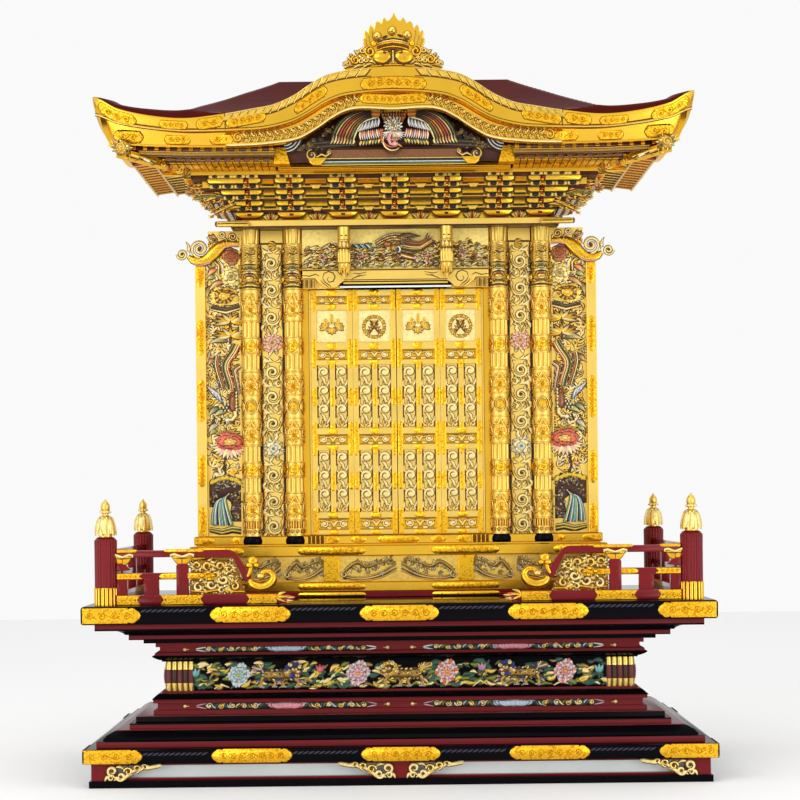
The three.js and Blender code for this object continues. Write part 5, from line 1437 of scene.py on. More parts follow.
def build_wings():
    """Pierced side wings: flowers, a phoenix, a peony and a waterfall in a gilt frame."""
    for hand, side in HANDS:
        board = slab([(side * x, z) for x, z in ((466, SILL_TOP), (590, SILL_TOP), (590, 1540),
                                                 (560, 1556), (523, 1583), (466, 1586))], -64, -54)
        settle(board, f"wing_{hand}_board", "matt", replaces=[f"wing_{hand}"])
        post = block(side * 582, side * 612.6, -82, -52, SILL_TOP, 1536, 2)
        inner = block(side * 476, side * 480, -68, -52, SILL_TOP, 1580)
        foot = block(side * 476, side * 582, -70, -52, SILL_TOP, 714, 1)
        settle(join([post, inner, foot]), f"wing_{hand}_frame", "matt")
        place = upright(-81.5, side)
        plates, relief = Carving(place, side < 0), Carving(place, side < 0)
        for z0, z1 in ((712, 800), (860, 962), (1060, 1190), (1262, 1372), (1470, 1534)):
            shape = [(z, x) for x, z in lobed(z0, z1, 585, 609, 22, (z0 > 712, z1 < 1534))]
            plates.plate(shape, -1, 1.4, ease=0.6)
            vine(relief, (597, z0 + 10), (597, z1 - 10), round((z1 - z0) / 17), 6.5, 2.4, "deep",
                 "gold", 2, 1)
        plates.make(f"wing_{hand}_plates", "chased")
        relief.make(f"wing_{hand}_plate_vines", slot="gilt_fittings")

        c = Carving(upright(-64.3, side), side < 0, 1.5)
        # twigs and leaves over the whole ground
        for i in range(210):
            a, b = 486 + 92 * (i * SCATTER % 1), 722 + 840 * i / 210
            if b < 892 and (a < 576 or b < 740):
                continue
            sprig(c, a, b, rng.uniform(0, 2 * PI), rng.uniform(20, 33), 3, 0.75,
                  ("wheat", "cream", "gold", "cream", "wheat", "leafgold", "khaki")[i % 7],
                  (None, "khaki", "cream", "white")[i % 4], 0.3, 0)
        flower(c, 503, 1568, 31, ("sienna", "brown", "rust"), 6, 3, 3, "sienna", 0.9, edge="sienna")
        for i in range(4):
            c.stroke([(556 - 6 * i, 1552), (541 - 4 * i, 1538), (542 - 5 * i, 1512)], [1.4, 3, 1.6],
                     ("cream", "umber", "gold", "white")[i], 1, 3)
        for a, b, a1, b1, tint in (
                (548, 1528, 574, 1508, "orange"), (552, 1505, 578, 1496, "moss"),
                (520, 1492, 574, 1459, "sienna"), (566, 1478, 578, 1440, "umber"),
                (514, 1306, 570, 1302, "olive"), (556, 1252, 576, 1236, "rust"),
                (544, 1104, 576, 1080, "green"), (520, 1092, 560, 1078, "moss"),
                (548, 1052, 577, 1030, "grey"), (552, 1034, 574, 1022, "moss")):
            c.petal((a, b), (a1, b1), 17, 5, tint, "cream", bend=0.12, base=3)
        flower(c, 502, 1504, 34, ("wheat", "cream", "khaki"), 7, 3, 3, "moss")
        flower(c, 525, 1444, 46, ("leafgold", "umber", "gold"), 8, 3, 3, "cream", 0.72,
               edge="wheat")
        for i in range(15):
            t = PI * (i + 0.5) / 15
            c.petal((524, 1418), ray(524, 1424, t, 54, 40), 11, 3,
                    ("umber", "gold", "leafgold")[i % 3], "cream", base=3)
        for i in range(3):
            c.stroke([(478, 1416 - 5 * i), (520, 1404 - 5 * i), (566, 1414 - 5 * i)], [2, 3.4, 1.6],
                     ("olive", "umber", "cream")[i], 1, 4)
        for b in (1366, 1322):
            c.stroke([(509, b + 26), (507, b), (509, b - 22)], [2, 3, 2], "umber", 1, 3)
            for i in range(9):
                t = -0.35 + i * 0.48
                c.petal((507, b), ray(507, b, t, 58, 30), 13, 5,
                        ("cream", "leafgold", "gold")[i % 3], "umber", base=3, n=6)
        # phoenix: plumed tail winds down to the body, wing spread behind
        feather_tail(c, [(488, 1296), (500, 1272), (520, 1246), (526, 1226), (518, 1200),
                         (510, 1176), (508, 1160)],
                     ("coral", "cream", "sienna", "cream", "moss", "ink", "khaki"), 5.2, 6)
        feather_tail(c, [(548, 1262), (552, 1236), (545, 1206), (536, 1180), (530, 1160)],
                     ("brown", "khaki", "rust", "cream", "green"), 5, 5)
        feather_tail(c, [(478, 1232), (498, 1220), (494, 1196), (488, 1170), (486, 1144)],
                     ("lotus", "cream", "umber", "khaki"), 4.6, 5)
        for i in range(11):
            c.petal((536 + 2 * i, 1118 + 2 * i), (548 + 3.4 * i, 1150 + 2.2 * i), 8, 4,
                    ("water", "white", "ink", "blue")[i % 4], "white", base=4)
        c.bead(500, 1116, 6, (15, 30, 10), "brown", 12, 6)
        for i in range(22):
            a, b = 492 + 5 * (i % 4), 1092 + 2.6 * i
            c.petal((a, b), (a - 3, b + 10), 7, 3, ("cream", "umber", "sienna", "rust")[i % 4],
                    base=12)
        for i in range(14):
            c.bead(516 + 5 * (i % 5), 1094 + 9 * (i // 5), 8, (3, 3, 3), ("white", "ink")[i % 2], 7,
                   4)
        c.stroke([(496, 1092), (494, 1078), (504, 1066), (516, 1066)], [7, 6, 5], "cream", 1.1, 6)
        c.bead(519, 1065, 9, (8, 6, 6), "white", 9, 5)
        c.petal((526, 1063), (538, 1057), 5, 3, "yellow", base=10)
        for i in range(6):
            c.stroke([(500 + 12 * i, 1072), (506 + 11 * i, 1062), (500 + 14 * i, 1052)],
                     [1.6, 2.4, 1], ("cocoa", "cream", "umber")[i % 3], 1, 2)
        # red peony with a pale calyx
        for i in range(12):
            t = -PI * (0.04 + 0.084 * i)
            c.petal((514 + 12 * cos(t), 982), ray(514, 986, t, 56, 42),
                    15, 4, ("lotus", "cream", "lotus")[i % 3], "cream", base=3)
        flower(c, 512, 998, 46, ("coral", "orange", "leafgold"), 7, 3, 4, "cream", 0.66,
               edge="rose")
        for i in range(6):
            way = 0.3 + 0.5 * i
            c.petal((522, 1020), ray(522, 1020, way, 46, 26), 13, 4,
                    "umber", "leafgold", base=1)
        c.stroke([(528, 950), (532, 920), (524, 890)], [3, 4, 3], "cocoa", 1, 1)
        # rock with a mossy crown, waterfall and a second, spotted rock
        c.plate([(566, 798), (578, 800), (578, 878), (560, 891), (530, 895), (500, 888), (478, 876),
                 (478, 754), (506, 754), (514, 784), (510, 812), (530, 828), (554, 816)], -1, 2,
                "cocoa", 1)
        for i in range(150):
            if i % 3:
                t = i / 150
                a, b = 574 - 96 * t, 808 + 76 * sin(PI * min(0.5, t * 0.9 + 0.08))
                b += rng.uniform(-26, 0)
            else:
                a, b = 496 + rng.uniform(-16, 14), rng.uniform(760, 850)
            c.petal((a, b), (a + rng.uniform(-10, 10), b + rng.uniform(-8, 10)), 9, 4,
                    ("ink", "cocoa", "brown", "ink", "umber", "cocoa", "olive")[i % 7],
                    ("white", "ink", "yellow", None, "grey")[i % 5], base=1.5, blunt=0.7)
        for i in range(26):
            t = i / 25
            a, b = 572 - 92 * t, 868 + 20 * sin(PI * (0.12 + 0.8 * t))
            c.petal((a, b - 7), (a + rng.uniform(-9, 9), b + rng.uniform(4, 10)), 14, 5,
                    ("yellow", "leafgold", "yellow", "gold")[i % 4], ("yellow", "moss")[i % 2],
                    base=3, blunt=0.6)
        for i in range(14):
            c.stroke(smooth_line([(516 + 0.8 * i, 842 - i), (528 + 2 * i, 822 - 0.4 * i),
                                  (520 + 3.6 * i, 784), (508 + 4.8 * i, 742 + 4 * (i % 2))]),
                     [1.4, 2, 2], ("teal", "cream", "ink", "water", "white", "moss", "sky")[i % 7],
                     1, 5 + (i % 2))
        for i in range(4):
            c.stroke([(482, 718 + 5 * i), (508, 724 + 4 * i), (540, 716 + 4 * i),
                      (578, 726 + 3 * i)],
                     [2, 4, 3, 2], ("ink", "yellow", "green", "pale")[i], 1, 1 + i * 0.5)
        c.make(f"wing_{hand}_relief")


def build_wing_arms():
    """Curved bracket arms over the wings, ending in a great volute."""
    line = [(478, 1604, 6), (500, 1606, 8), (522, 1604, 11), (540, 1592, 17), (554, 1578, 18),
            (570, 1562, 16), (588, 1553, 13), (604, 1552, 13), (620, 1556, 11), (634, 1567, 5)]
    for hand, side in HANDS:
        back = slab([(side * x, z) for x, z in ((466, 1590), (524, 1600), (540, 1606), (552, 1612),
                                                 (566, 1630), (574, 1636), (574, 1643),
                                                 (466, 1643))], -72, -58)
        settle(back, f"wing_arm_{hand}_board", "matt")
        c = Carving(upright(-72, side), side < 0, 1.4)
        c.cut = "umber"
        path, wide = [v[:2] for v in line], [v[2] for v in line]
        for proud in (0.5, -0.5):
            c.stroke(path, wide, "leaf", proud, 0, 8)
        for i in range(60):
            t = i / 59 * (len(line) - 1)
            a, b, w = (np.interp(t, range(len(line)), [v[k] for v in line]) for k in (0, 1, 2))
            c.bead(a, b + w * 0.4 * sin(i * 2.4), w * 0.46, (2.6, 2, 1.2),
                   ("rustgold", "gold", "pale")[i % 3], 6, 3)
        c.stroke([(a, b - w, 2) for a, b, w in line[:-1]], [1.6, 2.6, 1.6], "lotus", 1, 0)
        c.stroke([(a, b + w, 2) for a, b, w in line[:-1]], [1.2, 1.8, 1.2], "umber", 1, 0)
        for a, b, r, sense, start, w, tint in (
                (598, 1590, 27, 1, -PI / 2, 9, "cream"), (598, 1590, 18, 1, 0.4, 3, "khaki"),
                (652, 1573, 16, -1, 0, 7, "cream"), (652, 1573, 10, -1, 0.5, 2.6, "moss"),
                (497, 1626, 14, 1, PI, 5, "pale"), (530, 1632, 11, -1, 0, 4.6, "cream"),
                (552, 1616, 9, 1, 0, 4, "khaki"), (564, 1604, 8, 1, PI, 4, "gold")):
            volute(c, a, b, r, sense, start, w, 1.5, tint, 3, "umber", 22, 1.1)
        for a, b, a1, b1, w, tint in (
                (560, 1636, 546, 1622, 11, "rust"), (572, 1632, 556, 1626, 9, "cocoa"),
                (556, 1604, 572, 1616, 9, "khaki"), (568, 1614, 576, 1626, 7, "gold"),
                (574, 1592, 560, 1610, 9, "gold"), (514, 1612, 528, 1622, 8, "khaki"),
                (480, 1610, 490, 1622, 8, "pale"), (636, 1582, 640, 1612, 7, "cream"),
                (630, 1584, 630, 1600, 6, "khaki"), (622, 1600, 628, 1574, 7, "cream")):
            c.petal((a, b), (a1, b1), w, 5, tint, "cream", bend=0.2, base=2)
        c.make(f"wing_arm_{hand}_carved", slot="gilt_fittings", replaces=[f"wing_arm_{hand}"])


# ---------------------------------------------------------------- over the doors
def build_lintel():
    """Shaped lintel with scroll ends, carved frieze and hanging posts."""
    outline = [(0, 1484), (158, 1484), (168, 1478), (180, 1466), (186, 1464), (212, 1464),
               (236, 1482), (244, 1493), (284, 1493), (284, 1517.5)]
    full = [(-x, z) for x, z in outline[::-1]] + outline[1:]
    beam = slab(full, -92, -64, 2.2)
    settle(beam, "lintel_gilded", "matt", replaces=["lintel"])
    backing = join([block(sx * 158, sx * 284, -66, -55, 1463.5, 1492, 0.5) for sx in (-1, 1)])
    settle(backing, "lintel_backing", "matt")
    ends = join([block(sx * 244, sx * 284, -86, -50, 1463, 1492, 1) for sx in (-1, 1)])
    settle(ends, "lintel_end_blocks", "matt")
    c = Carving(upright(-92.1), rim=0)
    for sx in (-1, 1):
        for line, w in (([(284, 1503), (262, 1500), (244, 1506), (232, 1500)], 1.6),
                        ([(222, 1496), (218, 1508), (204, 1514), (190, 1509), (184, 1497),
                          (190, 1484), (202, 1481), (209, 1489), (204, 1497)], 1.8),
                        ([(222, 1494), (216, 1482), (204, 1474), (196, 1466)], 1.6),
                        ([(228, 1488), (221, 1478), (210, 1470), (204, 1466)], 1.4),
                        ([(180, 1516), (170, 1506), (160, 1500)], 1.2),
                        ([(174, 1470), (162, 1480), (152, 1484)], 1.5),
                        ([(134, 1490), (118, 1497), (104, 1500)], 1.6),
                        ([(128, 1508), (110, 1506), (88, 1511)], 1.4),
                        ([(118, 1502), (100, 1500), (90, 1504)], 1.2)):
            c.stroke([(sx * a, b) for a, b in line], [w * 0.6, w, w, w * 0.5], "cocoa", 0.8)
        for i in range(9):
            c.stroke([(sx * (247 + 4.6 * i), z, -5) for z in (1465, 1478, 1490)], [1.7, 1.9, 1.7],
                     ("khaki", "pale", "umber")[i % 3], 1.2)
    for z, w, tint in ((1487.5, 1.4, "umber"), (1518, 1.6, "umber")):
        half = 158 if z < 1500 else 283
        c.stroke([(x, z) for x in np.linspace(-half, half, 12)], [w, w], tint, 0.8)
    c.make("lintel_scrolls", slot="gilt_fittings")
    # painted shadow: a black band under the lintel
    shade = block(-170, 170, -80, -52, 1464, 1484, 1)
    settle(shade, "lintel_painted_shadow_band", "black")
    bar = block(-160, 160, -85, -79, 1476, 1481.5, 1)
    settle(bar, "lintel_soffit_bar", "matt")
    # painted highlight: a thin pale line at the foot of the shadow band
    lip = block(-170, 170, -82, -79.5, 1464.5, 1470, 0.6)
    settle(lip, "lintel_painted_highlight_line", "pale")

    frame_board = block(-285.2, 285.2, -78, -64, 1518.3, COLUMN_TOP)
    rail = block(-285.2, 285.2, -84, -77, 1518.3, 1523, 1)
    settle(join([frame_board, rail]), "frieze_board", "matt", replaces=["frieze"])
    c = Carving(upright(-78.4), rim=1.2)
    # painted light: a pale, non-metal ground standing in for light that the head board shades off
    c.plate(rect(-284, 284, 1523.4, 1643), -0.4, -0.1, "lit_butter", 0.1)
    top = ((-283, 1592), (-262, 1598), (-242, 1589), (-221, 1597), (-200, 1605), (-120, 1602),
           (-66, 1602), (-45, 1613), (-21, 1626), (-1, 1632), (23, 1625), (40, 1614), (70, 1606),
           (97, 1601), (124, 1606), (185, 1604), (206, 1611), (222, 1607), (240, 1598), (262, 1596),
           (283, 1582))
    xs, zs = zip(*top)
    tones = ("khaki", "cream", "umber", "leafgold", "wheat", "sienna", "olive", "wheat", "khaki",
             "grey", "brown", "cream")
    # waves, rocks and clouds that fill the whole band
    for i in range(620):
        a = -280 + 560 * (i * 0.618034 % 1)
        b = rng.uniform(1530, float(np.interp(a, xs, zs)) - 6)
        if 140 < abs(a) < 172 and b < 1590:
            continue
        way = rng.uniform(-0.5, 1.1) + (PI if i % 3 == 0 else 0)
        size = rng.uniform(13, 24)
        ends = (min(282, max(-282, a + size * cos(way))),
                max(1526, min(b + size * sin(way) * 0.7, float(np.interp(a, xs, zs)))))
        c.petal((a, b), ends, size * 0.36, rng.uniform(3, 5), tones[i % 12],
                ("cream", "gold", "umber")[i % 3], bend=rng.uniform(-0.3, 0.3),
                base=rng.uniform(0, 4))
    for i in range(34):
        a = -276 + i * 16.7
        tint = ("cream", "moss", "wheat", "cream", "khaki")[i % 5]
        volute(c, a, 1532 + 5 * (i % 2), rng.uniform(6, 9), (-1) ** i, rng.uniform(0, 6), 2.6, 1.2,
               tint, 4, None, 10)
        c.petal((a - 8, 1530), (a + 10, 1540), 6, 3, ("grey", "cream", "moss")[i % 3], base=4)
    # rocks under the pendants, brown and rose
    for a, b, r in ((-103, 1556, 22), (96, 1556, 24), (206, 1572, 18), (-222, 1558, 15)):
        for i in range(16):
            t = i * 2.4
            s = r * sqrt((i + 1) / 16)
            c.petal((a + s * cos(t) * 0.5, b + s * sin(t) * 0.5),
                    ray(a, b, t, s), 9, 3,
                    ("sienna", "rose", "brown", "lotus")[i % 4], "cream", bend=0.2, base=7)
    # crest of the tail, scaly back, head, whiskers and long mane
    for i in range(9):
        c.stroke([(-70 - 6 * i, 1584, 7), (-76 - 6 * i, 1591, 8), (-84 - 6 * i, 1597, 7)],
                 [1, 1.9, 1], ("teal", "white", "ink")[i % 3])
    for i in range(60):
        t = i / 59
        a, b = -62 + 110 * t, 1592 + 32 * sin(PI * (0.1 + 0.75 * t)) - 8 * (i % 3)
        c.petal((a, b), (a + 7, b + 5), 6, 2.4, ("khaki", "umber", "sienna", "gold")[i % 4],
                "cream", base=9)
    for i, tint in enumerate(("sienna", "khaki", "rust", "cream", "leafgold", "umber")):
        c.stroke([(20, 1610 - 6 * i, 10), (48, 1604 - 6 * i, 12), (76, 1600 - 5 * i, 12),
                  (92 + 5 * i, 1610 - 2 * i, 10), (100 + 5 * i, 1628 - 7 * i, 8)],
                  [1, 2, 2, 1.8, 0.8],
                 tint, 1, 2)
    for i in range(5):
        c.stroke([(6 + 8 * i, 1618 - i, 9), (26 + 8 * i, 1626 - 2 * i, 9),
                  (50 + 7 * i, 1628 - 2 * i, 7)],
                 [1.4, 2.2, 0.8], ("umber", "olive", "khaki")[i % 3], 1, 2)
    c.bead(0, 1584, 14, (16, 12, 9), "khaki", 12, 6)
    c.bead(-24, 1596, 13, (13, 10, 8), "sienna", 10, 5)
    c.stroke([(8 + 7 * cos(t), 1578 + 9 * sin(t), 22) for t in np.linspace(-1.4, 1.6, 9)],
             [1.6, 2.6, 1.6], "white")
    c.bead(6, 1578, 22, (4, 6, 3), "blue", 8, 4)
    c.bead(60, 1553, 12, (6, 5, 5), "lotus", 8, 4)
    for i in range(4):
        c.stroke([(18, 1570 - 4 * i, 12), (36, 1564 - 4 * i, 12), (58, 1557 - 3 * i, 11)],
                 [2.4, 3, 1.4], ("umber", "sienna", "cream", "brown")[i], 1, 1)
    c.make("frieze_dragon_relief")

    for hand, sx in HANDS:
        x = sx * 155.5
        shaft = stack([(1578, 14, 14), (1604, 17, 17), (1606, 20.5, 20.5), (1609, 20, 20),
                       (1640, 19, 19), (COLUMN_TOP, 19, 19)], 20, (x, -118))
        shaft.data.shade_smooth()
        ribbed = fluted(x, -118, [(1534, 14, 0), (1537, 20, 3), (1560, 21, 3.4), (1576, 19, 3),
                                  (1580, 14, 0)], 10, 5)
        tip = stack([(1488.5, 1.5, 1.5), (1496, 5, 5), (1508, 11, 11), (1522, 17, 17),
                     (1532, 19.5, 19.5), (1536, 17, 17)], 16, (x, -118))
        tip.data.shade_smooth()
        settle(join([shaft, ribbed, tip]), f"pendant_{hand}_post", "matt",
               replaces=[f"pendant_{hand}"], smooth=40)
        c = Carving(wrapped(x, -118, 17), rim=0.8)
        c.cut = "cocoa"
        for i in range(9):
            a = 2 * PI * 17 * i / 9
            c.petal((a, 1606), (a + 1, 1580), 13, 3.4, ("cream", "wheat")[i % 2], "gold", lift=3,
                    base=-1, full=1.3)
            c.petal((a + 6, 1600), (a + 6, 1576), 8, 3, "khaki", base=1)
            c.petal((a, 1537), (a, 1500), 14, 3, "wheat", "gold", lift=-8, base=2, full=0.8,
                    vein=0.5)
        for a in (-6, 6):
            c.stroke([(a - 3, 1616, 2.4), (a, 1617, 2.6), (a + 3, 1616, 2.4)], [0.8, 1.6, 0.8],
                     "umber")
        c.make(f"pendant_{hand}_petals", slot="gilt_fittings")
    beam = block(-500, 500, -136, 245, 1648, 1666, 1.5)
    settle(beam, "head_board_gilded", "matt", replaces=["head_board"])
    # painted shadow: a dark strip along the head board's lower edge
    lower = block(-496, 496, -131, 243, 1644, 1648.2)
    settle(lower, "head_board_painted_shadow", "shade_brown")


# ---------------------------------------------------------------- doors
def spiral_panel(c, a0, a1, b0, b1):
    """Pierced tall panel: a stem that curls over three times, with leaves in each bend."""
    mid, half, pitch = (a0 + a1) / 2, (a1 - a0) / 2, (b1 - b0) / 3.36
    for i in range(3):
        z = b1 - half - 1 - pitch * i
        for x0, z0, x1, z1, w, tint, bend in (
                (-0.62, -0.2, 0.1, -0.78, 0.46, "cream", 0.22),
                (0.12, -0.42, 0.82, -0.66, 0.4, "wheat", -0.2),
                (0.3, -0.84, 0.88, -0.3, 0.36, "cream", -0.16),
                (-0.84, -0.86, -0.76, -0.36, 0.36, "pale", 0.12),
                (-0.5, -0.95, -0.2, -0.5, 0.3, "gold", -0.1),
                (-0.9, 0.3, -0.56, 0.02, 0.3, "cream", 0.1)):
            c.petal((mid + x0 * half, z + z0 * pitch), (mid + x1 * half, z + z1 * pitch), w * half,
                    1.8, tint, "cream", bend=bend, base=0.2, vein=0.4)
        volute(c, mid + 1, z, half * 0.76, -1, PI * 1.1, half * 0.5, 1.15, "cream", 0.6, None, 20)
    for s in (-1, 1):
        c.petal((mid + s * 2, b0 + 2), (mid + s * half * 0.8, b0 + 16), 8, 1.8, "wheat", "cream",
                bend=-0.2 * s)


def leaf_panel(c, a0, a1, b0, b1):
    """Small pierced panel: two volutes with a V of leaves between."""
    mid_a, mid_b, half = (a0 + a1) / 2, (b0 + b1) / 2, (b1 - b0) / 2
    for side in (-1, 1):
        a = mid_a + side * (a1 - a0) * 0.33
        c.petal((mid_a, mid_b - half * 0.7), (mid_a + side * half * 1.1, mid_b + half * 0.8),
                half * 0.55, 1.8, "wheat", "cream", bend=0.15 * side)
        c.petal((mid_a + side * half * 0.3, mid_b - half * 0.7), (a - side * 3, mid_b - half * 0.6),
                half * 0.5, 1.6, "cream", bend=-0.1 * side)
        c.petal((mid_a + side * half * 0.8, mid_b + half * 0.2), (a - side * 4, mid_b + half * 0.7),
                half * 0.4, 1.6, "gold", "cream", bend=0.1 * side)
        c.petal((a + side * half * 0.6, mid_b - half * 0.7),
                (mid_a + side * (a1 - a0) * 0.49, mid_b + half * 0.6), half * 0.4, 1.6, "wheat",
                "cream", bend=0.1 * side)
        volute(c, a, mid_b, half * 0.68, side, PI / 2, half * 0.34, 1.4, "cream", 0.4, "white", 16)


def build_doors():
    """Four folding leaves: framed, with pierced panels, crests and gilt corner plates."""
    rails = [(711, 725), (761, 779), (969, 986), (1018, 1037), (1231, 1246), (1277, 1300),
             (1399, 1417), (1442, 1461)]
    wide = [(low, high) for (_, low), (high, _) in zip(rails[::2], rails[1::2])]
    tall = [(779, 969), (1037, 1231)]
    for key, body, x0, x1, wreath in (("outer_left", "left_outer_leaf", -267.3, -134.2, False),
                                      ("inner_left", "left_inner_leaf", -133.4, -1.2, True),
                                      ("inner_right", "right_inner_leaf", 1.2, 133.4, False),
                                      ("outer_right", "right_outer_leaf", 134.2, 267.3, True)):
        edge = 6.7 if key.startswith("outer") else 0.0
        lo = x0 + (edge if x0 < -140 else 0)
        hi = x1 - (edge if x1 > 140 else 0)
        parts = [block(x0 if edge and x0 < -140 else lo, x1 if edge and x1 > 140 else hi, LEAF_FACE,
                       -47, *LEAF_Z, 0.5)]
        for a, b in ((lo, lo + 16), (hi - 16, hi)):
            parts.append(block(a, b, -61, -53, *LEAF_Z, 0.8))
        for z0, z1 in rails:
            parts.append(block(lo + 15.5, hi - 15.5, -60.6, -53, z0, z1, 0.8))
        mid = (lo + hi) / 2
        for z0, z1 in tall:
            parts.append(block(mid - 8, mid + 8, -60.6, -53, z0 - 0.5, z1 + 0.5, 0.8))
        if edge:
            side = -1 if x0 < 0 else 1
            outer = x0 if side < 0 else x1
            parts.append(block(outer, outer - side * 4, -58, -50, 712, 1460, 1))
        settle(join(parts), f"door_{key}_frame", "matt", body, [f"door_{key}"])

        ground = Carving(upright(LEAF_FACE))
        for z0, z1 in wide:
            ground.plate(rect(lo + 16, hi - 16, z0, z1), -1, 0.6,
                         "gold", 0.2)
        for z0, z1 in tall:
            for a0, a1 in ((lo + 16, mid - 8), (mid + 8, hi - 16)):
                ground.plate(rect(a0, a1, z0, z1), -1, 0.6, "pale", 0.2)
        ground.plate(rect(lo + 17, hi - 17, 1301, 1398), -1, 0.6,
                     "cream", 0.2)
        # folded together, the fronts of two leaves lie 2 mm apart
        c = Carving(below(upright(-54.7), 6.7), rim=1.1)
        c.cut = "umber"
        for z0, z1 in wide:
            leaf_panel(c, lo + 20, hi - 20, z0 + 2, z1 - 2)
            c.stroke([(lo + 18, z0 + 2), (hi - 18, z0 + 2)], [1.2, 1.2], "gold")
            c.stroke([(lo + 18, z1 - 2), (hi - 18, z1 - 2)], [1.2, 1.2], "gold")
        for z0, z1 in tall:
            for a0, a1 in ((lo + 17, mid - 9), (mid + 9, hi - 17)):
                spiral_panel(c, a0, a1, z0 + 1, z1 - 1)
                c.stroke([(a0 + 1, z) for z in np.linspace(z0, z1, 6)], [1, 1], "umber")
                c.stroke([(a1 - 1, z) for z in np.linspace(z0, z1, 6)], [1, 1], "umber")
        b = 1347
        if wreath:
            for i in range(24):
                way = 2 * PI * i / 24
                c.petal(ray(mid, b, way, 27),
                        ray(mid, b, way + 0.3, 37), 7.5, 2.4,
                        ("leafgold", "khaki")[i % 2], "gold", base=0.4)
            for s in (-1, 1):
                c.stroke([(mid - 15 * s, b - 20), (mid, b), (mid + 13 * s, b + 20)], [1.4, 2, 1.2],
                         "umber", 1, 0.5)
                for k in range(4):
                    c.petal((mid + s * (14 - 5 * k), b - 18 + 6 * k),
                            (mid + s * (22 - 4 * k), b - 8 + 9 * k), 6, 2.4,
                            ("khaki", "leafgold")[k % 2], "umber", bend=0.15 * s, base=0.5)
            c.bead(mid, b + 18, 1, (5, 4, 2.4), "leafgold", 8, 4)
        else:
            for a, z, turn in ((mid - 19, b - 2, 0.7), (mid + 19, b - 2, -0.7), (mid, b - 4, PI)):
                for i in (-2, 2, -1, 1, 0):
                    way = PI / 2 + turn + i * 0.62
                    c.petal((a, z), ray(a, z, way, 20), 11, 2.8,
                            ("leafgold", "gold")[i % 2], "khaki", base=0.4 + 0.2 * (2 - abs(i)),
                            blunt=0.7)
            for off, count in ((-21, 4), (0, 6), (21, 4)):
                foot = b + 6 + (off == 0) * 3
                c.stroke([(mid + off * 0.8, foot), (mid + off, foot + 5.2 * count)], [1.8, 1.2],
                         "khaki", 1, 0.4)
                for i in range(count):
                    for s in (-1, 1):
                        c.bead(mid + off * 0.9 + s * (4 - 0.5 * i), foot + 3 + 5.2 * i, 0.6,
                               (3.2, 3, 2.6), ("leafgold", "gold")[(i + s) % 2], 7, 3)
        c.make(f"door_{key}_reliefs", body=body)
        ground.make(f"door_{key}_grounds", body=body)

        plates = Carving(upright(-60.4))
        zs = [(711, 792), (848, 902), (952, 1056), (1105, 1160), (1221, 1310), (1395, 1461)]
        for a0, a1 in ((lo, lo + 16), (hi - 16, hi)):
            for z0, z1 in zs:
                shape = [(z, x) for x, z in lobed(z0, z1, a0 + 0.4, a1 - 0.4, 10,
                                                  (z0 > 712, z1 < 1460))]
                plates.plate(shape, -1, 1, ease=0.4)
        for z0, z1 in rails:
            plates.plate(lobed(mid - 17, mid + 17, z0 + 0.6, z1 - 0.6, 9), -1, 0.9, ease=0.4)
        for z0, z1 in tall:
            for s0, s1 in ((z0 - 4, z0 + 14), ((z0 + z1) / 2 - 30, (z0 + z1) / 2 + 26),
                           (z1 - 14, z1 + 4)):
                shape = [(z, x) for x, z in lobed(s0, s1, mid - 7, mid + 7, 8)]
                plates.plate(shape, -1, 1, ease=0.4)
        plates.make(f"door_{key}_plates", "chased", body=body)


# ---------------------------------------------------------------- brackets
BRACKET_Z, TIER_H, TIER_STEP = 1666.3, 27.2, 40
FRONT_SETS = (-442, -314, -157, 0, 157, 314, 442)
SIDE_SETS = (-60, 20, 100, 180)


def eye(c, a, b):
    """Painted shadow between two bearing blocks: a dark oval with a thin lighter rim."""
    c.bead(a, b, 13, (11, 7.4, 7), "umber", 12, 5)
    c.bead(a, b, 15.5, (9.4, 6, 6.4), "ink", 12, 5)
    # painted highlight inside the dark oval
    c.bead(a, b - 1.5, 19, (5, 1.4, 4), "smoke", 8, 4)


def bracket_set(c, a, z, tier, extra=0, out=0):
    """One tier of a bracket set: dark eyes of painted shadow between pale blocks under a rounded
    arm.
    """
    if tier == 0:
        c.plate([(a - 27, z), (a + 27, z), (a + 20, z + 10), (a - 20, z + 10)], -2, 20, "rust", 0.6)
        c.plate([(a - 22, z + 11), (a + 22, z + 11), (a + 34, z + 15), (a + 42, z + 23),
                 (a + 44, z + 29), (a - 44, z + 29), (a - 42, z + 23), (a - 34, z + 15)], -2, 25,
                "leaf", 1.6)
        # painted shadow along the foot of the boat
        c.stroke([(a - 43, z + 23, 21), (a - 33, z + 13, 22), (a, z + 9, 22), (a + 33, z + 13, 22),
                  (a + 43, z + 23, 21)], [1.6, 2.2, 1.6], "umber")
        c.stroke([(a - 42, z + 28, 25), (a + 42, z + 28, 25)], [1.2, 1.2], "pale")
        c.plate(rect(a - 6, a + 6, z + 17, z + 23), 22, 27, "cocoa",
                0.5)
        return
    for s in (-1, 1):
        count = extra if s == out else 0
        far = 43 + 36 * count
        arm = [(a + s * 7, z + 15), (a + s * (far - 10), z + 15), (a + s * (far - 3), z + 18),
               (a + s * far, z + 23), (a + s * far, z + 28.5), (a + s * 7, z + 28.5)]
        c.plate(arm, -2, 23, "leaf", 1.6)
        # painted shadow along the arm's lower edge
        c.stroke([(a + s * 8, z + 14, 17), (a + s * (far - 9), z + 14, 17),
                  (a + s * (far + 2), z + 20, 17), (a + s * (far + 2), z + 28, 17)],
                 [1.6, 2.2, 1.6], "ink")
        c.stroke([(a + s * 8, z + 27.5, 23), (a + s * (far - 1), z + 27.5, 23)], [1, 1], "pale")
        for i in range(count + 1):
            at = a + s * (19 + 36 * i)
            c.plate(rect(at - 17, at + 17, z + 2.4, z + 13),
                    -2, 12, "pale", 0.8)
            eye(c, at, z + 8)
    # twisted nosing in the middle
    for i in range(4):
        c.bead(a + (1.4 if i % 2 else -1.4), z + 4 + i * 6.6, 22, (6.2, 4.2, 6),
               ("gold", "rust")[i % 2], 8, 4)


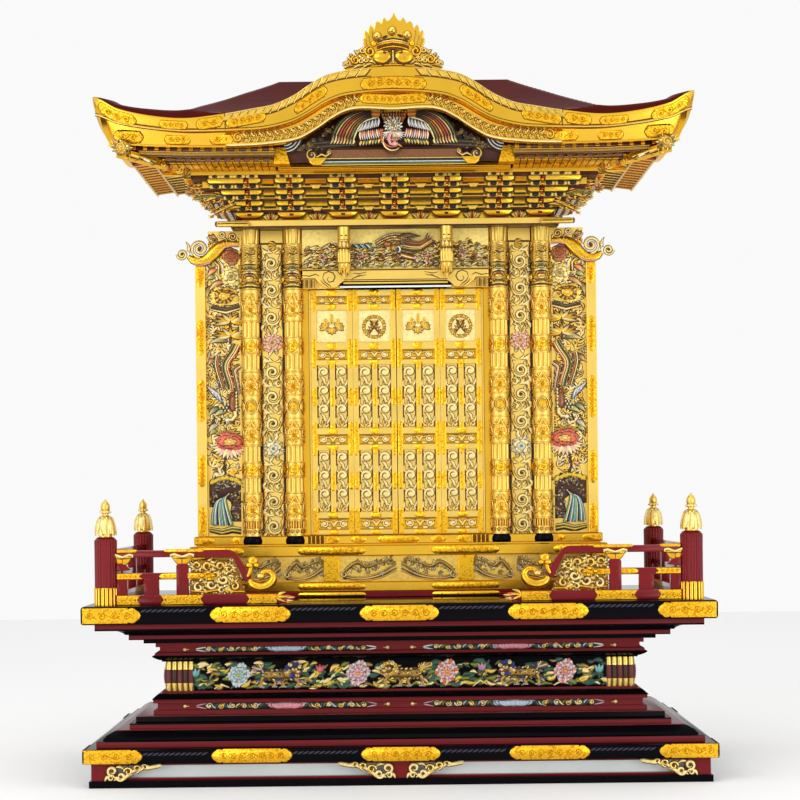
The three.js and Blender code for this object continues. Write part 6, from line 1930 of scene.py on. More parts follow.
def build_brackets():
    """Four tiers of stepping brackets with V-shaped leaves between the lowest sets."""
    tiers = []
    for tier in range(4):
        ledge, z = TIER_STEP * tier, BRACKET_Z + TIER_H * tier
        x, y = 462 + ledge, 82 + ledge
        tiers.append(block(-x + 8, x - 8, -y + 8, 245, z, z + TIER_H))
    # the bracket core is painted shade, dark brown behind the sets
    settle(join(tiers), "bracket_core", "shade_brown", replaces=["brackets"])
    backs = [block(-x + 7, x - 7, -y + 7, -y + 30, z + 7, z + 25, 0.5) for x, y, z in (
        (462 + TIER_STEP * t, 82 + TIER_STEP * t, BRACKET_Z + TIER_H * t) for t in range(1, 4))]
    settle(join(backs), "bracket_backs", "leaf")
    lowest = block(-456, 456, -78, 243, BRACKET_Z + 0.4, BRACKET_Z + TIER_H - 0.4)
    tops = [block(-x + 6, x - 6, -y + 4, 243, z - 3.6, z - 0.2, 0.6) for x, y, z in (
        (462 + TIER_STEP * t, 82 + TIER_STEP * t, BRACKET_Z + TIER_H * (t + 1))
        for t in range(1, 4))]
    settle(join([lowest] + tops), "bracket_boards", "leaf")
    for key, flat, sets in (("front", lambda t: upright(-82 - TIER_STEP * t), FRONT_SETS),
                            ("right", lambda t: flank(462 + TIER_STEP * t, 1), SIDE_SETS),
                            ("left", lambda t: flank(462 + TIER_STEP * t, -1), SIDE_SETS)):
        c = Carving(flat(0))
        for tier in range(5):
            c.place = flat(tier)
            z = BRACKET_Z + TIER_H * tier
            for a in sets:
                at = -a if key == "left" else a
                corner = key == "front" and abs(a) > 400
                if tier < 4:
                    bracket_set(c, at, z, tier, tier - 1 if corner else 0, int(copysign(1, at)))
                    continue
                # uppermost row of blocks, close under the purlin, each with a dark eye of painted
                # shadow
                steps = (-19, 19) + ((int(copysign(55, at)), int(copysign(91, at)))
                                     if corner else ())
                for step in steps:
                    c.plate(rect(at + step - 18, at + step + 18, z + 1, z + 9), -12, 1, "pale", 0.8)
                    c.bead(at + step, z + 5, 0, (10, 4.6, 5), "umber", 12, 4)
                    c.bead(at + step, z + 5, 2, (8, 3.4, 4.6), "ink", 12, 4)
            for i, a in enumerate((p + q) / 2 for p, q in zip(sets, sets[1:])):
                at = -a if key == "left" else a
                width = (sets[i + 1] - sets[i]) / 2 - 46
                if tier == 0:
                    c.plate([(at - 28, z), (at + 28, z), (at + 14, z + 8), (at - 14, z + 8)], 0, 12,
                            "rust", 0.5)
                    for s in (-1, 1):
                        for tip, w, tint in ((29, 11, "leafgold"), (22, 9, "umber"),
                                             (14, 9, "gold"), (5, 9, "rust")):
                            c.petal((at + s * 3, z + 1 + (29 - tip) * 0.2),
                                    (at + s * tip, z + 24 + (29 - tip) * 0.5), w, 5, tint, "pale",
                                    base=12 + (29 - tip) * 0.1, blunt=0.8)
                    # painted shadow under the bar above
                    c.stroke([(at - 28, z + 38, 8), (at + 28, z + 38, 8)], [1.6, 1.6], "ink")
                elif tier < 4:
                    c.plate(rect(at - width, at + width, z + 15, z + 28.5), -8, 6,
                            ("leaf", "gold", "deep")[tier - 1], 1.2)
                    c.stroke([(at - width, z + 28, 6), (at + width, z + 28, 6)], [1.2, 1.2], "pale")
                    # painted shadow under the bar
                    c.stroke([(at - width, z + 13.6, 0), (at + width, z + 13.6, 0)], [2, 2], "ink")
                    if tier == 2:
                        c.plate(rect(at - width, at + width, z + 1, z + 7), -8, 0, "umber", 0.8)
                    elif width > 20:
                        c.plate([(at - 17, z + 12), (at + 17, z + 12), (at + 9, z + 1),
                                 (at - 9, z + 1)],
                                -8, 4, "leafgold", 0.8)
        c.make(f"bracket_sets_{key}")
    for hand, side in HANDS:
        c = Carving(upright(-150, side), side < 0)
        # leafy noses at the bracket ends, one over the other, and the flat bar under them
        for (a, b), (a1, b1), w in (((505, 1730), (587, 1713), 13), ((496, 1708), (556, 1686), 12),
                                    ((478, 1704), (562, 1670), 12)):
            for lift in (9, -9):
                c.petal((a - 14, b), (a1, b1), w, lift, "leafgold", "pale", bend=0.1, n=8)
                for i, f in enumerate((0.2, 0.42, 0.64, 0.84)):
                    x, y = a + (a1 - a) * f, b + (b1 - b) * f
                    c.petal((x, y), (x + 14, y + 13 - 3 * i), 8, lift * 1.1,
                            ("umber", "gold", "rust", "gold")[i], "pale", bend=-0.12)
                    c.petal((x - 4, y), (x + 9, y - 9 + 2 * i), 6, lift * 1.1, "deep", "leafgold",
                            bend=0.1)
            c.stroke([(a, b + 6, 10), ((a + a1) / 2, (b + b1) / 2 + 5, 11), (a1 - 6, b1 + 4, 9)],
                     [1, 1.8, 1], "umber")
        for i in range(34):
            a = rng.uniform(548, 622)
            sprig(c, a, 1700 + (a - 548) * 0.75 + rng.uniform(0, 46), rng.uniform(-0.9, 0.6), 20, 3,
                  0.6, ("umber", "leafgold", "rust", "gold", "khaki")[i % 5],
                  ("cream", "pale")[i % 2], base=-rng.uniform(30, 60))
        # striped wing-like nosings that reach out under the corner beam
        for j in range(4):
            x0, z0 = 500 + 8 * j, 1726 + 15 * j
            for i in range(5):
                c.stroke([(x0, z0 + 4 * i, 6 - i), (x0 + 50, z0 + 12 + 5 * i, 9 - i),
                          (x0 + 96 - 4 * j, z0 + 8 + 8 * i, 4 - i)], [2.6, 3.2, 1.6],
                         ("moss", "pale", "rust", "leafgold", "umber")[(i + j) % 5], 1.4)
        for i in range(9):
            sprig(c, 500 + 16 * i, 1716 + 9 * i, (2.6, -0.4)[i % 2] + 0.1 * i, 22, 3, 0.7,
                  ("gold", "rust", "leafgold")[i % 3], "pale", base=4)
        c.plate([(440, 1645), (532, 1645), (540, 1649), (540, 1657), (532, 1661), (440, 1661)], -8,
                8, "leafgold", 2)
        c.stroke([(444, 1653, 9), (534, 1653, 9)], [1.6, 1.6], "cocoa")
        c.bead(538, 1653, 0, (6, 9, 9), "umber", 8, 5)
        c.make(f"corner_nosings_{hand}", slot="gilt_fittings")


# ---------------------------------------------------------------- eaves
def build_eaves():
    """Purlin, two rows of rafters with their batten, corner beams and the soffit."""
    purlin = [block(-632, 632, -244, -220, 1785, 1797, 1.2)]
    for s in (-1, 1):
        purlin.append(block(s * 604, s * 628, -221, 243, 1777, 1795, 1.2))
        purlin.append(block(s * 600, s * 688, -242, -222, 1785, 1797, 1.2))
    settle(join(purlin), "eaves_purlin", "leaf", replaces=["eaves"])
    core = block(-606, 606, -222, 243, 1776, 1835)
    board = block(-786, 786, -290, 232, 1839, 1846)
    wings = [block(s * 346, s * 786, -364, -288, 1839, 1846) for s in (-1, 1)]
    # the soffit is painted shade, dark brown under the eaves
    settle(join([core, board] + wings), "eaves_soffit", "shade_brown")

    lower = slab(rect(0, 10, 0, 9), 0, 96, 0.8)
    bars = [(s * (360 + 28.5 * i) - 5, -320, 1811 + 0.06 * i * i) for s in (-1, 1)
            for i in range(12)]
    settle(copies(lower, bars), "lower_rafters_front", "leaf")
    upper = slab(rect(0, 12, 0, 11), 0, 60, 0.8)
    bars = [(s * (356 + 33.2 * i) - 6, -372, 1832 + 0.04 * i * i) for s in (-1, 1)
            for i in range(13)]
    settle(copies(upper, bars), "upper_rafters_front", "leaf")
    # boards seen between the rafter ends, the batten that divides them, and the ribbed cove
    c = Carving(upright(-362))
    low = Carving(upright(-306))
    for s in (-1, 1):
        c.plate([(s * 346, 1829), (s * 600, 1829), (s * 764, 1836), (s * 764, 1848),
                 (s * 346, 1848)],
                -4, 0, "plum", 0.8)
        c.plate([(s * 346, 1816), (s * 600, 1817), (s * 740, 1822), (s * 740, 1836),
                 (s * 600, 1831), (s * 346, 1830)], -8, 6, "khaki", 1.6)
        c.stroke([(s * 346, 1829, 6), (s * 600, 1830, 6), (s * 740, 1835, 6)], [1.4, 1.4], "pale")
        c.stroke([(s * 346, 1817, 6), (s * 600, 1818, 6), (s * 740, 1823, 6)], [1.4, 1.4], "cocoa")
        low.plate([(s * 346, 1810), (s * 560, 1812), (s * 700, 1818), (s * 700, 1830),
                   (s * 346, 1824)], -4, 0, "plum", 0.8)
    c.make("upper_rafter_board")
    low.make("lower_rafter_board")
    ends = [slab([(s * 304, 1797), (s * 350, 1797), (s * 350, 1846), (s * 318, 1846)], -344, -300,
                 1)
            for s in (-1, 1)]
    settle(join(ends), "rafter_end_blocks", "chased")
    cove = Carving(lambda a, b, h: (a, -244 - b * 1.9, 1797 + b * 0.42 - h))
    for s in (-1, 1):
        for i in range(15):
            a, lean = s * (360 + 19.6 * i), s * 1.1 * i
            cove.plate([(a - 9, 0), (a + 9, 0), (a + 9 + lean, 33), (a - 9 + lean, 33)], -1, 3,
                       "leaf", 1)
            cove.plate([(a + 8, 0), (a + 11, 0), (a + 11 + lean, 33), (a + 8 + lean, 33)], -1, 0.6,
                       "umber", 0.3)
    cove.make("eaves_cove", slot="gold_leaf")
    for key, side in (("right", 1), ("left", -1)):
        # rafters under the side eaves: the flying row outside, the long row inside
        c = Carving(lambda a, b, h, side=side: (side * (640 + a), b, 1828 - 0.13 * a - h))
        for i in range(26):
            y = -300 + 20.6 * i
            for run, lift, tint in (((64, 124), 2, ("rust", "leafgold")[i % 2]),
                                    ((-14, 56), 10, ("umber", "pale")[i % 2])):
                c.stroke([(run[0], y, lift), (run[1], y, lift)], [4.2, 4.2], tint, 1.6)
                c.stroke([(run[0], y + 6, lift), (run[1], y + 6, lift)], [1.6, 1.6], "pale", 1.2)
                c.stroke([(run[0], y + 12, lift), (run[1], y + 12, lift)], [3.4, 3.4], "cocoa", 1)
        for a, w, lift in ((60, 4, 14), (124, 4, 5), (-14, 4, 16)):
            c.stroke([(a, -300, lift), (a, 236, lift)], [w, w], "leafgold", 1.4)
        c.plate(rect(-16, 128, -304, 238), -6, 0.5, "rustred", 0.3)
        c.make(f"side_rafters_{key}")
        c = Carving(lambda a, b, h, side=side: (side * (768 + 0.56 * b + 0.8 * h), a,
                                                1808 + 0.83 * b - 0.5 * h))
        c.plate(rect(-392, 258, 0, 62), -5, 2, "sienna", 1)
        for b in (14, 30, 46):
            c.stroke([(-390, b, 2), (256, b, 2)], [1.4, 1.4], "umber")
        c.make(f"side_eaves_board_{key}")
        # corner beam out to the tip, with its carved block end
        deselect()
        bpy.ops.mesh.primitive_cube_add(size=1, location=(side * 708 * MM, -318 * MM, 1813 * MM))
        beam = bpy.context.object
        beam.scale = (30 * MM, 236 * MM, 24 * MM)
        beam.rotation_euler = (radians(-5), 0, side * PI / 4)
        bpy.ops.object.transform_apply(location=True, rotation=True, scale=True)
        bevel(beam, 1.5)
        settle(beam, f"corner_beam_{key}", "leaf")
        c = Carving(upright(-396, side), side < 0)
        c.plate([(760, 1820), (796, 1817), (806, 1834), (802, 1850), (776, 1858), (758, 1846)], -14,
                20, "khaki", 3)
        volute(c, 784, 1838, 13, 1, 0, 5, 1.25, "leafgold", 20, "pale", 16)
        for i in range(22):
            t = 2 * PI * i / 22
            c.petal(ray(782, 1837, t, 13, 11),
                    (783 + rng.uniform(24, 33) * cos(t + 0.25),
                     1837 + rng.uniform(18, 25) * sin(t + 0.25)), 11, 5,
                    ("leafgold", "khaki", "gold", "umber", "pale")[i % 5],
                    ("cream", "umber")[i % 2], 0.2, base=15 + 3 * (i % 2))
        sprig(c, 808, 1842, 0.7, 20, 3, 0.5, "gold", "pale", base=10)
        c.stroke([(690, 1800, -30), (730, 1812, -16), (756, 1818, 4)], [6, 6, 6], "leafgold", 1)
        for i in range(4):
            a = 690 + 18 * i
            c.stroke([(a, 1796 + 5 * i, -24 + 6 * i), (a + 14, 1804 + 5 * i, -18 + 6 * i)],
                     [2.4, 2.4], ("ink", "white")[i % 2], 1)
        for i in range(8):
            a, b = 620 + 20 * i, 1780 + 5 * i
            sprig(c, a, b, 2.4 - 0.3 * i, 22, 3, 0.6, ("umber", "leafgold", "rust", "gold")[i % 4],
                  "pale", base=-142 + 20 * i)
        c.make(f"corner_beam_end_{key}", slot="gilt_fittings")


# ---------------------------------------------------------------- roof
ROOF_HALF_W, ROOF_HALF_D, ROOF_MID_Y, FASCIA_T = 861, 372.5, -67.5, 44
EAVE_Z, CORNER_RISE, RIDGE_Z, RIDGE_HALF, ROOF_FLOOR_Z, GABLE_HALF = 1912, 65, 2099, 352, 1893, 484


def through(pairs):
    """Smooth curve through (x, value) pairs, the same on both sides of the middle."""
    px, pv = (np.array(v, float) for v in zip(*pairs))
    slope = np.zeros(len(px))
    slope[1:-1] = (pv[2:] - pv[:-2]) / (px[2:] - px[:-2])

    def at(x):
        x = np.clip(np.abs(np.asarray(x, float)), 0, px[-1])
        i = np.clip(np.searchsorted(px, x, side="left"), 1, len(px) - 1)
        h = px[i] - px[i - 1]
        t = (x - px[i - 1]) / h
        return (pv[i - 1] * (1 - 3 * t ** 2 + 2 * t ** 3) + h * slope[i - 1]
                * (t - 2 * t ** 2 + t ** 3)
                + pv[i] * (3 * t ** 2 - 2 * t ** 3) + h * slope[i] * (t ** 3 - t ** 2))
    return at


front_top = through([(0, 2055), (50, 2053), (137, 2045), (196, 2031), (237, 2008), (284, 1977),
                     (343, 1951), (400, 1940), (483, 1926), (594, 1914), (694, 1922), (791, 1944),
                     (861, 1977)])
front_split = through([(0, 1987), (137, 1976), (196, 1955), (237, 1930), (284, 1905), (343, 1888),
                       (400, 1880), (594, 1876), (694, 1884), (791, 1901), (861, 1925)])
gable_bottom = through([(0, 1936), (96, 1940), (140, 1932), (179, 1912), (214, 1888), (240, 1872),
                        (268, 1857), (301, 1848), (340, 1843), (400, 1838), (484, 1836)])


def surface(name, rings, closed=True):
    """Skin over rings of points in mm; closed joins the last ring to the first."""
    n, count = len(rings[0]), len(rings)
    last = count if closed else count - 1
    faces = [[r * n + i, r * n + (i + 1) % n, (r + 1) % count * n + (i + 1) % n,
              (r + 1) % count * n + i] for r in range(last) for i in range(n)]
    if not closed:
        faces += [list(range(n))[::-1], [(count - 1) * n + i for i in range(n)]]
    ob = shell(name, [tuple(v * MM for v in p) for ring in rings for p in ring], faces)
    open_blank(ob)
    close_blank()
    ob.data.shade_smooth()
    return ob


def eave_levels(s, front):
    x = abs(s) * ROOF_HALF_W
    if not front:
        return (EAVE_Z + CORNER_RISE * abs(s) ** 5, 1876 + 49 * abs(s) ** 5,
                1856 - 7 * abs(s) ** 5)
    low = front_split(x) - 6 if x < GABLE_HALF else 1836 + 13 * abs(s) ** 5
    return float(front_top(x)), float(front_split(x)), float(low)


def upper_band(a, b, h):
    """Place on the fascia's upper band: b is the drop in mm from its top edge."""
    span = front_top(a) - front_split(a)
    return a, -440 + 16 * b / span - h, front_top(a) - b


def lower_band(a, b, h):
    """Place on the lower band: b is the height in mm above its lower edge."""
    x = np.abs(a)
    gabled = x < GABLE_HALF
    low = np.where(gabled, gable_bottom(np.minimum(x, GABLE_HALF)),
                   1836 + 13 * (x / ROOF_HALF_W) ** 5)
    y = np.where(gabled, -414.0, -398 - 17 * np.clip(b / 40, 0, 1))
    return a, y - h, low + b


def build_fascia():
    """Two leaning bands all round the eaves; the front's upper band follows the gable."""
    def section(level, place):
        top, split, low = level
        gabled = low > split - 10
        shape = [(0, top), (0.5, top - 3), (16, split + 7), (13, split + 6), (13, split + 2),
                 (24, split - 1)]
        if gabled:
            shape += [(26, split - 3), (30, low), (36, low), (40, low), (42, low)]
            shape += [(FASCIA_T, low + 1), (FASCIA_T, top - 2)]
        else:
            shape += [(25, split - 3), (42, low + 5), (39, low + 4), (39, low), (60, low)]
            shape += [(FASCIA_T, ROOF_FLOOR_Z - 1), (FASCIA_T, top - 2)]
        return [place(inset, z) for inset, z in shape]

    def lean(z):
        return 1.42 if z < 1936 else 1.0

    def mitre(s):
        return copysign(max(0, (abs(s) - 0.6) / 0.4), s)

    end = GABLE_HALF / ROOF_HALF_W
    half = sorted(set(np.linspace(0, end - 0.002, 34)) | set(np.linspace(end + 0.0006, 1, 30))
                  | {end - 0.0006})
    stations = [-s for s in half[:0:-1]] + half
    side = np.linspace(-1, 1, 31)[:-1]
    rings = [section(eave_levels(s, True), lambda i, z, s=s: (
        s * ROOF_HALF_W - i * lean(z) * mitre(s), ROOF_MID_Y - ROOF_HALF_D + i, z))
             for s in stations]
    rings += [section(eave_levels(t, False), lambda i, z, t=t: (
        ROOF_HALF_W - i * lean(z), ROOF_MID_Y + t * (ROOF_HALF_D - i), z)) for t in side]
    rings += [section(eave_levels(s, False), lambda i, z, s=s: (
        -s * (ROOF_HALF_W - i * lean(z)), ROOF_MID_Y + ROOF_HALF_D - i, z))
              for s in np.linspace(-1, 1, 41)[:-1]]
    rings += [section(eave_levels(t, False), lambda i, z, t=t: (
        -ROOF_HALF_W + i * lean(z), ROOF_MID_Y - t * (ROOF_HALF_D - i), z)) for t in side]
    settle(surface("fascia", rings), "eave_fascia_gilded", "leaf", replaces=["eave_fascia"],
           smooth=30)

    # hanging band of the gable, with its scrolled ends and lip
    xs = np.linspace(-GABLE_HALF + 1, GABLE_HALF - 1, 91)
    rings = []
    for x in xs:
        low, top = float(gable_bottom(x)), float(front_split(x)) - 7
        rings.append([(x, -414, top), (x, -414, low + 10), (x, -419, low + 9), (x, -419, low + 2),
                      (x, -415, low), (x, -390, low), (x, -388, low + 2), (x, -388, top)])
    settle(surface("board", rings, False), "gable_board_gilded", "leaf", replaces=["gable_board"],
           smooth=40)

    for key, place, runs in (
            ("upper", upper_band, ((-94, 94, 27, 60), (190, 284, 26, 58), (366, 480, 12, 42),
                                   (489, 566, 5, 34), (590, 672, 8, 30), (738, 846, 6, 38))),
            ("lower", lower_band, ((-96, 96, 16, 44), (462, 530, 8, 34), (586, 660, 8, 32),
                                   (722, 806, 9, 40)))):
        plates, relief = Carving(place), Carving(place)
        for a0, a1, b0, b1 in runs:
            for sx in ((1,) if a0 < 0 else (-1, 1)):
                lo, hi = sorted((sx * a0, sx * a1))
                gilt_run(plates, relief, lo, hi, b0, b1)
        plates.make(f"fascia_{key}_plates", "chased")
        relief.make(f"fascia_{key}_vines")
    c = Carving(upper_band)
    for sx in (-1, 1):
        # slanting tile ends along the swell, each with a pale edge
        x, lean = 62.0, 15
        while x < 466:
            step = 23 if x > 150 else 29
            c.plate([(sx * x, 4), (sx * (x + step), 4), (sx * (x + step + lean), 22),
                     (sx * (x + lean), 22)], -1, 1.2, "umber", 0.4)
            c.plate([(sx * (x + 4), 4), (sx * (x + step - 1), 4), (sx * (x + step + lean - 1), 20),
                     (sx * (x + lean + 4), 20)], 0, 3.0, "leafgold", 1.0)
            c.stroke([(sx * (x + step), 3, 1), (sx * (x + step + lean), 22, 1)], [1.5, 1.5], "pale")
            x += step
        c.stroke([(sx * v, 23) for v in np.linspace(62, 482, 60)], [1.3, 1.3], "umber")
        c.stroke([(sx * v, 2) for v in np.linspace(62, 482, 60)], [2.0, 2.2], "pale")
        c.stroke([(sx * 483, b) for b in (0, 20, 44)], [1.6, 1.6], "umber")
    c.make("fascia_tile_ends", slot="gilt_fittings")
    c = Carving(upper_band)
    xs = np.linspace(-856, 856, 240)
    span = front_top(xs) - front_split(xs)
    for drop, w, tint in ((4.0, 1.8, "pale"), (1.0, 1.0, "umber"), (8.5, 1.0, "umber")):
        c.stroke(np.column_stack([xs, span - drop]), [w, w], tint)
    c.make("fascia_beads", slot="gilt_fittings")
    c = Carving(lower_band, rim=1.0)
    xs = np.linspace(-GABLE_HALF + 4, GABLE_HALF - 4, 160)
    c.stroke(np.column_stack([xs, np.full(160, 3.0)]), [2.6, 2.6], "cream", 1, 4)
    c.stroke(np.column_stack([xs, np.full(160, 9.0)]), [1.1, 1.1], "umber", 1, 1)
    for sx in (-1, 1):
        for i in range(29):
            a, up = sx * (104 + i * 11.4), (-1) ** i
            c.petal((a + sx * 4, 24), (a + sx * 15, 24 - up * 15), 9, 3, ("rust", "umber")[i % 2],
                    "gold", bend=0.16 * sx)
            c.petal((a, 27), (a + sx * 10, 24 + up * 16), 8, 3.4, "gold", "cream", bend=-0.12 * sx)
            volute(c, a, 24 + 4 * up, 7.4, up * sx, PI * 0.5 * up, 3, 1.25, "leaf", 2,
                   ("cream", "leafgold")[i % 2], 11)
        volute(c, sx * 448, 25, 14, -sx, PI / 2 + sx * 0.4, 5.5, 1.35, "gold", 1, "pale", 20)
        c.stroke([(sx * 428, 12), (sx * 448, 7), (sx * 470, 14)], [2, 3.5, 2], "pale")
    c.make("gable_board_carving", slot="gilt_fittings")


def gilt_run(plates, relief, a0, a1, b0, b1):
    """Chased plate that follows the bent fascia, its ends stepped and pointed."""
    mid, half, reach = (b0 + b1) / 2, (b1 - b0) / 2, (b1 - b0) * 0.62
    cap = [(0, 0.06), (0.2, 0.5), (0.32, 0.62), (0.42, 0.88), (0.66, 0.98), (0.88, 0.86), (1, 1)]
    ends = np.array([(reach * s, t) for s, t in cap])
    n = max(4, int((a1 - a0 - 2 * reach) / 8))
    a = np.concatenate([a0 + ends[:, 0], np.linspace(a0 + reach, a1 - reach, n)[1:-1],
                        (a1 - ends[:, 0])[::-1]])
    t = np.concatenate([ends[:, 1], np.ones(n - 2), ends[::-1, 1]])
    for grow, h, made, tint in ((1.5, 0.7, relief, "bronze"), (0.0, 2.4, plates, "deep")):
        rows = np.array([-1, -0.92, -0.4, 0.4, 0.92, 1])
        line = mid + a * 0 + rows[:, None] * (t * half + grow)
        stretch = (a - (a0 + a1) / 2) * (1 + 2 * grow / (a1 - a0)) + (a0 + a1) / 2
        depth = np.where(np.abs(rows) < 1, h, -0.5)[:, None] + 0 * line
        depth[:, [0, -1]] = -0.5
        points = np.column_stack([np.tile(stretch, len(rows)), line.ravel(), depth.ravel()])
        k = len(a)
        quads = [[j * k + i, (j + 1) * k + i, (j + 1) * k + i + 1, j * k + i + 1]
                 for j in range(len(rows) - 1) for i in range(k - 1)]
        made.gather(points, made.shade(tint, np.full(len(points), 0.6)), quads, [])
    count = max(2, round((a1 - a0 - 1.4 * reach) / (half * 1.5)))
    vine(relief, (a0 + reach * 0.7, mid), (a1 - reach * 0.7, mid), count, half * 0.52, half * 0.2,
         "rustgold", "gold", 2, 2.0, 0.9)


def roof_height(x, t, half_x):
    run = np.minimum(1, np.minimum((half_x - np.abs(x)) / (half_x - RIDGE_HALF), 1 - np.abs(t)))
    run = np.clip(run, 0, 1)
    run = run ** 1.27
    s = x / half_x
    main = EAVE_Z + CORNER_RISE * np.abs(s) ** 8 * np.abs(t) ** 8 * 0.55 + (RIDGE_Z - EAVE_Z) * run
    swell = np.where((t < 0.15) & (np.abs(x) < 600), front_top(x) + 4 - (t + 1) * 6, 0)
    return np.maximum(main, swell)


def build_roof():
    """Hipped roof with flared eaves; the gable's swell runs into it from the front."""
    inset = FASCIA_T + 0.3
    half_x, half_y = ROOF_HALF_W - inset, ROOF_HALF_D - inset
    xs, ts = np.linspace(-half_x, half_x, 141), np.linspace(-1, 1, 73)
    X, T = np.meshgrid(xs, ts)
    Z = roof_height(X, T, half_x)
    Y = ROOF_MID_Y + T * half_y
    nx, ny = len(xs), len(ts)
    top = np.column_stack([X.ravel(), Y.ravel(), Z.ravel()])
    low = np.column_stack([X.ravel(), Y.ravel(), np.where(
        (np.abs(X) < 356) & (T < -0.3), Z - 12, ROOF_FLOOR_Z).ravel()])
    faces = []
    for j in range(ny - 1):
        for i in range(nx - 1):
            a = j * nx + i
            faces.append([a, a + 1, a + nx + 1, a + nx])
            faces.append([nx * ny + v for v in (a, a + nx, a + nx + 1, a + 1)])
    rim = list(range(nx)) + [j * nx + nx - 1 for j in range(1, ny)]
    rim += [(ny - 1) * nx + i for i in range(nx - 2, -1, -1)]
    rim += [j * nx for j in range(ny - 2, 0, -1)]
    for a, b in zip(rim, rim[1:] + rim[:1]):
        faces.append([b, a, a + nx * ny, b + nx * ny])
    ob = shell("roof_shell", (np.vstack([top, low]) * MM).tolist(), faces)
    ob.data.shade_smooth()
    settle(ob, "roof_lacquered", "roof", replaces=["roof"], smooth=28)
    # painted shadow: thin raised black lines across the roof, where a dark line of shade falls
    shadow_lines = Carving(lambda a, b, h: (a, ROOF_MID_Y + b * half_y,
                                     roof_height(a, b, half_x) + h))
    for line in ([(x, -0.36) for x in np.linspace(-430, 430, 90)],
                 [(-452, t) for t in np.linspace(-0.36, -0.7, 16)],
                 [(452, t) for t in np.linspace(-0.36, -0.7, 16)]):
        shadow_lines.stroke(line, [0.005, 0.005], "ink", 300, -1)
    shadow_lines.make("roof_shadow_lines", "black")
    # the roof covering's thick dark edge shows above the gilt fascia outside the gable
    for hand, side in HANDS:
        rings = []
        for x in np.linspace(480, 858, 40):
            z = float(front_top(x))
            thick = float(np.interp(x, (480, 545, 585, 620, 700, 780, 830, 858),
                                    (4, 17, 27, 24, 20, 14, 6, 1)))
            shift = 36 * max(0, (x / ROOF_HALF_W - 0.6) / 0.4)
            rings.append([(side * x, -436, z - 2), (side * x, -437, z + thick * 0.7),
                          (side * (x - shift * 0.2), -431, z + thick),
                          (side * (x - shift), -396, z + thick * 0.8),
                          (side * (x - shift), -396, z - 2)])
        settle(surface("lip", rings, False), f"roof_edge_{hand}", "roof", smooth=40)


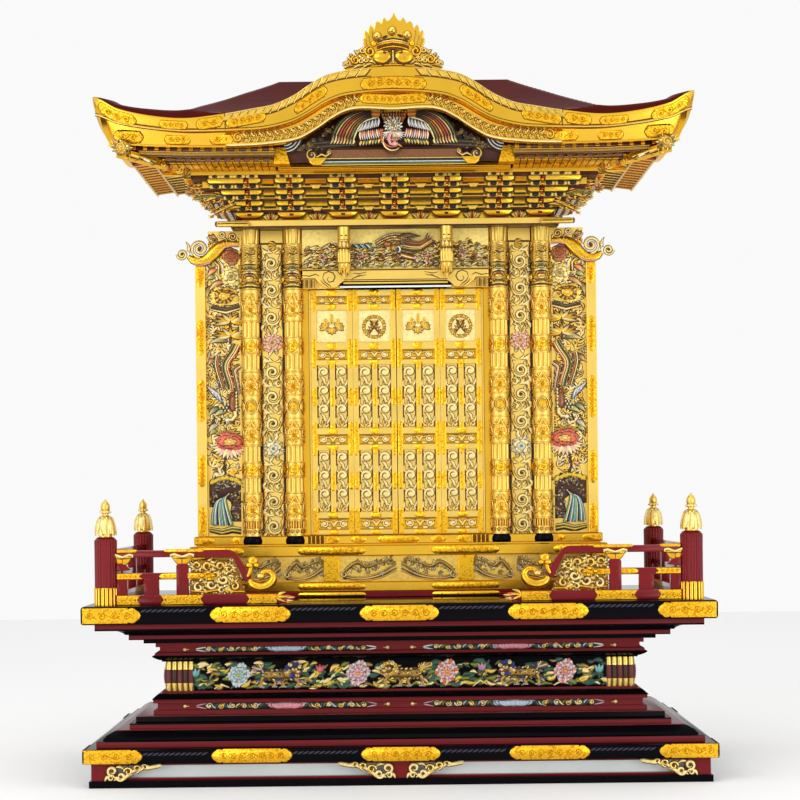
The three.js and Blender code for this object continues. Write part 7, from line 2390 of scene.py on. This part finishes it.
# ---------------------------------------------------------------- pediment and crest
def build_pediment():
    """Phoenix with drooping wings under the gable, dark clouds, a cove and a low beam."""
    rings = []
    for x in np.linspace(-334, 334, 61):
        top = max(1826, float(gable_bottom(x)) + 14) if abs(x) < 320 else 1838
        rings.append([(x, -326, 1804), (x, -326, top), (x, -318, top), (x, -318, 1804)])
    # painted shade: a dark brown ground behind the phoenix
    settle(surface("ground", rings, False), "pediment_ground", "shade_brown", replaces=["pediment"])
    c = Carving(upright(-328), rim=0.0)
    c.plate([(-206, 1813), (206, 1813), (196, 1840), (-196, 1840)], -2, 6, "brown", 2)
    c.plate([(-196, 1840), (196, 1840), (188, 1848), (-188, 1848)], -2, 8, "cocoa", 2)
    for b, w, tint, lift in ((1812.5, 1.8, "pale", 9), (1808.5, 2.4, "ink", 8),
                             (1803, 2.0, "ice", 7), (1799, 1.6, "moss", 3), (1795, 1.8, "pale", 2)):
        c.stroke([(-226, b, lift), (226, b, lift)], [w, w], tint)
    c.make("pediment_beam", slot="gilt_fittings")
    sill = [block(-344, 344, -262, -246, 1796, 1812, 1),
            block(-344, 344, -266, -260, 1800, 1803, 1)]
    settle(join(sill), "pediment_sill", "leaf")
    c = Carving(upright(-342), rim=1.2)
    for sx in (-1, 1):
        # plain gilt frog-leg scrolls at the beam's ends
        c.plate([(sx * 194, 1814), (sx * 252, 1814), (sx * 246, 1800), (sx * 236, 1792),
                 (sx * 214, 1792), (sx * 206, 1802)], -4, 6, "leaf", 2)
        c.bead(sx * 240, 1822, 2, (17, 16, 5), "cocoa", 16, 5)
        volute(c, sx * 240, 1822, 16, -sx, PI * 0.5, 5, 1.35, "leafgold", 4, "ice", 20)
        c.stroke([(sx * 226, 1816, 4), (sx * 212, 1824, 4), (sx * 198, 1818, 4),
                  (sx * 184, 1828, 4)],
                 [2, 3.4, 3.4, 2], "pale", 1)
        volute(c, sx * 190, 1830, 7, sx, PI * 0.5, 3, 1.2, "leafgold", 4, "ice", 14)
        # black cove with white curved lines
        for i in range(9):
            r = 14 + 4.6 * i
            c.stroke([(sx * (318 - r * cos(v)), 1880 + r * sin(v), -8 + 0.5 * i)
                      for v in np.linspace(-0.52 * PI, -0.05 * PI, 9)], [2.4, 2.4],
                     ("ink", "white")[i % 2], 1.2)
        # clouds
        for i in range(64):
            a = sx * (150 + 132 * i / 63 + rng.uniform(-6, 6))
            b = rng.uniform(1842, max(1850, float(gable_bottom(a)) - 6))
            volute(c, a, b, rng.uniform(5, 9), rng.choice((-1, 1)), rng.uniform(0, 6), 2.6, 1.2,
                   ("smoke", "olive", "khaki")[i % 3], -9, ("olive", "umber", "leafgold")[i % 3],
                   10)
        for i in range(6):
            c.stroke([(sx * 110, 1848 + 3 * i, -10), (sx * 180, 1846 + 4 * i, -8),
                      (sx * 264, 1842 + 3 * i, -10)], [1.6, 2.8, 1.4],
                     ("cocoa", "olive", "smoke")[i % 3])
        # drooping wing: long feathers arch outwards and hang, short ones lie near the body
        t = np.linspace(0, 1, 9)[:, None]
        outer, inner = (p0 * (1 - t) ** 3 + 3 * p1 * t * (1 - t) ** 2 + 3 * p2 * t ** 2 * (1 - t)
                        + p3 * t ** 3 for p0, p1, p2, p3 in np.array(
                            [[(36, 1950), (122, 1964), (174, 1915), (181, 1864)],
                             [(44, 1926), (94, 1930), (114, 1893), (122, 1850)]], float))
        tints = ("moss", "cream", "orange", "coral", "yellow", "orange", "moss", "cream")
        for j, tint in enumerate(tints):
            path = outer + (inner - outer) * j / (len(tints) - 1)
            path = np.column_stack([path[:, 0] * sx, path[:, 1], np.full(9, 3 + j * 1.1)])
            tip = path[-1]
            c.stroke(path, [2.6, 4.6, 5.4, 5.0, 2.0], tint, 0.9)
            c.petal(path[-2, :2], (tip[0] + sx * (5 - j), tip[1] - 12 + 1.6 * j), 9, 3, tint,
                    "cream", base=5 + j, bend=-0.12 * sx)
            c.stroke(path[1:] + (sx * 1.2, 1.2, 4.5), [0.7, 0.9, 0.7], "white", 1)
        for i in range(11):
            a, b = 44 + 4.4 * i, 1926 - 1.4 * i
            c.petal((sx * a, b), (sx * (a + 3 + 1.5 * i), b - 27), 6.4, 3.4,
                    ("white", "ink", "ice", "blue")[i % 4], "white", base=15, bend=-0.08 * sx)
        for i in range(11):
            a, b = 38 + 6 * i, 1894 - 0.7 * i
            c.petal((sx * a, b), (sx * (a - 8 + 0.6 * i), b - 27), 7, 3.4,
                    ("lotus", "orange", "cream", "rust")[i % 4], "white", base=16, bend=0.06 * sx)
        for i in range(8):
            a, b = 30 + 9 * i, 1866 - i
            c.petal((sx * a, b), (sx * (a + 6), b - 15), 8, 3, ("moss", "yellow", "green")[i % 3],
                    "pale", base=16, bend=0.1 * sx)
    # upright tail behind the body, a round body of scales, and the head bent down
    for i in range(9):
        a = (i - 4) * 8.2
        c.stroke([(a * 0.7, 1916, 8), (a * 0.95, 1930, 9), (a * 1.1, 1950, 7)], [3.4, 4.4, 3.2],
                 ("brown", "umber", "rust")[i % 3], 1)
        for b in (1926, 1936, 1945):
            c.bead(a * (0.7 + 0.4 * (b - 1916) / 34), b, 11, (2, 3, 2), "leafgold", 6, 3)
    c.bead(-2, 1904, 8, (20, 20, 9), "khaki", 14, 6)
    for ring, reach in enumerate((29, 23, 17, 11)):
        for i in range(15 - 2 * ring):
            t = 2 * PI * i / (15 - 2 * ring) + 0.7 * ring
            c.petal(ray(-2, 1904, t, reach * 0.5),
                    ray(-2, 1904, t + 0.3, reach), 8, 3,
                    ("cream", "moss", "white", "olive")[(i + ring) % 4], "white",
                    base=12 + 2 * ring)
    for i in range(15):
        t = -PI / 2 + (i - 7) * 0.22
        c.petal((-2, 1884), ray(-2, 1882, t, 36, 28), 7, 3.4,
                ("cream", "teal", "orange", "lotus")[i % 4], "white", base=17)
    c.stroke([(-10, 1878, 23), (-16, 1862, 25), (-10, 1848, 27), (2, 1844, 27)], [5, 5, 4.4, 4],
             "lotus", 1)
    for grow in (0, 5):
        c.stroke([(-4 - (28 + grow) * cos(t), 1858 + 3 * grow - (28 + grow) * sin(t), 20)
                  for t in np.linspace(-0.6, 2.3, 13)], [1.4, 2.4, 2.4, 2, 1],
                 ("cream", "orange")[grow // 5], 1)
    c.bead(3, 1848, 28, (9, 7, 7), "lotus", 10, 6)
    c.petal((10, 1847), (24, 1838), 6, 4, "yellow", "orange", base=28)
    c.bead(6, 1850, 34, (1.8, 1.8, 2), "ink", 6, 3)
    for i in range(5):
        c.petal((0, 1854), (-14 + 8 * i, 1868 - 2 * abs(i - 2)), 5, 3, ("rust", "orange")[i % 2],
                "pale", base=27)
    c.make("pediment_phoenix")


def build_crest():
    """Flaming jewels over a ridged cushion, a cleft leaf and leafy scrolls."""
    flames = [(80, 2112), (88, 2126), (90, 2135), (84, 2141), (86, 2153), (83, 2164), (74, 2156),
              (72, 2169), (67, 2180), (57, 2167), (54, 2181), (47, 2190), (36, 2183), (33, 2191),
              (27, 2201), (20, 2190), (12, 2193), (7, 2199), (0, 2214)]
    full = [(3 - x, z) for x, z in flames[:-1]] + [(x + 3, z) for x, z in flames[::-1]]
    body = slab(full[::-1], -424, -410, 2)
    foot = [(x, float(front_top(x)) + 1) for x in np.linspace(-140, 140, 25)]
    mound = slab(foot + [(140, 2058), (124, 2076), (108, 2090), (84, 2118), (-84, 2118),
                         (-108, 2090), (-124, 2076), (-140, 2058)], -422, -409, 2)
    settle(join([body, mound]), "crest_flames", "leaf", replaces=["crest_ornament"])
    c = Carving(upright(-423.5), rim=1.3)
    c.cut = "umber"
    for sx in (-1, 1):
        for a, b, a1, b1 in ((66, 2120, 72, 2146), (58, 2132, 62, 2160), (76, 2118, 80, 2136)):
            c.stroke([(3 + sx * a, b), (3 + sx * (a + 4), (b + b1) / 2), (3 + sx * a1, b1)],
                     [0.8, 2.2, 0.6], "khaki")
        for a, b, r, sense, w in ((66, 2102, 16, -1, 6), (88, 2105, 9, 1, 4),
                                  (108, 2078, 13, -1, 5),
                                  (92, 2076, 8, 1, 4), (128, 2070, 8, -1, 3.4),
                                  (78, 2078, 8, 1, 3.4)):
            volute(c, sx * a, b, r, sense * sx, PI * 0.5, w, 1.45, ("gold", "pale")[r < 10], 3,
                   "umber", 20)
        for a, b, a1, b1 in ((102, 2092, 112, 2106), (118, 2086, 126, 2096), (132, 2072, 144, 2060),
                             (112, 2062, 142, 2053), (86, 2062, 112, 2055), (60, 2066, 84, 2056),
                             (98, 2090, 84, 2084), (104, 2096, 96, 2108),
                             (120, 2076, 132, 2086), (74, 2090, 62, 2082), (50, 2066, 66, 2074)):
            c.petal((sx * a, b), (sx * a1, b1), 9, 4, ("leafgold", "khaki", "pale")[int(a) % 3],
                    "pale", bend=0.14 * sx, base=2)
        # swelling cheeks of the cleft leaf, plain and bright, with a curl over each
        c.rim = 0
        c.bead(sx * 29, 2086, 2, (30, 21, 10), "leaf", 18, 8)
        c.bead(sx * 55, 2124, 3, (9, 9, 6), "gold", 12, 5)
        c.rim = 1.3
        c.stroke([(sx * 3, 2094, 11), (sx * 5, 2082, 10), (sx * 16, 2069, 9), (sx * 30, 2062, 7),
                  (sx * 46, 2068, 6), (sx * 57, 2077, 5)], [1, 1.7, 1.7, 1.5, 0.8], "cocoa", 1, 0,
                  4)
        c.stroke([(sx * 3, 2095, 12), (sx * 10, 2103, 12), (sx * 24, 2103, 12), (sx * 27, 2096, 12),
                  (sx * 19, 2095, 12)], [1.4, 2, 1.8, 1], "umber", 1, 0)
    c.stroke([(0, 2102, 9), (0, 2084, 10), (0, 2066, 7)], [2.4, 1.8, 2.4], "pale")
    for i, (b, w, tint) in enumerate(((2109, 43, "umber"), (2115, 45, "gold"), (2121, 46, "umber"),
                                      (2127, 46, "gold"), (2133, 45, "pale"), (2137, 44, "cocoa"))):
        c.stroke([(-w, b - 10), (-w * 0.6, b - 4), (0, b), (w * 0.6, b - 4), (w, b - 10)],
                 [1.4, 3, 3.4, 3, 1.4] if tint != "cocoa" else [1, 1.6, 1.6, 1.6, 1], tint, 1.3,
                 5 if tint != "cocoa" else 7)
    for i, tint in enumerate(("gold", "umber", "pale", "gold", "umber", "gold")):
        half = 118 - 9 * i
        c.stroke([(x, 2046 + 3.4 * i - (x / half) ** 2 * (4 + i), 4) for x in
                  np.linspace(-half, half, 9)], [1, 2.2, 2.4, 2.2, 1], tint, 1, 1)
    for a, b in ((-45, 2145), (-2, 2160), (41, 2147)):
        c.bead(a, b, 5, (10.5, 10.5, 7), "wheat", 16, 7)
        for i, tint in enumerate(("olive", "gold", "umber", "moss")):
            t = np.linspace(-0.25 * PI - 0.2 * i, -0.85 * PI + 0.15 * i, 7)
            c.stroke([(a + (9 - 2 * i) * cos(v), b + (9 - 2 * i) * sin(v), 9 + i)
                      for v in t], [0.8, 1.9, 0.8], tint, 1, 1.5)
        c.stroke([(a + 11 * cos(v), b + 11 * sin(v), 2) for v in
                  np.linspace(0, 2 * PI, 17)], [1.2, 1.2], "gold")
    for a, b, d in ((-23, 2143, 3), (21, 2146, -3)):
        c.stroke([(a - 8, b - d, 3), (a, b, 3), (a + 8, b + d, 3)], [0.8, 2.6, 0.8], "ink")
    c.make("crest_jewels", slot="gilt_fittings")


# ---------------------------------------------------------------- stage
SENSOR = 36  # mm
FLOOR_SIZE, SKY_STRENGTH = 14, 0.95
SHIFT, ROLL = (0.0025, 0.121), 0.645  # the camera's view shift, and its tilt in degrees
LIGHTS = (  # name, size in m, watts, place, aim
    ("key", 2.4, 54, (-2.6, -3.6, 3.4), (0, 0, 1.1)),
    ("fill", 2.2, 22, (3.0, -3.4, 2.2), (0, 0, 1.0)),
    ("low_left", 1.4, 18, (-2.3, -2.5, 0.3), (0, -0.3, 1.8)),
    ("low_right", 1.4, 18, (2.3, -2.5, 0.3), (0, -0.3, 1.8)),
    ("top", 2.0, 25, (0, -0.6, 4.4), (0, 0, 1.2)))


def build_stage(cfg):
    """Camera, pale floor and soft studio lights."""
    cam_data = bpy.data.cameras.new("shrine_camera")
    cam = bpy.data.objects.new("shrine_camera", cam_data)
    bpy.context.scene.collection.objects.link(cam)
    cam_data.lens, cam_data.sensor_width = cfg.lens, SENSOR
    cam_data.shift_x, cam_data.shift_y = SHIFT
    cam_data.clip_end = 60
    cam.location = (0, -HALF_D * MM - cfg.distance, cfg.eye_height)
    cam.rotation_euler = (PI / 2, radians(ROLL), 0)
    bpy.context.scene.camera = cam
    bpy.context.scene.view_settings.view_transform = "Standard"

    bpy.ops.mesh.primitive_plane_add(size=FLOOR_SIZE, location=(0, 0, 0))
    floor = bpy.context.object
    floor.name = "floor"
    floor.data.materials.append(
        new_material("pale_floor", Roughness=0.9, Base_Color=(0.9, 0.9, 0.9, 1))[0])

    world = bpy.context.scene.world or bpy.data.worlds.new("studio")
    bpy.context.scene.world = world
    world.use_nodes = True
    sky = world.node_tree.nodes["Background"]
    sky.inputs["Color"].default_value = (1, 1, 1, 1)
    sky.inputs["Strength"].default_value = SKY_STRENGTH
    for name, size, power, spot, aim in LIGHTS:
        lamp = bpy.data.lights.new(name, "AREA")
        lamp.size, lamp.energy = size, power
        ob = bpy.data.objects.new(name, lamp)
        bpy.context.scene.collection.objects.link(ob)
        ob.location = spot
        ob.rotation_euler = (Vector(aim) - Vector(spot)).to_track_quat("-Z", "Y").to_euler()


# ---------------------------------------------------------------- add-on
class ShrineFinishes(bpy.types.PropertyGroup):
    """Colours of the finishes."""
    gold: FloatVectorProperty(name="Gold leaf", description="Colour of the burnished leaf",
                              subtype="COLOR", min=0, max=1, default=linear("#f5c03a"))
    matt: FloatVectorProperty(name="Matt gold leaf", description="Colour of the matt leaf",
                              subtype="COLOR", min=0, max=1, default=linear("#f3cf68"))
    fitting: FloatVectorProperty(name="Gilt fittings", description="Colour of gilt copper",
                                 subtype="COLOR", min=0, max=1, default=linear("#f8bf2c"))
    black: FloatVectorProperty(name="Black lacquer", description="Colour of the boards",
                               subtype="COLOR", min=0, max=1, default=linear("#08070b"))
    red: FloatVectorProperty(name="Red lacquer", description="Colour of the railing",
                             subtype="COLOR", min=0, max=1, default=linear("#74151a"))
    roof: FloatVectorProperty(name="Roof lacquer", description="Colour of the roof",
                              subtype="COLOR", min=0, max=1, default=linear("#4a1613"))


class ShrineSizes(bpy.types.PropertyGroup):
    """Sizes and counts of the dressings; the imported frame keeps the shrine's own sizes."""
    post_radius: FloatProperty(name="Post radius", description="Radius of the corner posts",
                               unit="LENGTH", default=0.0324)
    post_flutes: IntProperty(name="Post flutes", description="Flutes round a corner post",
                             min=3, default=20)
    rail_depth: FloatProperty(name="Rail depth", description="Half depth of the ground rail",
                              unit="LENGTH", default=0.015)
    rail_edge: FloatProperty(name="Rail edge", description="Rounding of the rails' edges",
                             unit="LENGTH", default=0.002)
    board_plate: FloatProperty(name="Board plates", description="Thickness of the gilt plates",
                               unit="LENGTH", default=0.0014)
    waist_leaves: IntProperty(name="Waist leaves", description="Leaves tried on the waist",
                              min=0, default=640)


class ShrineStage(bpy.types.PropertyGroup):
    """Camera place and lens."""
    lens: FloatProperty(name="Lens", description="Focal length", unit="CAMERA", default=82.1)
    distance: FloatProperty(name="Distance", description="Camera to the pedestal's front",
                            unit="LENGTH", default=5.2)
    eye_height: FloatProperty(name="Eye height", description="Height of the camera",
                              unit="LENGTH", default=0.8246)


class SHRINE_OT_stage(bpy.types.Operator):
    """Adds the camera, floor and lights"""
    bl_idname = "shrine.stage"
    bl_label = "Stage"

    def execute(self, context):
        build_stage(context.scene.shrine_stage)
        return {"FINISHED"}


class SHRINE_OT_pedestal(bpy.types.Operator):
    """Builds the lacquered boards and courses, the carved bands and waist"""
    bl_idname = "shrine.pedestal"
    bl_label = "Pedestal"

    def execute(self, context):
        build_boards(context.scene.shrine_sizes)
        build_courses()
        build_bands()
        build_waist(context.scene.shrine_sizes)
        build_base()
        return {"FINISHED"}


class SHRINE_OT_railing(bpy.types.Operator):
    """Builds the posts, rails and scroll boards"""
    bl_idname = "shrine.railing"
    bl_label = "Railing"

    def execute(self, context):
        build_posts(context.scene.shrine_sizes)
        build_rails(context.scene.shrine_sizes)
        build_scroll_boards()
        return {"FINISHED"}


class SHRINE_OT_base(bpy.types.Operator):
    """Builds the shrine's own base and its sill"""
    bl_idname = "shrine.base"
    bl_label = "Shrine base"

    def execute(self, context):
        build_shrine_base()
        build_sill()
        return {"FINISHED"}


class SHRINE_OT_columns(bpy.types.Operator):
    """Builds the columns, the panels between them and the walls"""
    bl_idname = "shrine.columns"
    bl_label = "Columns"

    def execute(self, context):
        build_columns()
        build_column_panels()
        build_walls()
        return {"FINISHED"}


class SHRINE_OT_wings(bpy.types.Operator):
    """Builds the carved side wings and their arms"""
    bl_idname = "shrine.wings"
    bl_label = "Wings"

    def execute(self, context):
        build_wings()
        build_wing_arms()
        return {"FINISHED"}


class SHRINE_OT_lintel(bpy.types.Operator):
    """Builds the lintel, frieze and pendants"""
    bl_idname = "shrine.lintel"
    bl_label = "Lintel"

    def execute(self, context):
        build_lintel()
        return {"FINISHED"}


class SHRINE_OT_doors(bpy.types.Operator):
    """Builds the four folding leaves"""
    bl_idname = "shrine.doors"
    bl_label = "Doors"

    def execute(self, context):
        build_doors()
        return {"FINISHED"}


class SHRINE_OT_brackets(bpy.types.Operator):
    """Builds the bracket tiers"""
    bl_idname = "shrine.brackets"
    bl_label = "Brackets"

    def execute(self, context):
        build_brackets()
        return {"FINISHED"}


class SHRINE_OT_eaves(bpy.types.Operator):
    """Builds the rafters and soffit"""
    bl_idname = "shrine.eaves"
    bl_label = "Eaves"

    def execute(self, context):
        build_eaves()
        return {"FINISHED"}


class SHRINE_OT_roof(bpy.types.Operator):
    """Builds the fascia, gable and roof"""
    bl_idname = "shrine.roof"
    bl_label = "Roof"

    def execute(self, context):
        build_fascia()
        build_roof()
        return {"FINISHED"}


class SHRINE_OT_pediment(bpy.types.Operator):
    """Builds the phoenix pediment"""
    bl_idname = "shrine.pediment"
    bl_label = "Pediment"

    def execute(self, context):
        build_pediment()
        return {"FINISHED"}


class SHRINE_OT_crest(bpy.types.Operator):
    """Builds the crest ornament"""
    bl_idname = "shrine.crest"
    bl_label = "Crest"

    def execute(self, context):
        build_crest()
        return {"FINISHED"}


# In the order they are built in.
OPERATORS = (SHRINE_OT_stage, SHRINE_OT_pedestal, SHRINE_OT_railing, SHRINE_OT_base,
             SHRINE_OT_columns, SHRINE_OT_wings, SHRINE_OT_lintel, SHRINE_OT_doors,
             SHRINE_OT_brackets, SHRINE_OT_eaves, SHRINE_OT_roof, SHRINE_OT_pediment,
             SHRINE_OT_crest)


class SHRINE_PT_panel(bpy.types.Panel):
    """Lists the sizes, colours and steps that build the shrine."""
    bl_label = "Palace shrine"
    bl_idname = "SHRINE_PT_panel"
    bl_space_type = "VIEW_3D"
    bl_region_type = "UI"
    bl_category = "Shrine"

    def draw(self, context):
        scene = context.scene
        for group in (scene.shrine_finishes, scene.shrine_sizes, scene.shrine_stage):
            for key in group.__annotations__:
                self.layout.prop(group, key)
        for operator in OPERATORS:
            self.layout.operator(operator.bl_idname)


CLASSES = (ShrineFinishes, ShrineSizes, ShrineStage, SHRINE_PT_panel, *OPERATORS)


def register():
    for cls in CLASSES:
        bpy.utils.register_class(cls)
    bpy.types.Scene.shrine_finishes = PointerProperty(type=ShrineFinishes)
    bpy.types.Scene.shrine_sizes = PointerProperty(type=ShrineSizes)
    bpy.types.Scene.shrine_stage = PointerProperty(type=ShrineStage)


def unregister():
    del bpy.types.Scene.shrine_finishes, bpy.types.Scene.shrine_sizes, bpy.types.Scene.shrine_stage
    for cls in reversed(CLASSES):
        bpy.utils.unregister_class(cls)


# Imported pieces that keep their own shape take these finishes.
KEPT = {"ground_frame": "black", "base_frame": "red", "base_panels": "pale"}


def main():
    register()
    MAT.update(make_materials(bpy.context.scene.shrine_finishes))
    for name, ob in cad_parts.items():
        ob.data.materials.clear()
        ob.data.materials.append(MAT[KEPT.get(name, "leaf")])
    bpy.ops.shrine.stage()
    bpy.ops.shrine.pedestal()
    bpy.ops.shrine.railing()
    bpy.ops.shrine.base()
    bpy.ops.shrine.columns()
    bpy.ops.shrine.wings()
    bpy.ops.shrine.lintel()
    bpy.ops.shrine.doors()
    bpy.ops.shrine.brackets()
    bpy.ops.shrine.eaves()
    bpy.ops.shrine.roof()
    bpy.ops.shrine.pediment()
    bpy.ops.shrine.crest()
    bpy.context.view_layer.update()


if __name__ == "__main__":
    main()
